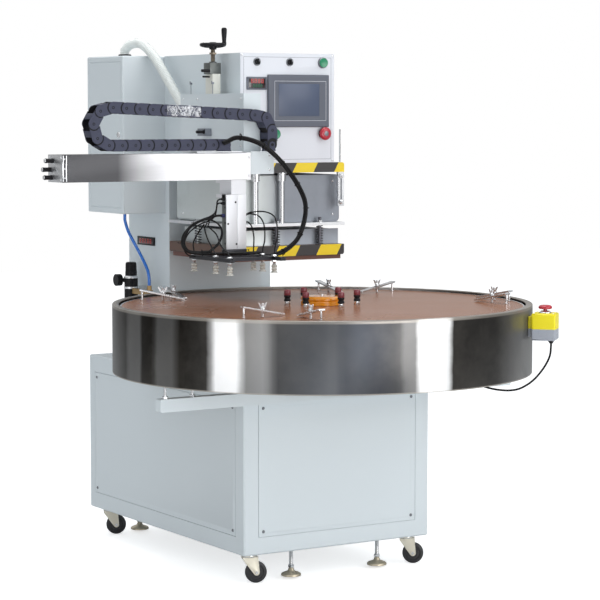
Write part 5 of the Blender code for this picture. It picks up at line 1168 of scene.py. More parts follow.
@dataclass
class Cabinet:
    """The base cabinet with its two screwed panels and the rail in front."""

    panel_x: tuple[float, float] = (0.050, 0.600)
    panel_y: tuple[float, float] = (0.050, 0.960)
    panel_z: tuple[float, float] = (0.053, 0.445)
    screw_inset: float = 0.015
    rail_top: float = 0.482
    studs: tuple[float, ...] = (-0.265, -0.178, 0.061, 0.589, 0.828, 0.915)
    louvre_z: tuple[float, ...] = (0.150, 0.175, 0.200, 0.225, 0.250)

    def corners(self, across: tuple[float, float]) -> list[tuple[float, float]]:
        """The four screw places of a panel, as (across, z)."""
        inset = self.screw_inset
        return [(u, z) for u in (across[0] + inset, across[1] - inset)
                for z in (self.panel_z[0] + inset, self.panel_z[1] - inset)]

    def build(self) -> None:
        """Builds the cabinet, its panels, their screws and the rail."""
        refined("base_cabinet", PAINT, below(ZINC, -0.0005), width=0.0015)
        for node, name, span in (("front_panel", "front_panel_screws", self.panel_x),
                                 ("left_side_panel", "side_panel_screws", self.panel_y)):
            refined(node, PAINT, width=0.0008)
            spots = [Spot((u, -0.0004, z), (0, -1, 0), 0.4 * i) if span is self.panel_x
                     else Spot((-0.0004, u, z), (-1, 0, 0), 0.7 * i) for i,
                     (u, z) in enumerate(self.corners(span))]
            scatter(name, screw_pattern(), spots, RING, node, 1.35)
        refined("front_support_arm", PAINT, above(ZINC, self.rail_top + 0.0003), width=0.0008)
        scatter("rail_nuts", hex_pattern(), [Spot((x, -0.015, self.rail_top), (0, 0, 1),
                                                  x * 9) for x in self.studs],
                ZINC, "front_support_arm", 1.12)
        self.build_louvres()

    def build_louvres(self) -> None:
        """Adds pressed louvres low on the right side."""
        shape = bmesh.new()
        lip = ((-0.008, 0.0), (0.002, 0.0), (0.0015, 0.0035), (-0.001, 0.0045), (-0.006, 0.002))
        for z in self.louvre_z:
            for y in (0.30, 0.62):
                prism(shape, [(0.6499 + out, z + up) for up, out in lip], y - 0.06, 0.12, Axis.Y)
        piece("side_louvres", shape, PAINT, "base_cabinet")


@dataclass
class Drum:
    """The guard drum: a skirt with rolled rims, a floor and spacers."""

    x: float = DRUM_CENTRE[0]
    y: float = DRUM_CENTRE[1]
    radius: float = 0.625
    low: float = 0.518
    high: float = 0.721
    wall: float = 0.003
    lip: float = 0.020
    hole: float = 0.145
    steps: int = 256

    def build(self) -> None:
        """Builds the shell in place of the CAD's, and its spacers."""
        r, w, roll = self.radius, self.wall, 0.002
        fillet = [(r - roll + roll * math.sin(a), self.high - roll + roll * math.cos(a)) for a in (0, 0.5,
                                                                                                   1.05, TAU / 4)]
        under = [(r - roll + roll * math.cos(a), self.low + roll - roll * math.sin(a)) for a in (0, 0.5, 1.05,
                                                                                                 TAU / 4)]
        profile = [
            (r - self.lip + 0.0008, self.high - w), (r - self.lip, self.high - w + 0.0008),
            (r - self.lip, self.high - 0.0008),
            (r - self.lip + 0.0008, self.high), *fillet, *under, (self.hole, self.low),
            (self.hole, self.low + w),
            (r - w, self.low + w), (r - w, self.high - w), (r - self.lip + 0.0008, self.high - w)]
        shape = bmesh.new()
        lathe(shape, profile, self.steps, (self.x, self.y, 0))
        for x in (-0.220, 0.220):
            for y in (-0.055, 0.250):
                lathe(shape, [(0, 0.5003), (0.0132, 0.5003), (0.014, 0.501), (0.014, 0.5185), (0, 0.5185)],
                      24,
                      (self.x + x, self.y + y, 0))
        piece("drum_skirt", shape, DRUM, "drum_shell", "drum_shell", sharp=50)


@dataclass
class Turntable:
    """The laminate table on its drive, with the hub, the valves round it and the wing nuts."""

    x: float = DRUM_CENTRE[0]
    y: float = DRUM_CENTRE[1]
    radius: float = 0.602
    top: float = 0.714
    thickness: float = 0.010
    flange: float = 0.090
    knob_ring: float = 0.104
    knobs: int = 6
    hub_radius: float = 0.064
    hub_height: float = 0.025
    nut_height: float = 0.02275
    studs: list[tuple[float, float, float]] = field(default_factory=list)

    def build(self) -> None:
        """Builds the table in place of the CAD's, the hub, the valves and the wing nuts."""
        refined("index_drive", PAINT, width=0.002)
        self.build_disc()
        self.build_hub()
        self.build_valves()
        self.build_wing_nuts()

    def build_disc(self) -> None:
        """The disc, its edging strip and the flange and shaft below."""
        under = self.top - self.thickness
        shape = bmesh.new()
        edge = self.radius - 0.005
        lathe(shape, [(0, self.top), (0.30, self.top), (edge - 0.0006, self.top), (edge, self.top - 0.0006),
                      (edge, under), (self.flange, under), (0, under)], 192, (self.x, self.y, 0))
        piece("table_top", shape, LAMINATE, "turntable_disc", "turntable_disc")
        solid("table_edging", ALUMINIUM, ("turntable_disc",),
              lathe, [(edge, self.top - 0.0004), (edge + 0.0006, self.top), (self.radius - 0.0010, self.top),
                      (self.radius, self.top - 0.0010), (self.radius, under + 0.0006), (edge, under + 0.0006),
                      (edge, self.top - 0.0004)], 192, (self.x, self.y, 0))
        solid("table_flange", ZINC, ("turntable_disc",), lathe,
              [(0, under), (self.flange, under), (self.flange, under - 0.016), (0.030, under - 0.016),
               (0.030, under - 0.130), (0, under - 0.130)], 48, (self.x, self.y, 0))

    def build_hub(self) -> None:
        """The amber distributor with its groove, centre screw and six elbow sockets."""
        r, h, low = self.hub_radius, self.hub_height, self.top + 0.0003
        solid("hub_body", AMBER, ("distributor_hub", "distributor_hub"),
              lathe, [(0, h), (0.022, h), (0.0225, h - 0.0012), (0.0245, h - 0.0012), (0.025, h),
                      (r - 0.004, h), (r - 0.0012, h - 0.0014), (r, h - 0.004), (r, 0.0165),
                      (r - 0.0006, 0.0158), (r - 0.003, 0.0140), (r - 0.003, 0.0130), (r - 0.0006, 0.0112),
                      (r, 0.0105), (r, 0.001), (r - 0.001, 0), (0, 0)], 96, (self.x, self.y, low))
        solid("hub_screw", ZINC, ("distributor_hub",), lathe,
              [(0, 0.0055), (0.0042, 0.0055), (0.0052, 0.0048), (0.0052, 0.0008), (0.0068, 0.0008),
               (0.0068, -0.0004), (0, -0.0004)], 24, (self.x, self.y, low + h))

    def build_valves(self) -> None:
        """Six hand valves on a ring: fitting, black body and coloured cap, each grown from one pattern."""
        def fitting(shape: bmesh.types.BMesh) -> None:
            """A hexagon foot with a stem."""
            lathe(shape, [(0, 0.0062), (0.0078, 0.0062), (0.0088, 0.0054), (0.0088, 0.0006), (0.0082, 0),
                          (0, 0)], 6)
            lathe(shape, [(0, 0.0112), (0.0060, 0.0112), (0.0064, 0.0104), (0.0064, 0.0058), (0, 0.0058)], 24)

        def grip(shape: bmesh.types.BMesh) -> None:
            """A waisted body with flutes."""
            lathe(shape, [(0, 0.0102), (0.0094, 0.0102), (0.0102, 0.0110), (0.0102, 0.0150), (0.0094, 0.0162),
                          (0.0078, 0.0185), (0.0078, 0.0205), (0.0095, 0.0222), (0.0103, 0.0232),
                          (0.0103, 0.0275),
                          (0.0096, 0.0282), (0, 0.0282)], 24)

        def cap(shape: bmesh.types.BMesh) -> None:
            """A domed cap with a flute every 30 degrees."""
            rings = [(0.0092, 0.0281), (0.0100, 0.0290), (0.0100, 0.0400), (0.0088, 0.0428), (0.0060, 0.0446),
                     (0.0, 0.0449)]
            lathe(shape, [(0, 0.0281), *rings], 24)
            for vert in shape.verts:
                reach = math.hypot(vert.co.x, vert.co.y)
                step = round(math.atan2(vert.co.y, vert.co.x) / TAU * 24) % 2
                if reach > 0.0098 and step:
                    vert.co.x *= 0.93
                    vert.co.y *= 0.93

        for label, build, finish in (("fitting", fitting, ZINC), ("grip", grip, BLACK), ("cap", cap, MAROON)):
            obj = Growers.of(ring_tree).grow(
                f"valve_{label}s", bpy.data.meshes.new("ring"),
                finish, Template=template(f"pattern_valve_{label}", build),
                Count=self.knobs, Radius=self.knob_ring, Turn=math.pi / self.knobs,
                Centre=placed(self.x, self.y, self.top))
            settle(obj, "turntable_disc")

    def build_wing_nuts(self) -> None:
        """Studs with wing nuts and washers, one over each clamp."""
        low = self.nut_height

        def stud(shape: bmesh.types.BMesh) -> None:
            """A threaded stud: shallow ridges up its length."""
            lathe(shape, [(0, 0.0392), (0.0030, 0.0392), *thread(0.0040, 0.0034, 0.0385, 0.0, 24), (0, 0)],
                  12)

        def nut(shape: bmesh.types.BMesh) -> None:
            """A hub with two wings."""
            lathe(shape, [(0, low + 0.0070), (0.0050, low + 0.0070), (0.0060, low + 0.0060),
                          (0.0078, low + 0.0006),
                          (0.0078, low), (0, low)], 24)
            for side in (-1, 1):
                wing = [(0.0030, 0.0010), (0.0076, 0.0020), (0.0128, 0.0120), (0.0150, 0.0172),
                        (0.0146, 0.0188),
                        (0.0118, 0.0190), (0.0080, 0.0150), (0.0040, 0.0072)]
                prism(shape, [(side * u, low + v) for u, v in wing], -0.0013, 0.0026, Axis.Y, 0.0005)

        spots = [Spot((x, y, self.top), (0, 0, 1), turn) for x, y, turn in self.studs]
        scatter("clamp_studs", template("pattern_stud", stud), spots, ZINC, "turntable_disc")
        scatter("wing_nuts", template("pattern_wing_nut", nut), spots, ZINC, "turntable_disc")


@dataclass
class Clamp:
    """One strap clamp: a slotted strap on a leg, softened and with a washer."""

    name: str
    leg: tuple[float, float]
    tip: tuple[float, float]
    length: float = 0.140

    def middle(self) -> tuple[float, float, float]:
        """The stud's place, and the clamp's heading."""
        run = Vector(self.tip) - Vector(self.leg)
        spot = Vector(self.leg) + run.normalized() * self.length / 2
        return spot.x, spot.y, math.atan2(run.y, run.x)

    def build(self) -> None:
        """Builds the clamp in place of the CAD's."""
        refined(self.name, ZINC, width=0.0009)


CLAMPS = (
    Clamp("clamp_left_front", (-0.066, 0.513), (0.033, 0.429)),
    Clamp("clamp_left_rear", (0.060, 0.600), (0.059, 0.471)),
    Clamp("clamp_front_left", (-0.110, -0.180), (0.044, -0.168)),
    Clamp("clamp_front_right", (0.038, -0.362), (0.053, -0.208)),
    Clamp("clamp_rear_left", (0.599, 0.553), (0.593, 0.398)),
    Clamp("clamp_rear_right", (0.784, 0.391), (0.640, 0.372)),
    Clamp("clamp_right_front", (0.800, -0.195), (0.785, -0.045)),
    Clamp("clamp_right_rear", (0.870, -0.115), (0.849, 0.033)),
)


@dataclass
class PressFrame:
    """The column with its counter, and the head."""

    counter_y: tuple[float, float] = (0.818, 0.936)
    counter_z: tuple[float, float] = (0.858, 0.885)
    left: float = 0.1486

    def build(self) -> None:
        """Builds the frame and the counter on its left side."""
        y0, y1 = self.counter_y
        z0, z1 = self.counter_z
        face = self.left - 0.003
        refined("press_frame", PAINT, Region(BLACK, (0, y0 - 0.001, z0 - 0.001),
                                             (self.left - 0.0004, y1 + 0.001, z1 + 0.001)))
        solid("counter_window", DISPLAY, ("press_frame",), block, (face - 0.0006, y0 + 0.010, z0 + 0.004),
              (face + 0.001, y1 - 0.010, z1 - 0.004), 0.0003)
        digits = Digits("column_counter_digits", 5, (face - 0.0010, y1 - 0.018, z0 + 0.0065),
                        0.0085, 0.014, Axis.X, -0.0175)
        digits.build("press_frame")


@dataclass
class Digits:
    """A row of blank seven-segment digits."""

    name: str
    count: int
    low: tuple[float, float, float]
    width: float
    height: float
    facing: Axis
    step: float
    finish: Finish = DIGIT

    def build(self, node: str) -> None:
        """Builds each digit as a frame with a middle bar, set from the first place on."""
        shape = bmesh.new()
        bar = self.height * 0.11
        half = self.height / 2
        w, sign = self.width, math.copysign(1.0, self.step)
        for i in range(self.count):
            start = i * self.step
            for u0, u1, v0, v1 in (
                (0, w, 0, bar), (0, w, half - bar / 2, half + bar / 2),
                (0, w, self.height - bar, self.height),
                (0, bar, bar * 1.3, half - bar * 0.8), (0, bar, half + bar * 0.8, self.height - bar * 1.3),
                (w - bar, w, bar * 1.3, half - bar * 0.8),
                (w - bar, w, half + bar * 0.8, self.height - bar * 1.3),
            ):
                a, b = sorted((start + sign * u0, start + sign * u1))
                x, y, z = self.low
                if self.facing is Axis.X:
                    block(shape, (x, y + a, z + v0), (x + 0.0006, y + b, z + v1))
                else:
                    block(shape, (x + a, y, z + v0), (x + b, y + 0.0006, z + v1))
        piece(self.name, shape, self.finish, node)


@dataclass
class Generator:
    """The high-frequency generator's cabinet with the conduit's gland and a door lock."""

    gland: tuple[float, float, float] = (0.060, 0.850, 1.463)
    lock: tuple[float, float, float] = (0.0, 0.780, 1.215)

    def build(self) -> None:
        """Builds the cabinet, the gland and the lock."""
        refined("generator_cabinet", PAINT, above(BLACK, self.gland[2] + 0.0003))
        solid("conduit_gland", BLACK, ("generator_cabinet",),
              lathe, [(0, 0.0072), (0.0165, 0.0072), (0.0178, 0.0062), (0.0178, 0.0045), (0.0208, 0.0042),
                      (0.0212, 0.0030), (0.0212, -0.0004), (0, -0.0004)], 12, self.gland)
        shape = bmesh.new()
        lathe(shape, [(0, 0.0035), (0.0060, 0.0035), (0.0068, 0.0028), (0.0092, 0.0022), (0.0098, 0.0012),
                      (0.0098, -0.0005),
                      (0, -0.0005)], 32, self.lock, Axis.X, True)
        block(shape, (-0.0041, self.lock[1] - 0.0045, self.lock[2] - 0.0009),
              (-0.0030, self.lock[1] + 0.0045, self.lock[2] + 0.0009), 0.0003)
        piece("door_lock", shape, ZINC, "generator_cabinet")


@dataclass
class Panel:
    """The control panel: sheet, rings, buttons, selectors, counter and touch screen."""

    front: float = 0.271
    left: float = 0.1486
    width: float = 0.332
    low: float = 1.133
    high: float = 1.463
    selectors: tuple[tuple[str, float, float], ...] = (("selector_left", 0.206, 1.437),
                                                       ("selector_right", 0.321, 1.437))
    buttons: tuple[tuple[str, float, float], ...] = (("start_button", 0.438, 1.436),
                                                     ("reset_button", 0.269, 1.220))
    stop: tuple[float, float] = (0.441, 1.221)
    display: tuple[float, float, float, float] = (0.170, 1.354, 0.068, 0.037)
    screen: tuple[float, float, float, float] = (0.241, 1.241, 0.217, 0.158)

    def build(self) -> None:
        """Builds every part of the panel."""
        y = self.front
        refined("control_panel", PANEL, width=0.0005)
        self.build_screws()
        for name, x, z in self.buttons:
            self.build_button(name, x, z)
        for name, x, z in self.selectors:
            self.build_selector(name, x, z)
        solid("panel_stop_ring", BLACK, ("control_panel",), lathe,
              [(0.0120, 0.0041), (0.0148, 0.0043), (0.0160, 0.0036), (0.0164, -0.0002), (0.0120, -0.0002),
               (0.0120, 0.0041)], 48, (self.stop[0], y, self.stop[1]), Axis.Y, True)
        Mushroom("panel_stop_button", (self.stop[0], y, self.stop[1]), Axis.Y, 0.0112).build()
        self.build_display()
        self.build_screen()

    def build_screws(self) -> None:
        """The four corner screws, and a fold line round the sheet's face."""
        inset = 0.006
        spots = [Spot((x, self.front - 0.0002, z), (0, -1, 0), 0.5 * i)
                 for i, (x, z) in enumerate((x, z) for x in (self.left + inset,
                                                             self.left + self.width - inset)
                                            for z in (self.low + inset, self.high - inset))]
        scatter("panel_screws", screw_pattern(), spots, ZINC, "control_panel", 0.95)
        shape = bmesh.new()
        line = 0.0008
        x0, x1, z0, z1 = self.left + 0.011, self.left + self.width - 0.011, self.low + 0.011, self.high - 0.012
        for a, b, c, d in ((x0, x1, z1, z1 + line), (x0, x1, z0 - line, z0), (x0, x0 + line, z0, z1),
                           (x1 - line, x1, z0, z1)):
            block(shape, (a, self.front - 0.0002, c), (b, self.front + 0.0005, d))
        piece("panel_border_line", shape, BEZEL, "control_panel")

    def build_button(self, name: str, x: float, z: float) -> None:
        """A flush push button: a chromed ring with a coloured, slightly dished cap."""
        solid(f"{name}_ring", RING, ("control_panel",), lathe,
              [(0.0146, 0.0074), (0.0152, 0.0074), (0.0160, 0.0064), (0.0165, 0.0040), (0.0165, -0.0002),
               (0.0146, -0.0002), (0.0146, 0.0074)], 48, (x, self.front, z), Axis.Y, True)
        solid(f"{name}_cap", GREEN, (name, name), lathe, [(0, 0.0103), (0.0100, 0.0104), (0.0130, 0.0110),
                                                          (0.0140, 0.0105), (0.0143, 0.0096),
                                                          (0.0143, 0.0042), (0.0116, 0.0042),
                                                          (0.0116, 0.0004), (0, 0.0004)],
              48, (x, self.front, z), Axis.Y, True)

    def build_selector(self, name: str, x: float, z: float) -> None:
        """A short-handled selector: a ring, a dial, a grip and its pointer line."""
        solid(f"{name}_ring", RING, ("control_panel",), lathe,
              [(0.0091, 0.0022), (0.0118, 0.0022), (0.0126, 0.0014), (0.0126, -0.0002), (0.0091, -0.0002),
               (0.0091, 0.0022)], 40, (x, self.front, z), Axis.Y, True)
        y = self.front
        shape = bmesh.new()
        lathe(shape, [(0, 0.0075), (0.0070, 0.0075), (0.0086, 0.0065), (0.0090, 0.0050), (0.0090, 0.0004),
                      (0, 0.0004)],
              40, (x, y, z), Axis.Y, True)
        block(shape, (x - 0.0025, y - 0.0158, z - 0.0084), (x + 0.0025, y - 0.0060, z + 0.0084), 0.0014, 3)
        piece(f"{name}_dial", shape, BLACK, name, name)
        solid(f"{name}_pointer", PANEL, (name,), block, (x - 0.0005, y - 0.01605, z + 0.0010),
              (x + 0.0005, y - 0.0150, z + 0.0078), 0.0002)

    def build_display(self) -> None:
        """The timer: a black frame, a dark window and two rows of digits."""
        x, z, w, h = self.display
        y = self.front
        solid("timer_frame", BEZEL, ("control_panel",), block, (x - 0.0008, y - 0.0042, z - 0.0008),
              (x + w + 0.0008, y + 0.0005, z + h + 0.0008), 0.0014)
        solid("timer_window", DISPLAY, ("control_panel",), block, (x + 0.005, y - 0.0046, z + 0.004),
              (x + w - 0.005, y - 0.0040, z + h - 0.004), 0.0002)
        Digits("timer_digits", 4, (x + 0.013, y - 0.0051, z + 0.0195),
               0.0075, 0.012, Axis.Y, 0.0118).build("control_panel")
        Digits("timer_lower_digits", 4, (x + 0.020, y - 0.0051, z + 0.0065),
               0.0055, 0.009, Axis.Y, 0.0085, GREEN_DIGIT).build("control_panel")

    def build_screen(self) -> None:
        """The touch screen: a bezel with a raised frame line and recessed blank glass."""
        x, z, w, h = self.screen
        y = self.front - 0.009
        refined("touch_screen", BEZEL, width=0.0016)
        solid("screen_glass", GLASS, ("touch_screen",), block, (x + 0.0362, y + 0.0001, z + 0.0332),
              (x + w - 0.0362, y + 0.0012, z + h - 0.0272), 0.0002)
        shape = bmesh.new()
        line = 0.0009
        a, b, c, d = x + 0.0215, x + w - 0.0120, z + 0.0190, z + h - 0.0190
        for u0, u1, v0, v1 in ((a, b, d - line, d), (a, b, c, c + line), (a, a + line, c, d),
                               (b - line, b, c, d)):
            block(shape, (u0, y - 0.0001, v0), (u1, y + 0.0006, v1))
        piece("screen_frame_line", shape, PANEL, "touch_screen")


@dataclass
class Mushroom:
    """A red mushroom stop button in place of its CAD node."""

    node: str
    at: tuple[float, float, float]
    axis: Axis
    stem: float
    radius: float = 0.020
    stand: float = 0.0085
    depth: float = 0.012
    reach: float = 0.012

    def build(self) -> None:
        """Turns the cap, with its stem and a dished ring on its face."""
        s, r, d = self.stand, self.radius, self.depth
        solid(f"{self.node}_cap", RED, (self.node, self.node),
              lathe, [(0, s + d - 0.0010), (r * 0.38, s + d - 0.0008), (r * 0.42, s + d - 0.0002),
                      (r * 0.70, s + d - 0.0004), (r * 0.88, s + d - 0.0024), (r * 0.97, s + d - 0.0048),
                      (r, s + d - 0.0072), (r * 0.98, s + 0.0022), (r * 0.90, s + 0.0008), (r * 0.74, s),
                      (self.stem, s), (self.stem, s + 0.0002 - self.reach), (0, s + 0.0002 - self.reach)],
              64, self.at, self.axis, self.axis is Axis.Y)
        if self.axis is Axis.Y:
            shape = bmesh.new()
            high = s + d - 0.0002
            lathe(shape, [(0, high), (r * 0.30, high), (r * 0.36, high - 0.0002), (r * 0.40, high - 0.0008),
                          (0, high - 0.0008)],
                  40, self.at, self.axis, True)
            piece(f"{self.node}_middle", shape, RING, self.node)


@dataclass
class Press:
    """The fixed plate, the ram with its housing, rods and mid plate, the springs and the platen."""

    front: float = 0.271
    left: float = 0.132
    width: float = 0.386
    head_bottom: float = 1.133
    plate: float = 0.030
    mid_top: float = 0.949
    mid_bottom: float = 0.940
    platen_low: float = 0.849
    platen_top: float = 0.881
    housing: tuple[float, float, float, float] = (0.140, 0.522, 0.306, 1.095)
    springs: tuple[tuple[str, float, float], ...] = (
        ("spring_front_left", 0.285, 0.290), ("spring_front_right", 0.441, 0.290),
        ("spring_left", 0.152, 0.540), ("spring_right", 0.504, 0.540))

    def build(self) -> None:
        """Builds the press from the top down."""
        plate_low = self.head_bottom - self.plate
        refined("upper_press_plate", HAZARD_UPPER, below(ZINC, plate_low - 0.0004),
                above(ZINC, self.head_bottom + 0.0004), width=0.0010)
        # The housing's finish holds a painted reflection, pale on its left part and darker to the right; the
        # platen's upstand below takes it too.
        refined("coupler_housing", HOUSING, above(ZINC, self.housing[3] + 0.0004))
        refined("mid_plate", ALUMINIUM, above(POLISHED, self.mid_top + 0.0004), width=0.0008)
        refined("lower_platen", HAZARD, below(SHEET, self.platen_low - 0.0004),
                above(SPRING, self.platen_top + 0.0004),
                Region(HOUSING, low=(0.1335, 0.3025, self.platen_top + 0.0001),
                       high=(0.5165, 0.6560, 0.9285)),
                width=0.0010)
        self.build_guide()
        self.build_fixings()
        self.build_springs()

    def build_guide(self) -> None:
        """Bolts on the guide strip, collars under the plate and a slotted scale behind them."""
        x = self.left + self.width - 0.011
        y, low = self.front, self.head_bottom - self.plate
        scatter("guide_bolts", hex_pattern(), [Spot((x, y - 0.0012, low - 0.093), (0, -1, 0), 0.3),
                                               Spot((x, y - 0.0012, low - 0.012), (0, -1, 0), 0.8)],
                ZINC, "upper_press_plate", 0.82)
        shape = bmesh.new()
        for rod_x in (0.212, 0.304):
            lathe(shape, [(0.0092, -0.0262), (0.0118, -0.0262), (0.0128, -0.0252), (0.0128, -0.0040),
                          (0.0150, -0.0036),
                          (0.0150, 0.0004), (0.0092, 0.0004), (0.0092, -0.0262)], 32, (rod_x, 0.290, low))
        piece("rod_bushings", shape, ZINC, "upper_press_plate")

    def build_fixings(self) -> None:
        """Screws on the housing and nuts on the spring studs."""
        x0, x1, y, top = self.housing
        spots = [Spot((x, y - 0.0001, z), (0, -1, 0), x * 31) for x in (x0 + 0.024,
                                                                        x1 - 0.024) for z in (0.972,
                                                                                              top - 0.020)]
        spots += [Spot((x1 + 0.0001, yy, z), (1, 0, 0), yy * 17) for yy in (y + 0.040,
                                                                            y + 0.310) for z in (0.972,
                                                                                                 top - 0.020)]
        spots += [Spot((x0 - 0.0001, yy, z), (-1, 0, 0), yy * 13) for yy in (y + 0.040,
                                                                             y + 0.310) for z in (0.972,
                                                                                                  top - 0.020)]
        scatter("housing_screws", screw_pattern(), spots, ZINC, "coupler_housing", 1.1)
        scatter("spring_nuts", hex_pattern(), [Spot((x, y, self.mid_top + 0.0003), (0, 0, 1),
                                                    x * 7) for _, x, y in self.springs],
                ZINC, "lower_platen", 1.08)

    def build_springs(self) -> None:
        """A wound spring for each CAD spring, from the platen's top to just under the mid plate, riding on that
        spring's body.
        """
        height = self.mid_bottom - self.platen_top - 0.0036
        for name, x, y in self.springs:
            base = placed(x, y, self.platen_top + 0.0018)
            obj = Growers.of(coil_tree).grow(
                f"{name}_wire", bpy.data.meshes.new("coil"), SPRING, Points_per_turn=24, Turns=7.0,
                Radius=0.0100,
                Height=height, Wire=0.0015, Base=base)
            settle(obj, name, name)
            placed(x, y, self.mid_bottom)
            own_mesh(obj)


@dataclass
class Arm:
    """The lift bracket with its post and handwheel, the beam, and what is bolted to them."""

    post: tuple[float, float] = (0.109, 0.3675)
    block_top: float = 1.434
    wheel_z: float = 1.488
    grip_top: float = 1.540
    beam_x: tuple[float, float] = (-0.523, 0.084)
    beam_y: tuple[float, float] = (0.100, 0.190)
    beam_z: tuple[float, float] = (1.090, 1.167)

    def build(self) -> None:
        """Builds the bracket, post, handwheel and beam."""
        refined("arm_bracket", PAINT, Region(GALVANISED, low=(-FAR, 0.340, 1.210),
                                             high=(0.0899, 0.400, 1.240)),
                Region(BLACK, low=(-FAR, 0.340, 1.222), high=(0.0699, 0.360, 1.236)), width=0.0010)
        self.build_post()
        # The beam's finish holds a painted reflection, dark towards its left end.
        refined("beam", BEAM_STEEL, Region(BLACK, high=(-0.5232, FAR, FAR)),
                Region(ALUMINIUM, high=(-0.5101, FAR, FAR)), width=0.0010)
        self.build_handwheel()
        self.build_fixings()
        self.build_sensors()

    def build_post(self) -> None:
        """The cream post with its dark nut block, two plungers, its nuts, and the switch rods beside it."""
        x, y = self.post
        low, top = self.block_top - 0.034, self.block_top
        solid("post_body", CREAM, ("adjust_post", "adjust_post"), block, (x - 0.014, y - 0.0225, 1.180),
              (x + 0.014, y + 0.0225, low + 0.001), 0.0020)
        shape = bmesh.new()
        block(shape, (x - 0.021, y - 0.020, low), (x + 0.017, y + 0.020, top), 0.0015)
        lathe(shape, [(0.0068, 0.0035), (0.0105, 0.0035), (0.0115, 0.0025), (0.0115, -0.0005),
                      (0.0068, -0.0005),
                      (0.0068, 0.0035)], 24, (x, y, top))
        piece("post_nut_block", shape, SLIDE_SIDE, "adjust_post")
        shape = bmesh.new()
        for height, radius, reach in ((low + 0.010, 0.0045, 0.028), (low - 0.008, 0.0028, 0.024)):
            lathe(shape, [(0, 0.0), (radius * 0.7, 0.0), (radius, 0.0012), (radius, reach), (0, reach)], 16,
                  (x - 0.021 - reach + 0.0005, y - 0.0155, height), Axis.X)
        piece("post_plungers", shape, BLACK, "adjust_post")
        spots = [Spot((x + 0.0168, y + 0.004, low + 0.016), (1, 0, 0), 0.4),
                 Spot((x + 0.0138, y + 0.002, low - 0.024), (1, 0, 0), 0.9)]
        scatter("post_nuts", hex_pattern(), spots, ZINC, "adjust_post", 0.85)
        shape = bmesh.new()
        for rod_y in (0.3395, 0.474):
            lathe(shape, [(0, 0.034), (0.0012, 0.034), (0.0012, -0.001), (0, -0.001)],
                  10, (0.0922, rod_y, 1.341))
            block(shape, (0.0892, rod_y - 0.004, 1.3700), (0.0952, rod_y + 0.004, 1.3760), 0.0006)
            block(shape, (0.0892, rod_y + 0.002, 1.3755), (0.0922, rod_y + 0.004, 1.3800), 0.0004)
        piece("switch_rods", shape, GALVANISED, "arm_bracket")

    def build_handwheel(self) -> None:
        """The three-spoke wheel, its grip and the lead screw, in place of the CAD's."""
        x, y = self.post
        z = self.wheel_z
        shape = bmesh.new()
        rim = [(0.0345 + 0.0055 * math.cos(a),
                0.0058 * math.sin(a)) for a in (-TAU * i / 16 for i in range(17))]
        lathe(shape, rim, 64, (x, y, z))
        lathe(shape, [(0, 0.0060), (0.0050, 0.0060), (0.0060, 0.0082), (0.0095, 0.0080), (0.0128, 0.0030),
                      (0.0126, -0.0060),
                      (0.0104, -0.0140), (0, -0.0140)], 32, (x, y, z))
        for i in range(3):
            angle = math.radians(60 + 120 * i)
            along = Vector((math.cos(angle), math.sin(angle), 0))
            route = [Vector((x, y, z - 0.002)) + along * r + Vector((0, 0, dz))
                     for r, dz in ((0.008, 0), (0.017, -0.0015), (0.026, -0.001), (0.0355, 0.002))]
            tube(shape, route, lambda t: 0.0072 - 0.0012 * math.sin(math.pi * t), 14)
        angle = math.radians(-30)
        gx, gy = x + 0.034 * math.cos(angle), y + 0.034 * math.sin(angle)
        h = self.grip_top - z
        lathe(shape, [(0, h - 0.0002), (0.0045, h - 0.0004), (0.0074, h - 0.0024), (0.0084, h - 0.0060),
                      (0.0082, h * 0.68),
                      (0.0068, h * 0.38), (0.0060, h * 0.20), (0.0068, h * 0.13), (0.0068, 0), (0, 0)],
              28, (gx, gy, z))
        piece("handwheel_rim_and_grip", shape, BLACK, "handwheel", "handwheel")
        shape = bmesh.new()
        low = self.block_top - 0.020 - z
        ridges = thread(0.0069, 0.0058, -0.0145, low, 30)
        lathe(shape, [(0, -0.0135), (0.0068, -0.0135), *ridges, (0, low)], 24, (x, y, z))
        lathe(shape, [(0.0070, -0.0230), (0.0115, -0.0230), (0.0120, -0.0235), (0.0120, -0.0285),
                      (0.0115, -0.0290),
                      (0.0070, -0.0290), (0.0070, -0.0230)], 6, (x, y, z))
        piece("lead_screw", shape, OILED, "handwheel")

    def build_fixings(self) -> None:
        """Screws on the bracket's side, the beam's end plates and the foot."""
        x0, x1 = self.beam_x
        y0, y1 = self.beam_y
        z0, z1 = self.beam_z
        spots = [Spot((0.0898, y, z), (-1, 0, 0), y * 11) for y in (0.168, 0.430, 0.520) for z in (1.186,
                                                                                                   1.325)]
        scatter("bracket_screws", screw_pattern(), spots, ZINC, "arm_bracket", 1.0)
        spots = [Spot((x1 - 0.0065, y0 - 0.0003, z), (0, -1, 0), z * 9) for z in (z0 + 0.012, z1 - 0.012)]
        spots += [Spot((0.146, y0 - 0.0003, z), (0, -1, 0), z * 9) for z in (1.118, 1.160)]
        scatter("beam_screws", screw_pattern(), spots, ZINC, "beam", 0.9)
        spots = [Spot((x0 - 0.0002, y, z), (-1, 0, 0), y * 19) for y in (y0 + 0.008,
                                                                         y1 - 0.008) for z in (z0 + 0.008,
                                                                                               z1 - 0.008)]
        scatter("end_plate_screws", screw_pattern(), spots, ZINC, "beam", 0.8)

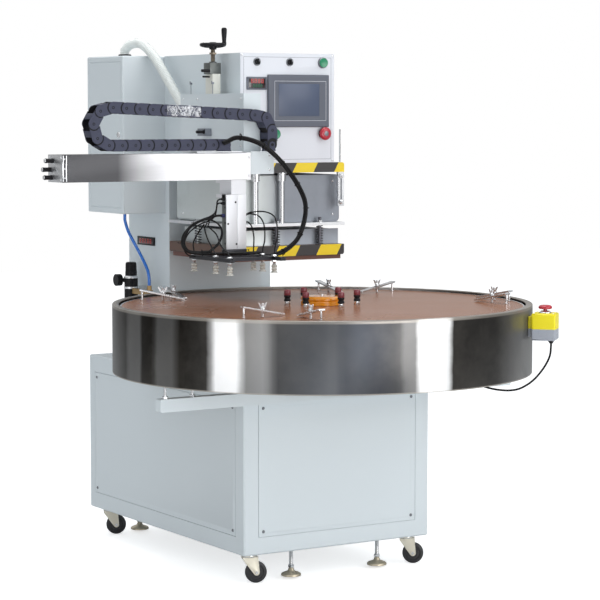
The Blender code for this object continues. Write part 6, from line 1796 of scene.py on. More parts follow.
    def build_sensors(self) -> None:
        """The end-of-travel sensor's body, and the beam's air fittings, end ribs and screws."""
        solid("lift_sensors", BLACK, ("arm_bracket",), lathe, [(0, 0.0), (0.0058, 0.0), (0.0060, 0.0006),
                                                               (0.0060, 0.0038), (0.0044, 0.0040),
                                                               (0.0044, 0.0270), (0.0036, 0.0276),
                                                               (0, 0.0276)], 20, (0.069, 0.3505, 1.227),
              Axis.X, True)
        shape = bmesh.new()
        for offset, height in ((0.020, 0.013), (0.030, 0.035), (0.012, 0.060)):
            lathe(shape, [(0, 0.0005), (0.0068, 0.0005), (0.0068, 0.0060), (0.0062, 0.0066), (0.0062, 0.0190),
                          (0.0066, 0.0196),
                          (0.0066, 0.0252), (0.0052, 0.0266), (0, 0.0266)],
                  20, (-0.523, 0.145 + offset, 1.090 + height), Axis.X, True)
        piece("beam_fittings", shape, BLACK, "beam")
        shape = bmesh.new()
        y0, (z0, z1) = self.beam_y[0], self.beam_z
        for along in (-0.5215, -0.5115):
            block(shape, (along, y0 - 0.0012, z0 + 0.002), (along + 0.0030, y0 + 0.0010, z1 - 0.002), 0.0005)
        for height in (0.012, 0.038, 0.065):
            lathe(shape, [(0, 0.0020), (0.0016, 0.0020), (0.0024, 0.0014), (0.0026, -0.0006), (0, -0.0006)],
                  16,
                  (-0.5150, y0, z0 + height), Axis.Y, True)
        piece("beam_end_ribs", shape, POLISHED, "beam")


@dataclass
class Pickup:
    """The carriage, the lift slide and the frame with its suction cups and hoses."""

    slide: tuple[float, float, float, float] = (0.001, 0.068, 0.100, 0.126)
    slide_z: tuple[float, float] = (0.888, 1.0474)
    cap_rear: float = 0.161
    cap_height: float = 0.010
    rods: tuple[tuple[float, float], ...] = ((0.046, 0.137), (0.046, 0.153))
    rod_top: float = 1.1394
    bars: tuple[float, ...] = (-0.079, 0.089)
    bar_y: tuple[float, float] = (-0.074, 0.164)
    cross_bars: tuple[float, ...] = (-0.020, 0.060, 0.130)
    frame_low: float = 0.862
    frame_top: float = 0.872
    cups: tuple[tuple[float, float], ...] = (
        (-0.079, 0.149), (-0.079, 0.022), (-0.079, -0.059), (0.089, 0.095), (0.089, 0.043), (0.089, -0.023))

    def build(self) -> None:
        """Builds the carriage, slide, frame, cups and hoses."""
        refined("carriage", SLIDE_COVER, width=0.0008)
        self.build_frame()
        self.build_slide()
        self.build_fittings()
        self.build_cups()
        self.build_hoses()

    def build_frame(self) -> None:
        """The grooved bars and cross bars, and the foot that carries them."""
        shape = bmesh.new()
        half, low, top = 0.008, self.frame_low, self.frame_top
        notch, deep = 0.0022, 0.0022
        across = [(-half, low), (-notch, low), (-notch, low + deep), (notch, low + deep), (notch, low),
                  (half, low),
                  (half, top), (notch, top), (notch, top - deep), (-notch, top - deep), (-notch, top),
                  (-half, top)]
        for x in self.bars:
            prism(shape, [(x + u, v) for u, v in across], self.bar_y[0], self.bar_y[1] - self.bar_y[0],
                  Axis.Y, 0.0005)
        start, end = self.bars[0] + half, self.bars[1] - half
        for y in self.cross_bars:
            prism(shape, [(y + u, v) for u, v in across], start - 0.0002, end - start + 0.0004, Axis.X,
                  0.0005)
        x0, x1, y0, y1 = self.slide
        block(shape, (x0 - 0.001, y0 - 0.001, top - 0.0002),
              (x1 + 0.001, y1 + 0.001, self.slide_z[0] + 0.0004), 0.0010)
        piece("pickup_frame", shape, DARK_BAR, "suction_frame", "suction_frame")

    def build_slide(self) -> None:
        """The slide's body, dark with painted shade, with a pale split cover, its cap, rods and small screws."""
        x0, x1, y0, y1 = self.slide
        z0, z1 = self.slide_z
        cover, seam = 0.0035, 0.0377
        shape = bmesh.new()
        block(shape, (x0, y0 + cover, z0), (x1 - 0.0004, y1, z1), 0.0008)
        for groove in (z0 + 0.030, z0 + 0.100):
            block(shape, (x0 - 0.0006, y0 + 0.010, groove), (x0 + 0.0006, y1 - 0.006, groove + 0.022), 0.0004)
        # The body's dark colour is painted shade on the slide's shaded side.
        piece("slide_body", shape, SLIDE_SIDE, "suction_frame")
        shape = bmesh.new()
        block(shape, (x0 + 0.0004, y0, z0), (seam - 0.0003, y0 + cover + 0.0004, z1 - 0.0002), 0.0007)
        block(shape, (seam + 0.0003, y0, z0), (x1, y0 + cover + 0.0004, z1 - 0.0002), 0.0007)
        block(shape, (x0, y0 + 0.0003, z1 - self.cap_height), (x1, self.cap_rear, z1), 0.0009)
        piece("slide_cover", shape, SLIDE_COVER, "suction_frame")
        shape = bmesh.new()
        for x, y in self.rods:
            lathe(shape, [(0, self.rod_top), (0.0034, self.rod_top), (0.0040, self.rod_top - 0.0006),
                          (0.0040, z1 - 0.001), (0, z1 - 0.001)],
                  20, (x, y, 0))
        piece("lift_rods", shape, POLISHED, "suction_frame")
        spots = [Spot((x, y0 - 0.0002, z), (0, -1, 0), z * 40) for x,
                 z in ((0.0320, 1.025), (0.0070, 0.962), (0.0350, 0.903))]
        spots += [Spot((x0 - 0.0002, y0 + 0.0065, z), (-1, 0, 0), z * 30) for z in (0.905, 0.965, 1.010)]
        scatter("slide_screws", screw_pattern(), spots, BLACK, "suction_frame", 0.85)

    def build_fittings(self) -> None:
        """The elbows and straight push-in fittings that the hoses leave the slide by."""
        x0, x1, _, _ = self.slide
        shape = bmesh.new()
        for x, z, out in ((x0, 1.034, True), (x0, 1.022, True), (x1, 0.988, False), (x1, 0.966, False)):
            lathe(shape, [(0, -0.0005), (0.0048, -0.0005), (0.0048, 0.0040), (0.0038, 0.0046),
                          (0.0038, 0.0086),
                          (0.0030, 0.0092), (0, 0.0092)], 20, (x, 0.113, z), Axis.X, out)
        piece("slide_fittings", shape, BLACK, "suction_frame")
        solid("slide_blue_fitting", DARK_BLUE, ("suction_frame",),
              lathe, [(0, -0.0005), (0.0056, -0.0005), (0.0056, 0.0060), (0.0046, 0.0066), (0.0046, 0.0104),
                      (0.0036, 0.0110), (0, 0.0110)], 20, (x0, 0.113, 0.986), Axis.X, True)

    def build_cups(self) -> None:
        """Six bellows cups with their stems, sockets and nuts, each grown from one pattern."""
        def cup(shape: bmesh.types.BMesh) -> None:
            """A two-fold bellows that hangs from its own z = 0."""
            lathe(shape, [(0, -0.0128), (0.0052, -0.0128), (0.0070, -0.0140), (0.0074, -0.0160),
                          (0.0080, -0.0170),
                          (0.0086, -0.0188), (0.0080, -0.0204), (0.0062, -0.0222), (0.0066, -0.0238),
                          (0.0086, -0.0262),
                          (0.0080, -0.0282), (0.0062, -0.0302), (0.0066, -0.0318), (0.0090, -0.0345),
                          (0.0109, -0.0366),
                          (0.0107, -0.0369), (0.0084, -0.0352), (0.0040, -0.0318), (0, -0.0310)], 24)

        def stem(shape: bmesh.types.BMesh) -> None:
            """A threaded stem with a nut below the frame and another above."""
            ridges = thread(0.0050, 0.0042, 0.0150, -0.0125, 24)
            lathe(shape, [(0, 0.0158), (0.0040, 0.0158), *ridges, (0, -0.0130)], 16)
            for z in (0.0102, -0.0052):
                lathe(shape, [(0, z + 0.0050), (0.0072, z + 0.0050), (0.0080, z + 0.0043),
                              (0.0080, z + 0.0007),
                              (0.0072, z), (0, z)], 6)

        spots = [Spot((x, y, self.frame_low), (0, 0, 1), x * 20) for x, y in self.cups]
        scatter("suction_cups", template("pattern_cup", cup), spots, SILICONE, "suction_frame")
        scatter("cup_stems", template("pattern_cup_stem", stem), spots, ZINC, "suction_frame")

    def build_hoses(self) -> None:
        """Small black hoses from the slide to the cups, and the slack ring that the loom ends in."""
        over = self.frame_top + 0.0052
        to_cups = (
            ((-0.050, 0.140, 0.962), (-0.0556, 0.142, 0.953), (-0.070, 0.146, 0.932), (-0.081, 0.150, 0.908),
             (-0.080, 0.150, 0.890),
             (-0.079, 0.149, over)),
            ((-0.045, 0.132, 0.965), (-0.0556, 0.128, 0.953), (-0.060, 0.107, 0.925), (-0.070, 0.060, 0.898),
             (-0.078, 0.030, 0.886),
             (-0.079, 0.022, over)),
            ((-0.040, 0.128, 0.968), (-0.050, 0.118, 0.957), (-0.056, 0.060, 0.936), (-0.068, 0.010, 0.905),
             (-0.077, -0.044, 0.888),
             (-0.079, -0.059, over)),
            ((0.0765, 0.113, 0.966), (0.082, 0.112, 0.965), (0.090, 0.106, 0.952), (0.092, 0.098, 0.925),
             (0.090, 0.095, 0.895),
             (0.089, 0.095, over)),
            ((0.0765, 0.113, 0.988), (0.086, 0.110, 0.990), (0.104, 0.092, 0.984), (0.109, 0.070, 0.962),
             (0.101, 0.050, 0.920),
             (0.091, 0.044, 0.892), (0.089, 0.043, over)),
            ((0.0765, 0.116, 0.989), (0.090, 0.110, 0.994), (0.116, 0.072, 0.996), (0.124, 0.030, 0.980),
             (0.110, -0.006, 0.935),
             (0.092, -0.022, 0.895), (0.089, -0.023, over)),
        )
        ring = ((0.1010, 0.060, 0.868), (0.0930, 0.060, 0.8775), (0.060, 0.061, 0.8790),
                (0.010, 0.064, 0.8785), (-0.045, 0.078, 0.8785),
                (-0.088, 0.104, 0.8780), (-0.116, 0.122, 0.884), (-0.128, 0.129, 0.905),
                (-0.121, 0.130, 0.933), (-0.100, 0.127, 0.956),
                (-0.070, 0.122, 0.972), (-0.044, 0.118, 0.979), (-0.026, 0.114, 0.985),
                (-0.012, 0.113, 0.986), (-0.0085, 0.113, 0.986))
        inner = ((0.0880, 0.054, 0.8770), (0.040, 0.056, 0.8780), (-0.020, 0.070, 0.8775),
                 (-0.060, 0.088, 0.881), (-0.030, 0.092, 0.905),
                 (-0.017, 0.092, 0.936), (-0.026, 0.098, 0.962), (-0.052, 0.112, 0.976),
                 (-0.085, 0.122, 0.967), (-0.112, 0.127, 0.946),
                 (-0.123, 0.129, 0.915), (-0.112, 0.124, 0.888), (-0.082, 0.108, 0.882),
                 (-0.052, 0.092, 0.884))
        upper = ((-0.0065, 0.113, 1.034), (-0.014, 0.113, 1.034), (-0.0215, 0.113, 1.028),
                 (-0.024, 0.113, 1.010), (-0.030, 0.114, 0.994),
                 (-0.046, 0.118, 0.983), (-0.070, 0.124, 0.974), (-0.102, 0.130, 0.952),
                 (-0.118, 0.132, 0.925), (-0.120, 0.130, 0.900),
                 (-0.108, 0.124, 0.884), (-0.090, 0.116, 0.881))
        shape = bmesh.new()
        for knots in to_cups:
            tube(shape, smooth_route(knots, 0.004), 0.0021, 10)
        piece("pickup_hoses", shape, RUBBER, "suction_frame")
        shape = bmesh.new()
        for knots, radius, dy, dz in ((ring, 0.0028, 0.0, 0.0), (ring, 0.0025, 0.0052, 0.0012),
                                      (ring, 0.0022, -0.0048, 0.0010),
                                      (inner, 0.0024, 0.0, 0.0), (inner, 0.0021, 0.0046, 0.0014),
                                      (upper, 0.0024, 0.0, 0.0), (upper, 0.0022, 0.0030, -0.0115)):
            tube(shape, [point + Vector((0, dy, dz)) for point in smooth_route(knots, 0.004)], radius, 10)
        piece("pickup_slack", shape, RUBBER, "suction_frame")
        self.build_ties(smooth_route(ring, 0.004))

    def build_ties(self, route: Sequence[Vector]) -> None:
        """Cable ties round the slack ring."""
        shape = bmesh.new()
        for share in (0.12, 0.30, 0.45, 0.62, 0.78):
            i = round(share * (len(route) - 2))
            point, ahead = route[i] + Vector((0, 0.0002, 0.0004)), (route[i + 1] - route[i]).normalized()
            across = ahead.orthogonal().normalized()
            up = ahead.cross(across)
            turn = circle(point, across, up, 0.0088, 18)
            tube(shape, [*turn, turn[0]], 0.0009, 6)
            head = point + up * 0.0092
            tube(shape, [head, head + up * 0.006 + ahead * 0.002], 0.0014, 6)
        piece("pickup_ties", shape, BLACK, "suction_frame")


@dataclass
class Chain:
    """The cable chain: moulded links along its path, each of which laps the one before."""

    pitch: float = 0.0405
    height: float = 0.034
    width: float = 0.045
    front: float = 0.103
    plate: float = 0.0036
    lower_z: float = 1.1915
    loop_radius: float = 0.0535
    loop_x: float = -0.369
    end_x: float = 0.034
    turn: tuple[float, float, float] = (0.118, 1.235, 0.042)
    start_z: float = 1.1910
    wrap_x: tuple[float, float] = (-0.190, -0.080)
    lap: float = 0.0026

    def path(self) -> list[Vector]:
        """The centreline as (x, z) points 2 mm apart, from the fixed end round to the moving end."""
        tx, tz, tr = self.turn
        lr, lx, lz = self.loop_radius, self.loop_x, self.lower_z + self.loop_radius
        knots = [(tx + tr, self.start_z)]
        knots += [(tx + tr * math.cos(a),
                   tz + tr * math.sin(a)) for a in (TAU / 4 * i / 15 for i in range(16))]
        knots += [(lx, self.lower_z + 2 * lr)]
        knots += [(lx + lr * math.cos(a),
                   lz + lr * math.sin(a)) for a in (TAU / 4 + TAU / 2 * i / 47 for i in range(48))]
        knots += [(self.end_x, self.lower_z)]
        points = [Vector(knots[0])]
        for knot in knots[1:]:
            start, end = points[-1], Vector(knot)
            count = max(1, round((end - start).length / 0.002))
            points += [start.lerp(end, i / count) for i in range(1, count + 1)]
        return points

    def pins(self) -> list[Vector]:
        """Pin places one pitch apart."""
        found = [self.path()[0]]
        for point in self.path():
            if (point - found[-1]).length >= self.pitch:
                found.append(point)
        return found

    def link_shape(self, shape: bmesh.types.BMesh) -> None:
        """A link's plates and cross bars, its first pin at the origin and its second up its own Z axis.

        Each plate is round about the second pin and hollowed to clear the round end before it.

        Args:
            shape: the bmesh that takes it.
        """
        half, pitch, thick = self.height / 2 - 0.0003, self.pitch, self.plate / 2
        hollow = half + self.lap
        side = math.sqrt(hollow**2 - half**2)
        reach = math.atan2(half, side)
        crown = [(half * math.cos(a),
                  pitch + half * math.sin(a)) for a in (math.radians(12 * i) for i in range(16))]
        foot = [(-hollow * math.sin(a),
                 hollow * math.cos(a)) for a in (reach - reach * i / 5 for i in range(11))]
        for start in (0.0002, self.width - thick - 0.0002):
            prism(shape, [*crown, *foot], start, thick, Axis.Y, 0.0004)
        for end in (-1, 1):
            x = end * (half - 0.0018)
            block(shape, (x - 0.0016, 0.0022, pitch * 0.40), (x + 0.0016, self.width - 0.0022, pitch * 0.86),
                  0.0008)

    def tail_shape(self, shape: bmesh.types.BMesh) -> None:
        """The tails under the plates of the link before, and the pins in its two faces, all black as painted
        shade in the laps and the pin holes.

        Args:
            shape: the bmesh that takes them.
        """
        inner, thick = self.height / 2 - 0.0012, self.plate / 2
        round_end = [(inner * math.cos(a),
                      inner * math.sin(a)) for a in (math.radians(180 + 15 * i) for i in range(13))]
        outline = [*round_end, (inner, self.pitch * 0.62), (-inner, self.pitch * 0.62)]
        for start in (thick + 0.0003, self.width - 2 * thick - 0.0003):
            prism(shape, outline, start, thick, Axis.Y, 0.0003)
        for y, out in ((0.0001, True), (self.width - 0.0001, False)):
            lathe(shape, [(0, -0.0003), (0.0020, -0.0003), (0.0024, 0.0002), (0.0040, 0.0002),
                          (0.0044, -0.0002), (0.0044, -0.0012),
                          (0, -0.0012)], 16, (0, y, 0), Axis.Y, out)

    def build(self) -> None:
        """Sets the links and their tails for the upper run, the loop and the lower run, and adds the wrap and the
        end brackets.
        """
        pins = self.pins()
        parts = {"upper": [], "loop": [], "lower": []}
        for a, b in zip(pins, pins[1:]):
            middle = (a + b) / 2
            height = "upper" if middle.y > self.lower_z + self.loop_radius or middle.x > self.end_x else "lower"
            parts["loop" if middle.x < self.loop_x else height].append((a, b))
        replaced = ["drag_chain"]
        # The tails and pins are black as painted shade in the laps and pin holes.
        for name, pattern, finish in (("chain_links", self.link_shape, CHAIN),
                                      ("chain_tails", self.tail_shape, BLACK)):
            shape = template(f"pattern_{name}", pattern)
            for part, links in parts.items():
                obj = self.set_links(f"{name}_{part}", shape, links, finish)
                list(self.travel(part))
                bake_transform(obj)
                declare(obj, "drag_chain", *replaced)
                replaced = []
        self.build_wrap()
        self.build_ends(pins)

    def travel(self, part: str) -> tuple[Vector, Vector]:
        """Where a part's bend between arm and carriage starts and ends.

        The loop goes half as far as the carriage; the two runs take up the rest along their length.

        Args:
            part: upper, loop or lower.

        Returns:
            The start and end points.
        """
        fixed, middle, moving = self.turn[0], self.loop_x, self.end_x
        if part == "upper":
            return placed(fixed, 0, 0), placed(2 * middle - fixed, 0, 0)
        if part == "lower":
            return placed(2 * middle - moving, 0, 0), placed(moving, 0, 0)
        return placed(0, -50, 0), placed(0, 50, 0)

    def build_wrap(self) -> None:
        """The clear film wound round part of the upper run, tight at its two ends and creased between."""
        tx, tz, tr = self.turn
        high = self.lower_z + 2 * self.loop_radius
        slope = (tz + tr - high) / (tx - self.loop_x)
        shape = bmesh.new()
        rings = []
        steps, x0, x1 = 40, self.wrap_x[0], self.wrap_x[1]
        for i in range(steps + 1):
            share = i / steps
            x = x0 + (x1 - x0) * share
            middle = high + slope * (x - self.loop_x)
            puff = 0.0004 + 0.0008 * math.sin(math.pi * share) ** 0.5 * (0.6 + 0.4 * math.sin(37 * share))
            outline = []
            for k in range(40):
                a = TAU * k / 40
                u = math.copysign(min(1.0, abs(1.25 * math.cos(a))), math.cos(a))
                v = math.copysign(min(1.0, abs(1.25 * math.sin(a))), math.sin(a))
                crease = puff + 0.0004 * math.sin(7 * a + 31 * share) * math.sin(19 * share + 3 * a)
                outline.append(shape.verts.new((
                    x, self.front + self.width / 2 + u * (self.width / 2 + crease),
                    middle + v * (self.height / 2 + crease))))
            rings.append(outline)
        bridge(shape, rings)
        bmesh.ops.recalc_face_normals(shape, faces=list(shape.faces))
        obj = object_of("chain_wrap", shape, FILM, 60)
        skin = obj.modifiers.new("thickness", "SOLIDIFY")
        skin.thickness = 0.0003
        skin.offset = -1.0
        bake_modifiers(obj)
        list(self.travel("upper"))
        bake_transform(obj)
        declare(obj, "drag_chain")

    def set_links(self, name: str, pattern: bpy.types.Object, links: Sequence[tuple[Vector, Vector]],
                  finish: Finish) -> bpy.types.Object:
        """Sets a link pattern between each pair of pins by the pitch-and-heading tree."""
        mesh = bpy.data.meshes.new(f"{name}_spots")
        mesh.from_pydata([placed(a.x, self.front, a.y) for a, _ in links], [], [])
        facing = mesh.attributes.new("heading", "FLOAT", "POINT")
        for i, (a, b) in enumerate(links):
            facing.data[i].value = math.atan2(b.x - a.x, b.y - a.y)
        return Growers.of(link_tree).grow(name, mesh, finish, Template=pattern)

    def build_ends(self, pins: Sequence[Vector]) -> None:
        """The fixed end's bracket on the arm's foot, and the moving end's on the carriage's plate."""
        start, end = pins[0], pins[-1]
        y0, y1 = self.front + 0.002, self.front + self.width - 0.002
        shape = bmesh.new()
        block(shape, (start.x - 0.012, y0, 1.1723), (start.x + 0.012, y1, 1.1760), 0.0006)
        for y in (y0, y1 - 0.003):
            prism(shape, [(start.x - 0.011, 1.1755), (start.x + 0.011, 1.1755),
                          (start.x + 0.009, start.y + 0.006),
                          (start.x, start.y + 0.010), (start.x - 0.009, start.y + 0.006)],
                  y, 0.003, Axis.Y, 0.0005)
        piece("chain_fixed_bracket", shape, CHAIN, "drag_chain")
        shape = bmesh.new()
        low = 1.1728
        block(shape, (end.x - 0.010, y0, low), (end.x + 0.018, y1, low + 0.0030), 0.0006)
        for y in (y0, y1 - 0.003):
            prism(shape, [(end.x - 0.009, low + 0.002), (end.x + 0.016, low + 0.002),
                          (end.x + 0.014, end.y + 0.003),
                          (end.x, end.y + 0.011), (end.x - 0.009, end.y + 0.006)], y, 0.003, Axis.Y, 0.0005)
        piece("chain_moving_bracket", shape, CHAIN, "carriage")


@dataclass
class Hose:
    """A hose, conduit or lead along a route, with a straight stretch at each end."""

    node: str
    knots: Sequence[Point]
    radius: float
    finish: Finish
    spacing: float = 0.004
    rib: float = 0.0
    rib_pitch: float = 0.0055
    sides: int = 20

    def route(self) -> list[Vector]:
        """The points of its centreline, at even steps if it is ribbed."""
        rough = smooth_route(self.knots, self.spacing)
        if not self.rib:
            return rough
        even = [rough[0]]
        step = self.rib_pitch / 6
        carried = 0.0
        for a, b in zip(rough, rough[1:]):
            length = (b - a).length
            while carried + step <= length:
                carried += step
                even.append(a.lerp(b, carried / length))
            carried -= length
        return [*even[:-1], rough[-1]]

    def mesh_object(self) -> bpy.types.Object:
        """Makes the swept tube, ribbed if it has ribs."""
        points = self.route()
        count = len(points) - 1

        def reach(share: float) -> float:
            """The radius at a share of the length, lower between ribs."""
            if not self.rib:
                return self.radius
            return self.radius - self.rib * (0.5 - 0.5 * math.cos(TAU * share * count / 6)) ** 0.6

        shape = bmesh.new()
        tube(shape, points, reach, self.sides)
        return object_of(f"{self.node}_skin", shape, self.finish, 60)

    def build(self) -> bpy.types.Object:
        """Builds it on its node's body in place of the CAD's."""
        return settle(self.mesh_object(), self.node, self.node)

    def build_between(self) -> bpy.types.Object:
        """Builds it in place of the CAD's, with its place baked into its mesh.

        Returns:
            The piece.
        """
        obj = self.mesh_object()
        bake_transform(obj)
        return declare(obj, self.node, self.node)


@dataclass
class Lines:
    """Every conduit, hose and lead."""

    def build(self) -> None:
        """Builds the conduit, the air hose, the loom with its ties and the stop's lead."""
        Hose("white_conduit", (
            (0.060, 0.850, 1.4702), (0.060, 0.850, 1.482), (0.067, 0.820, 1.501), (0.080, 0.770, 1.500),
            (0.094, 0.710, 1.456),
            (0.106, 0.655, 1.393), (0.115, 0.602, 1.334), (0.119, 0.560, 1.297), (0.119, 0.5372, 1.297)),
            0.0150, WHITE_HOSE, 0.006, 0.0016, 0.0062, 24).build_between(
                )
        Hose("blue_air_hose", (
            (0.034, 0.807, 0.9658), (0.034, 0.807, 0.946), (0.043, 0.802, 0.910), (0.061, 0.796, 0.872),
            (0.085, 0.786, 0.822),
            (0.099, 0.776, 0.782), (0.102, 0.772, 0.752), (0.102, 0.772, 0.7352)), 0.0049, BLUE_HOSE).build()
        Hose("remote_stop_lead", (
            (0.795, -0.410, 0.6268), (0.795, -0.410, 0.610), (0.797, -0.401, 0.576), (0.782, -0.390, 0.540),
            (0.757, -0.375, 0.506),
            (0.728, -0.357, 0.484), (0.703, -0.341, 0.477), (0.676, -0.324, 0.478), (0.648, -0.307, 0.484),
            (0.624, -0.292, 0.494),
            (0.617, -0.287, 0.506), (0.617, -0.287, 0.5178)), 0.0030, RUBBER, 0.005).build()
        self.build_loom()

    def build_loom(self) -> None:
        """The loom from the carriage to the pick-up frame: three strands laid round one another, with ties."""
        knots = ((-0.016, 0.088, 1.196), (-0.004, 0.087, 1.201), (0.033, 0.080, 1.213), (0.107, 0.075, 1.191),
                 (0.178, 0.072, 1.132), (0.236, 0.070, 1.057), (0.253, 0.068, 0.998), (0.229, 0.066, 0.925),
                 (0.182, 0.063, 0.884), (0.130, 0.060, 0.867), (0.112, 0.060, 0.867), (0.0975, 0.060, 0.867))
        route = smooth_route(knots, 0.006)
        frames = []
        side = Vector((0, 1, 0))
        for i, point in enumerate(route):
            ahead = (route[min(i + 1, len(route) - 1)] - route[max(i - 1, 0)]).normalized()
            side = (side - ahead * side.dot(ahead)).normalized()
            frames.append((point, side, ahead.cross(side), ahead))
        shape = bmesh.new()
        for strand, size in enumerate((0.0040, 0.0037, 0.0034)):
            turned = []
            for i, (point, across, up, _) in enumerate(frames):
                angle = TAU * strand / 3 + 5.0 * i / len(frames)
                turned.append(point + 0.0040 * (across * math.cos(angle) + up * math.sin(angle)))
            tube(shape, turned, size, 12)
        for i in range(9, len(frames) - 3, 13):
            point, across, up, ahead = frames[i]
            ring = circle(point, across, up, 0.0084, 20)
            for a, b in zip(ring, ring[1:] + ring[:1]):
                tube(shape, [a - (b - a) * 0.1, b + (b - a) * 0.1], 0.0014, 6)
            for turned in (0.9, 3.6):
                outward = across * math.cos(turned) + up * math.sin(turned)
                head = point + outward * 0.0090
                tube(shape, [head, head + outward * 0.0062 + ahead * 0.001], lambda t: 0.0021 - 0.0011 * t, 6)
        obj = object_of("cable_loom_strands", shape, RUBBER, 50)
        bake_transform(obj)
        declare(obj, "cable_loom", "cable_loom")


@dataclass
class Regulator:
    """The filter regulator: body, bowl, gauge, fittings and knob."""

    x: float = 0.100
    y: float = 0.894
    top: float = 0.760

    def build(self) -> None:
        """Builds the regulator in place of the CAD's."""
        at = (self.x, self.y, self.top)
        refined("regulator_body", BLACK, Region(BRONZE, low=(self.x - 0.012, -FAR, 0.7005),
                                                high=(self.x + 0.014, self.y - 0.0225, 0.7365)),
                Region(ZINC, low=(self.x + 0.0225, -FAR, -FAR)), width=0.0006)
        shape = bmesh.new()
        lathe(shape, [(0.0190, -0.1052), (0.0222, -0.1050), (0.0228, -0.1040), (0.0228, -0.0960),
                      (0.0220, -0.0950)], 48, at)
        lathe(shape, [(0.0226, -0.0420), (0.0232, -0.0415), (0.0232, -0.0355), (0.0226, -0.0350)], 48, at)
        lathe(shape, [(0.0226, -0.0080), (0.0231, -0.0075), (0.0231, -0.0045), (0.0205, -0.0005),
                      (0.0195, 0.0001)], 48, at)
        bmesh.ops.recalc_face_normals(shape, faces=shape.faces)
        piece("regulator_collars", shape, ALUMINIUM, "regulator_body")
        solid("regulator_bowl", BOWL, ("regulator_body",), lathe,
              [(0, -0.1602), (0.0100, -0.1602), (0.0128, -0.1590), (0.0180, -0.1480), (0.0193, -0.1440),
               (0.0193, -0.1046), (0, -0.1046)], 48, at)
        self.build_gauge()
        self.build_knob()

    def build_gauge(self) -> None:
        """The gauge: case, white dial without print, and a needle."""
        x, y, z = self.x - 0.022, self.y + 0.031, self.top - 0.015
        solid("gauge_case", BLACK, ("regulator_body",), lathe,
              [(0, 0.0004), (0.0150, 0.0004), (0.0192, 0.0030), (0.0194, 0.0150), (0.0194, 0.0178),
               (0.0186, 0.0184), (0.0172, 0.0184), (0.0168, 0.0164), (0, 0.0164)], 48, (x, y, z),
              Axis.X, True)
        solid("gauge_dial", PANEL, ("regulator_body",), lathe,
              [(0, 0.0167), (0.0165, 0.0167), (0.0165, 0.0160), (0, 0.0160)], 48, (x, y, z), Axis.X, True)
        shape = bmesh.new()
        lathe(shape, [(0, 0.0178), (0.0016, 0.0178), (0.0018, 0.0168), (0, 0.0166)], 16, (x, y, z),
              Axis.X, True)
        tube(shape, [Vector((x - 0.0174, y + 0.003, z - 0.0030)),
                     Vector((x - 0.0174, y - 0.0085, z + 0.0085))], 0.0004, 6)
        for i in range(9):
            a = math.radians(-45 + 270 * i / 8)
            tube(shape, [Vector((x - 0.0168, y + 0.0130 * math.cos(a), z + 0.0130 * math.sin(a))),
                         Vector((x - 0.0168, y + 0.0155 * math.cos(a), z + 0.0155 * math.sin(a)))], 0.0003, 5)
        piece("gauge_needle", shape, BLACK, "regulator_body")

    def build_knob(self) -> None:
        """The pull-to-turn knob with flutes down its side."""
        shape = bmesh.new()
        lathe(shape, [(0, 0.0438), (0.0120, 0.0438), (0.0150, 0.0430), (0.0168, 0.0408), (0.0176, 0.0380),
                      (0.0182, 0.0200),
                      (0.0186, 0.0130), (0.0190, 0.0125), (0.0190, 0.0006), (0, 0.0006)],
              72, (self.x, self.y, self.top + 0.0003))
        for vert in shape.verts:
            dx, dy = vert.co.x - self.x, vert.co.y - self.y
            step = round(math.atan2(dy, dx) / TAU * 72) % 4
            if math.hypot(dx, dy) > 0.017 and vert.co.z > self.top + 0.018 and step in (1, 2):
                vert.co.x, vert.co.y = self.x + dx * 0.955, self.y + dy * 0.955
        piece("regulator_knob_cap", shape, BLACK, "regulator_knob", "regulator_knob")


@dataclass
class RemoteStop:
    """The stop box on the drum's rim: a two-colour case, collar, knock-outs and button."""

    angle: float = math.radians(-48)
    reach: float = 0.672
    low: float = 0.627
    height: float = 0.079
    depth: float = 0.070
    width: float = 0.067

    def at(self, out: float, side: float, z: float) -> Vector:
        """A point from its outward, sideways and upward places."""
        c, s = math.cos(self.angle), math.sin(self.angle)
        x = DRUM_CENTRE[0] + c * (self.reach + out) - s * side
        return Vector((x, DRUM_CENTRE[1] + s * (self.reach + out) + c * side, z))

    def build(self) -> None:
        """Builds the box, its details and the button."""
        top = self.low + self.height
        refined("remote_stop_box", YELLOW, above(ZINC, top + 0.0004), width=0.0014)
        centre = self.at(0, 0, top)
        solid("remote_stop_collar", ZINC, ("remote_stop_box",),
              lathe, [(0.0060, 0.0061), (0.0126, 0.0062), (0.0138, 0.0056), (0.0172, 0.0018),
                      (0.0176, 0.0006), (0.0176, -0.0004), (0.0060, -0.0004), (0.0060, 0.0061)], 48, centre)
        z = top + 0.006 - 0.0085 + 0.004 + 0.001
        Mushroom("remote_stop_button", (centre.x, centre.y, z), Axis.Z, 0.0054, reach=0.017).build()
        self.build_lines()

    def build_lines(self) -> None:
        """The round knock-outs on its sides, its lid screws and the lead's gland."""
        c, s = math.cos(self.angle), math.sin(self.angle)
        for label, out, side, nx, ny in (("front", 0.0, -self.width / 2, s, -c),
                                         ("outer", self.depth / 2, 0.0, c, s)):
            centre = self.at(out, side, self.low + 0.026)
            normal = Vector((nx, ny, 0))
            across = Vector((-normal.y, normal.x, 0))
            ring = circle(centre + normal * 0.0001, across, Vector((0, 0, 1)), 0.0125, 32)
            shape = bmesh.new()
            tube(shape, [*ring, ring[0]], 0.0006, 6)
            piece(f"remote_stop_{label}_knockout", shape, YELLOW, "remote_stop_box")
        spots = [Spot(self.at(out, side, self.low + self.height - 0.0002), (0, 0, 1), 0.6)
                 for out in (-0.028, 0.028) for side in (-0.0265, 0.0265)]
        scatter("remote_stop_screws", screw_pattern(), spots, ZINC, "remote_stop_box", 0.8)
        solid("remote_stop_gland", BLACK, ("remote_stop_box",),
              lathe, [(0, 0.0006), (0.0080, 0.0006), (0.0088, -0.0006), (0.0088, -0.0058), (0.0072, -0.0066),
                      (0.0052, -0.0110), (0, -0.0110)], 24, (0.795, -0.410, self.low))


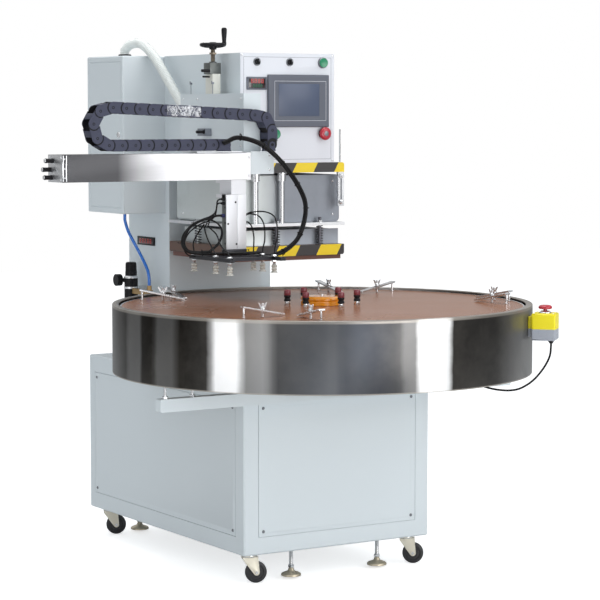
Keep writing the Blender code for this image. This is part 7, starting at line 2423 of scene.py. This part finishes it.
@dataclass
class Caster:
    """One swivel caster: plate, ball race, pressed fork, wheel and axle nut."""

    side: str
    x: float
    y: float
    heading: float
    trail: float = 0.020
    radius: float = 0.0325
    axle_z: float = -0.0575

    def at(self, along: float, across: float) -> tuple[float, float]:
        """A point beside the swivel axis, turned with the caster."""
        c, s = math.cos(math.radians(self.heading)), math.sin(math.radians(self.heading))
        return self.x + c * along - s * across, self.y + s * along + c * across

    def build(self) -> None:
        """Builds the fork with its race and nuts, and the wheel."""
        fork, wheel = f"caster_fork_{self.side}", f"caster_wheel_{self.side}"
        refined(fork, CREAM_ZINC, width=0.0005)
        solid(f"{fork}_race", ZINC, (fork,), lathe, [(0, -0.0036), (0.0200, -0.0036), (0.0212, -0.0046),
                                                     (0.0216, -0.0070), (0.0196, -0.0082), (0.0206, -0.0094),
                                                     (0.0214, -0.0112), (0.0206, -0.0122), (0, -0.0122)],
              40, (self.x, self.y, 0))
        c, s = math.cos(math.radians(self.heading)), math.sin(math.radians(self.heading))
        spots = [Spot((*self.at(self.trail, side * 0.0142), self.axle_z), (-s * side, c * side, 0),
                      0.4) for side in (-1, 1)]
        scatter(f"{fork}_nuts", hex_pattern(), spots, ZINC, fork, 0.52)
        self.build_wheel(wheel)

    def build_wheel(self, wheel: str) -> None:
        """A moulded wheel: tyre, dished web and hub, turned along its axle."""
        r = self.radius
        half = [(0.0044, 0.0110), (0.0100, 0.0110), (0.0108, 0.0102), (0.0116, 0.0072), (0.0208, 0.0066),
                (0.0216, 0.0076),
                (0.0228, 0.0092), (r - 0.0042, 0.0092), (r - 0.0016, 0.0076), (r - 0.0003, 0.0040),
                (r - 0.00005, 0.0)]
        profile = half + [(radius, -height) for radius, height in half[-2::-1]] + [half[0]]
        shape = bmesh.new()
        lathe(shape, profile, 64, (0, 0, 0), Axis.Y)
        x, y = self.at(self.trail, 0)
        turn = Matrix.Translation((x, y, self.axle_z)) @ Matrix.Rotation(math.radians(self.heading), 4, "Z")
        bmesh.ops.transform(shape, matrix=turn, verts=shape.verts)
        piece(f"{wheel}_tyre", shape, TYRE, wheel, wheel)


@dataclass
class Foot:
    """One levelling foot: pad, swivel boss, locknut and threaded stud."""

    side: str
    x: float
    y: float

    def build(self) -> None:
        """Turns the foot and its thread in place of the CAD's."""
        node = f"levelling_foot_{self.side}"
        low = -0.082
        solid(f"{node}_pad", BRONZE_ZINC, (node, node), lathe,
              [(0, 0.0230), (0.0060, 0.0230), (0.0085, 0.0205), (0.0098, 0.0160), (0.0120, 0.0140),
               (0.0250, 0.0092), (0.0285, 0.0070), (0.0298, 0.0050), (0.0300, 0.0012), (0.0290, 0.0000),
               (0, 0.0)], 64, (self.x, self.y, low))
        shape = bmesh.new()
        ridges = thread(0.0059, 0.0052, 0.1155, 0.0220, 60)
        lathe(shape, [(0, 0.1165), (0.0050, 0.1165), *ridges, (0, 0.0215)], 20, (self.x, self.y, low))
        lathe(shape, [(0, 0.0322), (0.0088, 0.0322), (0.0099, 0.0313), (0.0099, 0.0252), (0.0088, 0.0243),
                      (0, 0.0243)], 6,
              (self.x, self.y, low))
        piece(f"{node}_stud", shape, ZINC, node)


# The studio, and the order of building


@dataclass
class Studio:
    """Floor, world, lamps and the photograph's camera."""

    eye: tuple[float, float, float] = (-3.1937, -5.4771, 1.2753)
    tilt: float = 85.245
    heading: float = -31.71
    lens: float = 132.9

    def build(self) -> None:
        """Builds everything that isn't part of the machine."""
        self.build_floor()
        self.build_world()
        self.build_lamps()
        self.build_camera()
        bpy.context.scene.view_settings.view_transform = "Standard"

    def build_floor(self) -> None:
        """A wide white floor that shows to the camera as the white background, but keeps shadows."""
        shape = bmesh.new()
        bmesh.ops.create_grid(shape, x_segments=1, y_segments=1, size=12.0)
        floor = linked("floor", mesh_of("floor", shape))
        material = bpy.data.materials.new("floor_white")
        material.use_nodes = True
        shade = Shade(material.node_tree)
        shader = material.node_tree.nodes["Principled BSDF"]
        shader.inputs["Base Color"].default_value = (0.92, 0.92, 0.92, 1.0)
        shader.inputs["Roughness"].default_value = 0.9
        shader.inputs["Specular IOR Level"].default_value = 0.0
        glow = shade.node("Emission", Strength=0.62)
        both = shade.node("AddShader")
        shade.fill(both.inputs, shader.outputs[0], glow.outputs[0])
        seen = shade.node("MixShader")
        camera_ray = shade.node("LightPath").outputs["Is Camera Ray"]
        shade.fill(seen.inputs, camera_ray, shader.outputs[0], both.outputs[0])
        shade.link(seen.outputs[0], material.node_tree.nodes["Material Output"].inputs["Surface"])
        floor.data.materials.append(material)

    def build_world(self) -> None:
        """White to the camera; a soft studio of pale walls and dark bands in reflections."""
        world = bpy.data.worlds.new("studio")
        bpy.context.scene.world = world
        world.use_nodes = True
        shade = Shade(world.node_tree)
        back = world.node_tree.nodes["Background"]
        out = world.node_tree.nodes["World Output"]
        x, y, z = shade.split(shade.node("TexCoord").outputs["Generated"])
        turn = shade.math("FRACT", shade.math("MULTIPLY_ADD", shade.math("ARCTAN2", y, x), 1 / TAU, 0.5))
        bands = shade.ramp(turn, (0.0, 0.55), (0.10, 0.95), (0.16, 0.30), (0.22, 0.10), (0.27, 0.85),
                           (0.33, 1.0),
                           (0.38, 0.22), (0.46, 0.12), (0.55, 0.40), (0.70, 0.60), (0.85, 0.35), (1.0, 0.55))
        lift = shade.ramp(z, (0.0, 0.0), (0.35, 0.0), (0.60, 1.0), (1.0, 1.0))
        diffuse = shade.node("Background", Color=(0.93, 0.97, 1.0), Strength=0.63)
        glossy = shade.node("Background", Color=shade.mix(lift, bands, WHITE), Strength=0.95)
        shade.fill(back.inputs, WHITE, 1.0)
        path = shade.node("LightPath").outputs
        inner = shade.node("MixShader")
        shade.fill(inner.inputs, path["Is Glossy Ray"], diffuse.outputs[0], glossy.outputs[0])
        clear = shade.math("MAXIMUM", path["Is Camera Ray"], path["Is Transmission Ray"])
        outer = shade.node("MixShader")
        shade.fill(outer.inputs, clear, inner.outputs[0], back.outputs[0])
        shade.link(outer.outputs[0], out.inputs["Surface"])

    def build_lamps(self) -> None:
        """A soft key from the front right, a low lamp in front, and weaker ones from the left and above."""
        target = placed(0.2, 0.2, 0.6)
        for name, place_at, size, power in (
            ("key", (2.6, -3.6, 2.6), 2.4, 45.0),
            ("front", (0.2, -4.6, 0.5), 2.6, 94.0),
            ("fill", (-3.4, -1.2, 0.3), 2.6, 20.0),
            ("top", (0.2, 0.1, 3.6), 2.2, 46.0),
        ):
            lamp = bpy.data.lights.new(name, "AREA")
            lamp.shape = "SQUARE"
            lamp.size = size
            lamp.energy = power
            obj = linked(name, lamp)
            obj.location = placed(*place_at)
            obj.rotation_euler = (target - obj.location).to_track_quat("-Z", "Y").to_euler()

    def build_camera(self) -> None:
        """The camera that was fitted to the photograph."""
        camera = bpy.data.cameras.new("camera")
        camera.lens = self.lens
        camera.sensor_width = 36.0
        camera.clip_end = 60.0
        obj = linked("camera", camera)
        obj.location = placed(*self.eye)
        obj.rotation_euler = (math.radians(self.tilt), 0, math.radians(self.heading))
        bpy.context.scene.camera = obj


def main() -> None:
    """Builds the machine from the floor up, then the studio."""
    logging.basicConfig(level=logging.INFO, format="%(message)s")
    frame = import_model()
    Row.read(frame)
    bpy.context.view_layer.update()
    Cabinet().build()
    for side, x, y, heading in (("front_left", 0.046, 0.050, -20), ("front_right", 0.604, 0.050, -35),
                                ("rear_left", 0.046, 0.950, -25), ("rear_right", 0.604, 0.950, -40)):
        Caster(side, x, y, heading).build()
    for side, x, y in (("front_left", 0.187, 0.045), ("front_right", 0.492, 0.045),
                       ("rear_left", 0.150, 0.940),
                       ("rear_right", 0.500, 0.940)):
        Foot(side, x, y).build()
    Drum().build()
    Turntable(studs=[clamp.middle() for clamp in CLAMPS]).build()
    for clamp in CLAMPS:
        clamp.build()
    PressFrame().build()
    Generator().build()
    Panel().build()
    Press().build()
    Arm().build()
    Pickup().build()
    Chain().build()
    Lines().build()
    Regulator().build()
    RemoteStop().build()
    Studio().build()


if __name__ == "__main__":
    main()
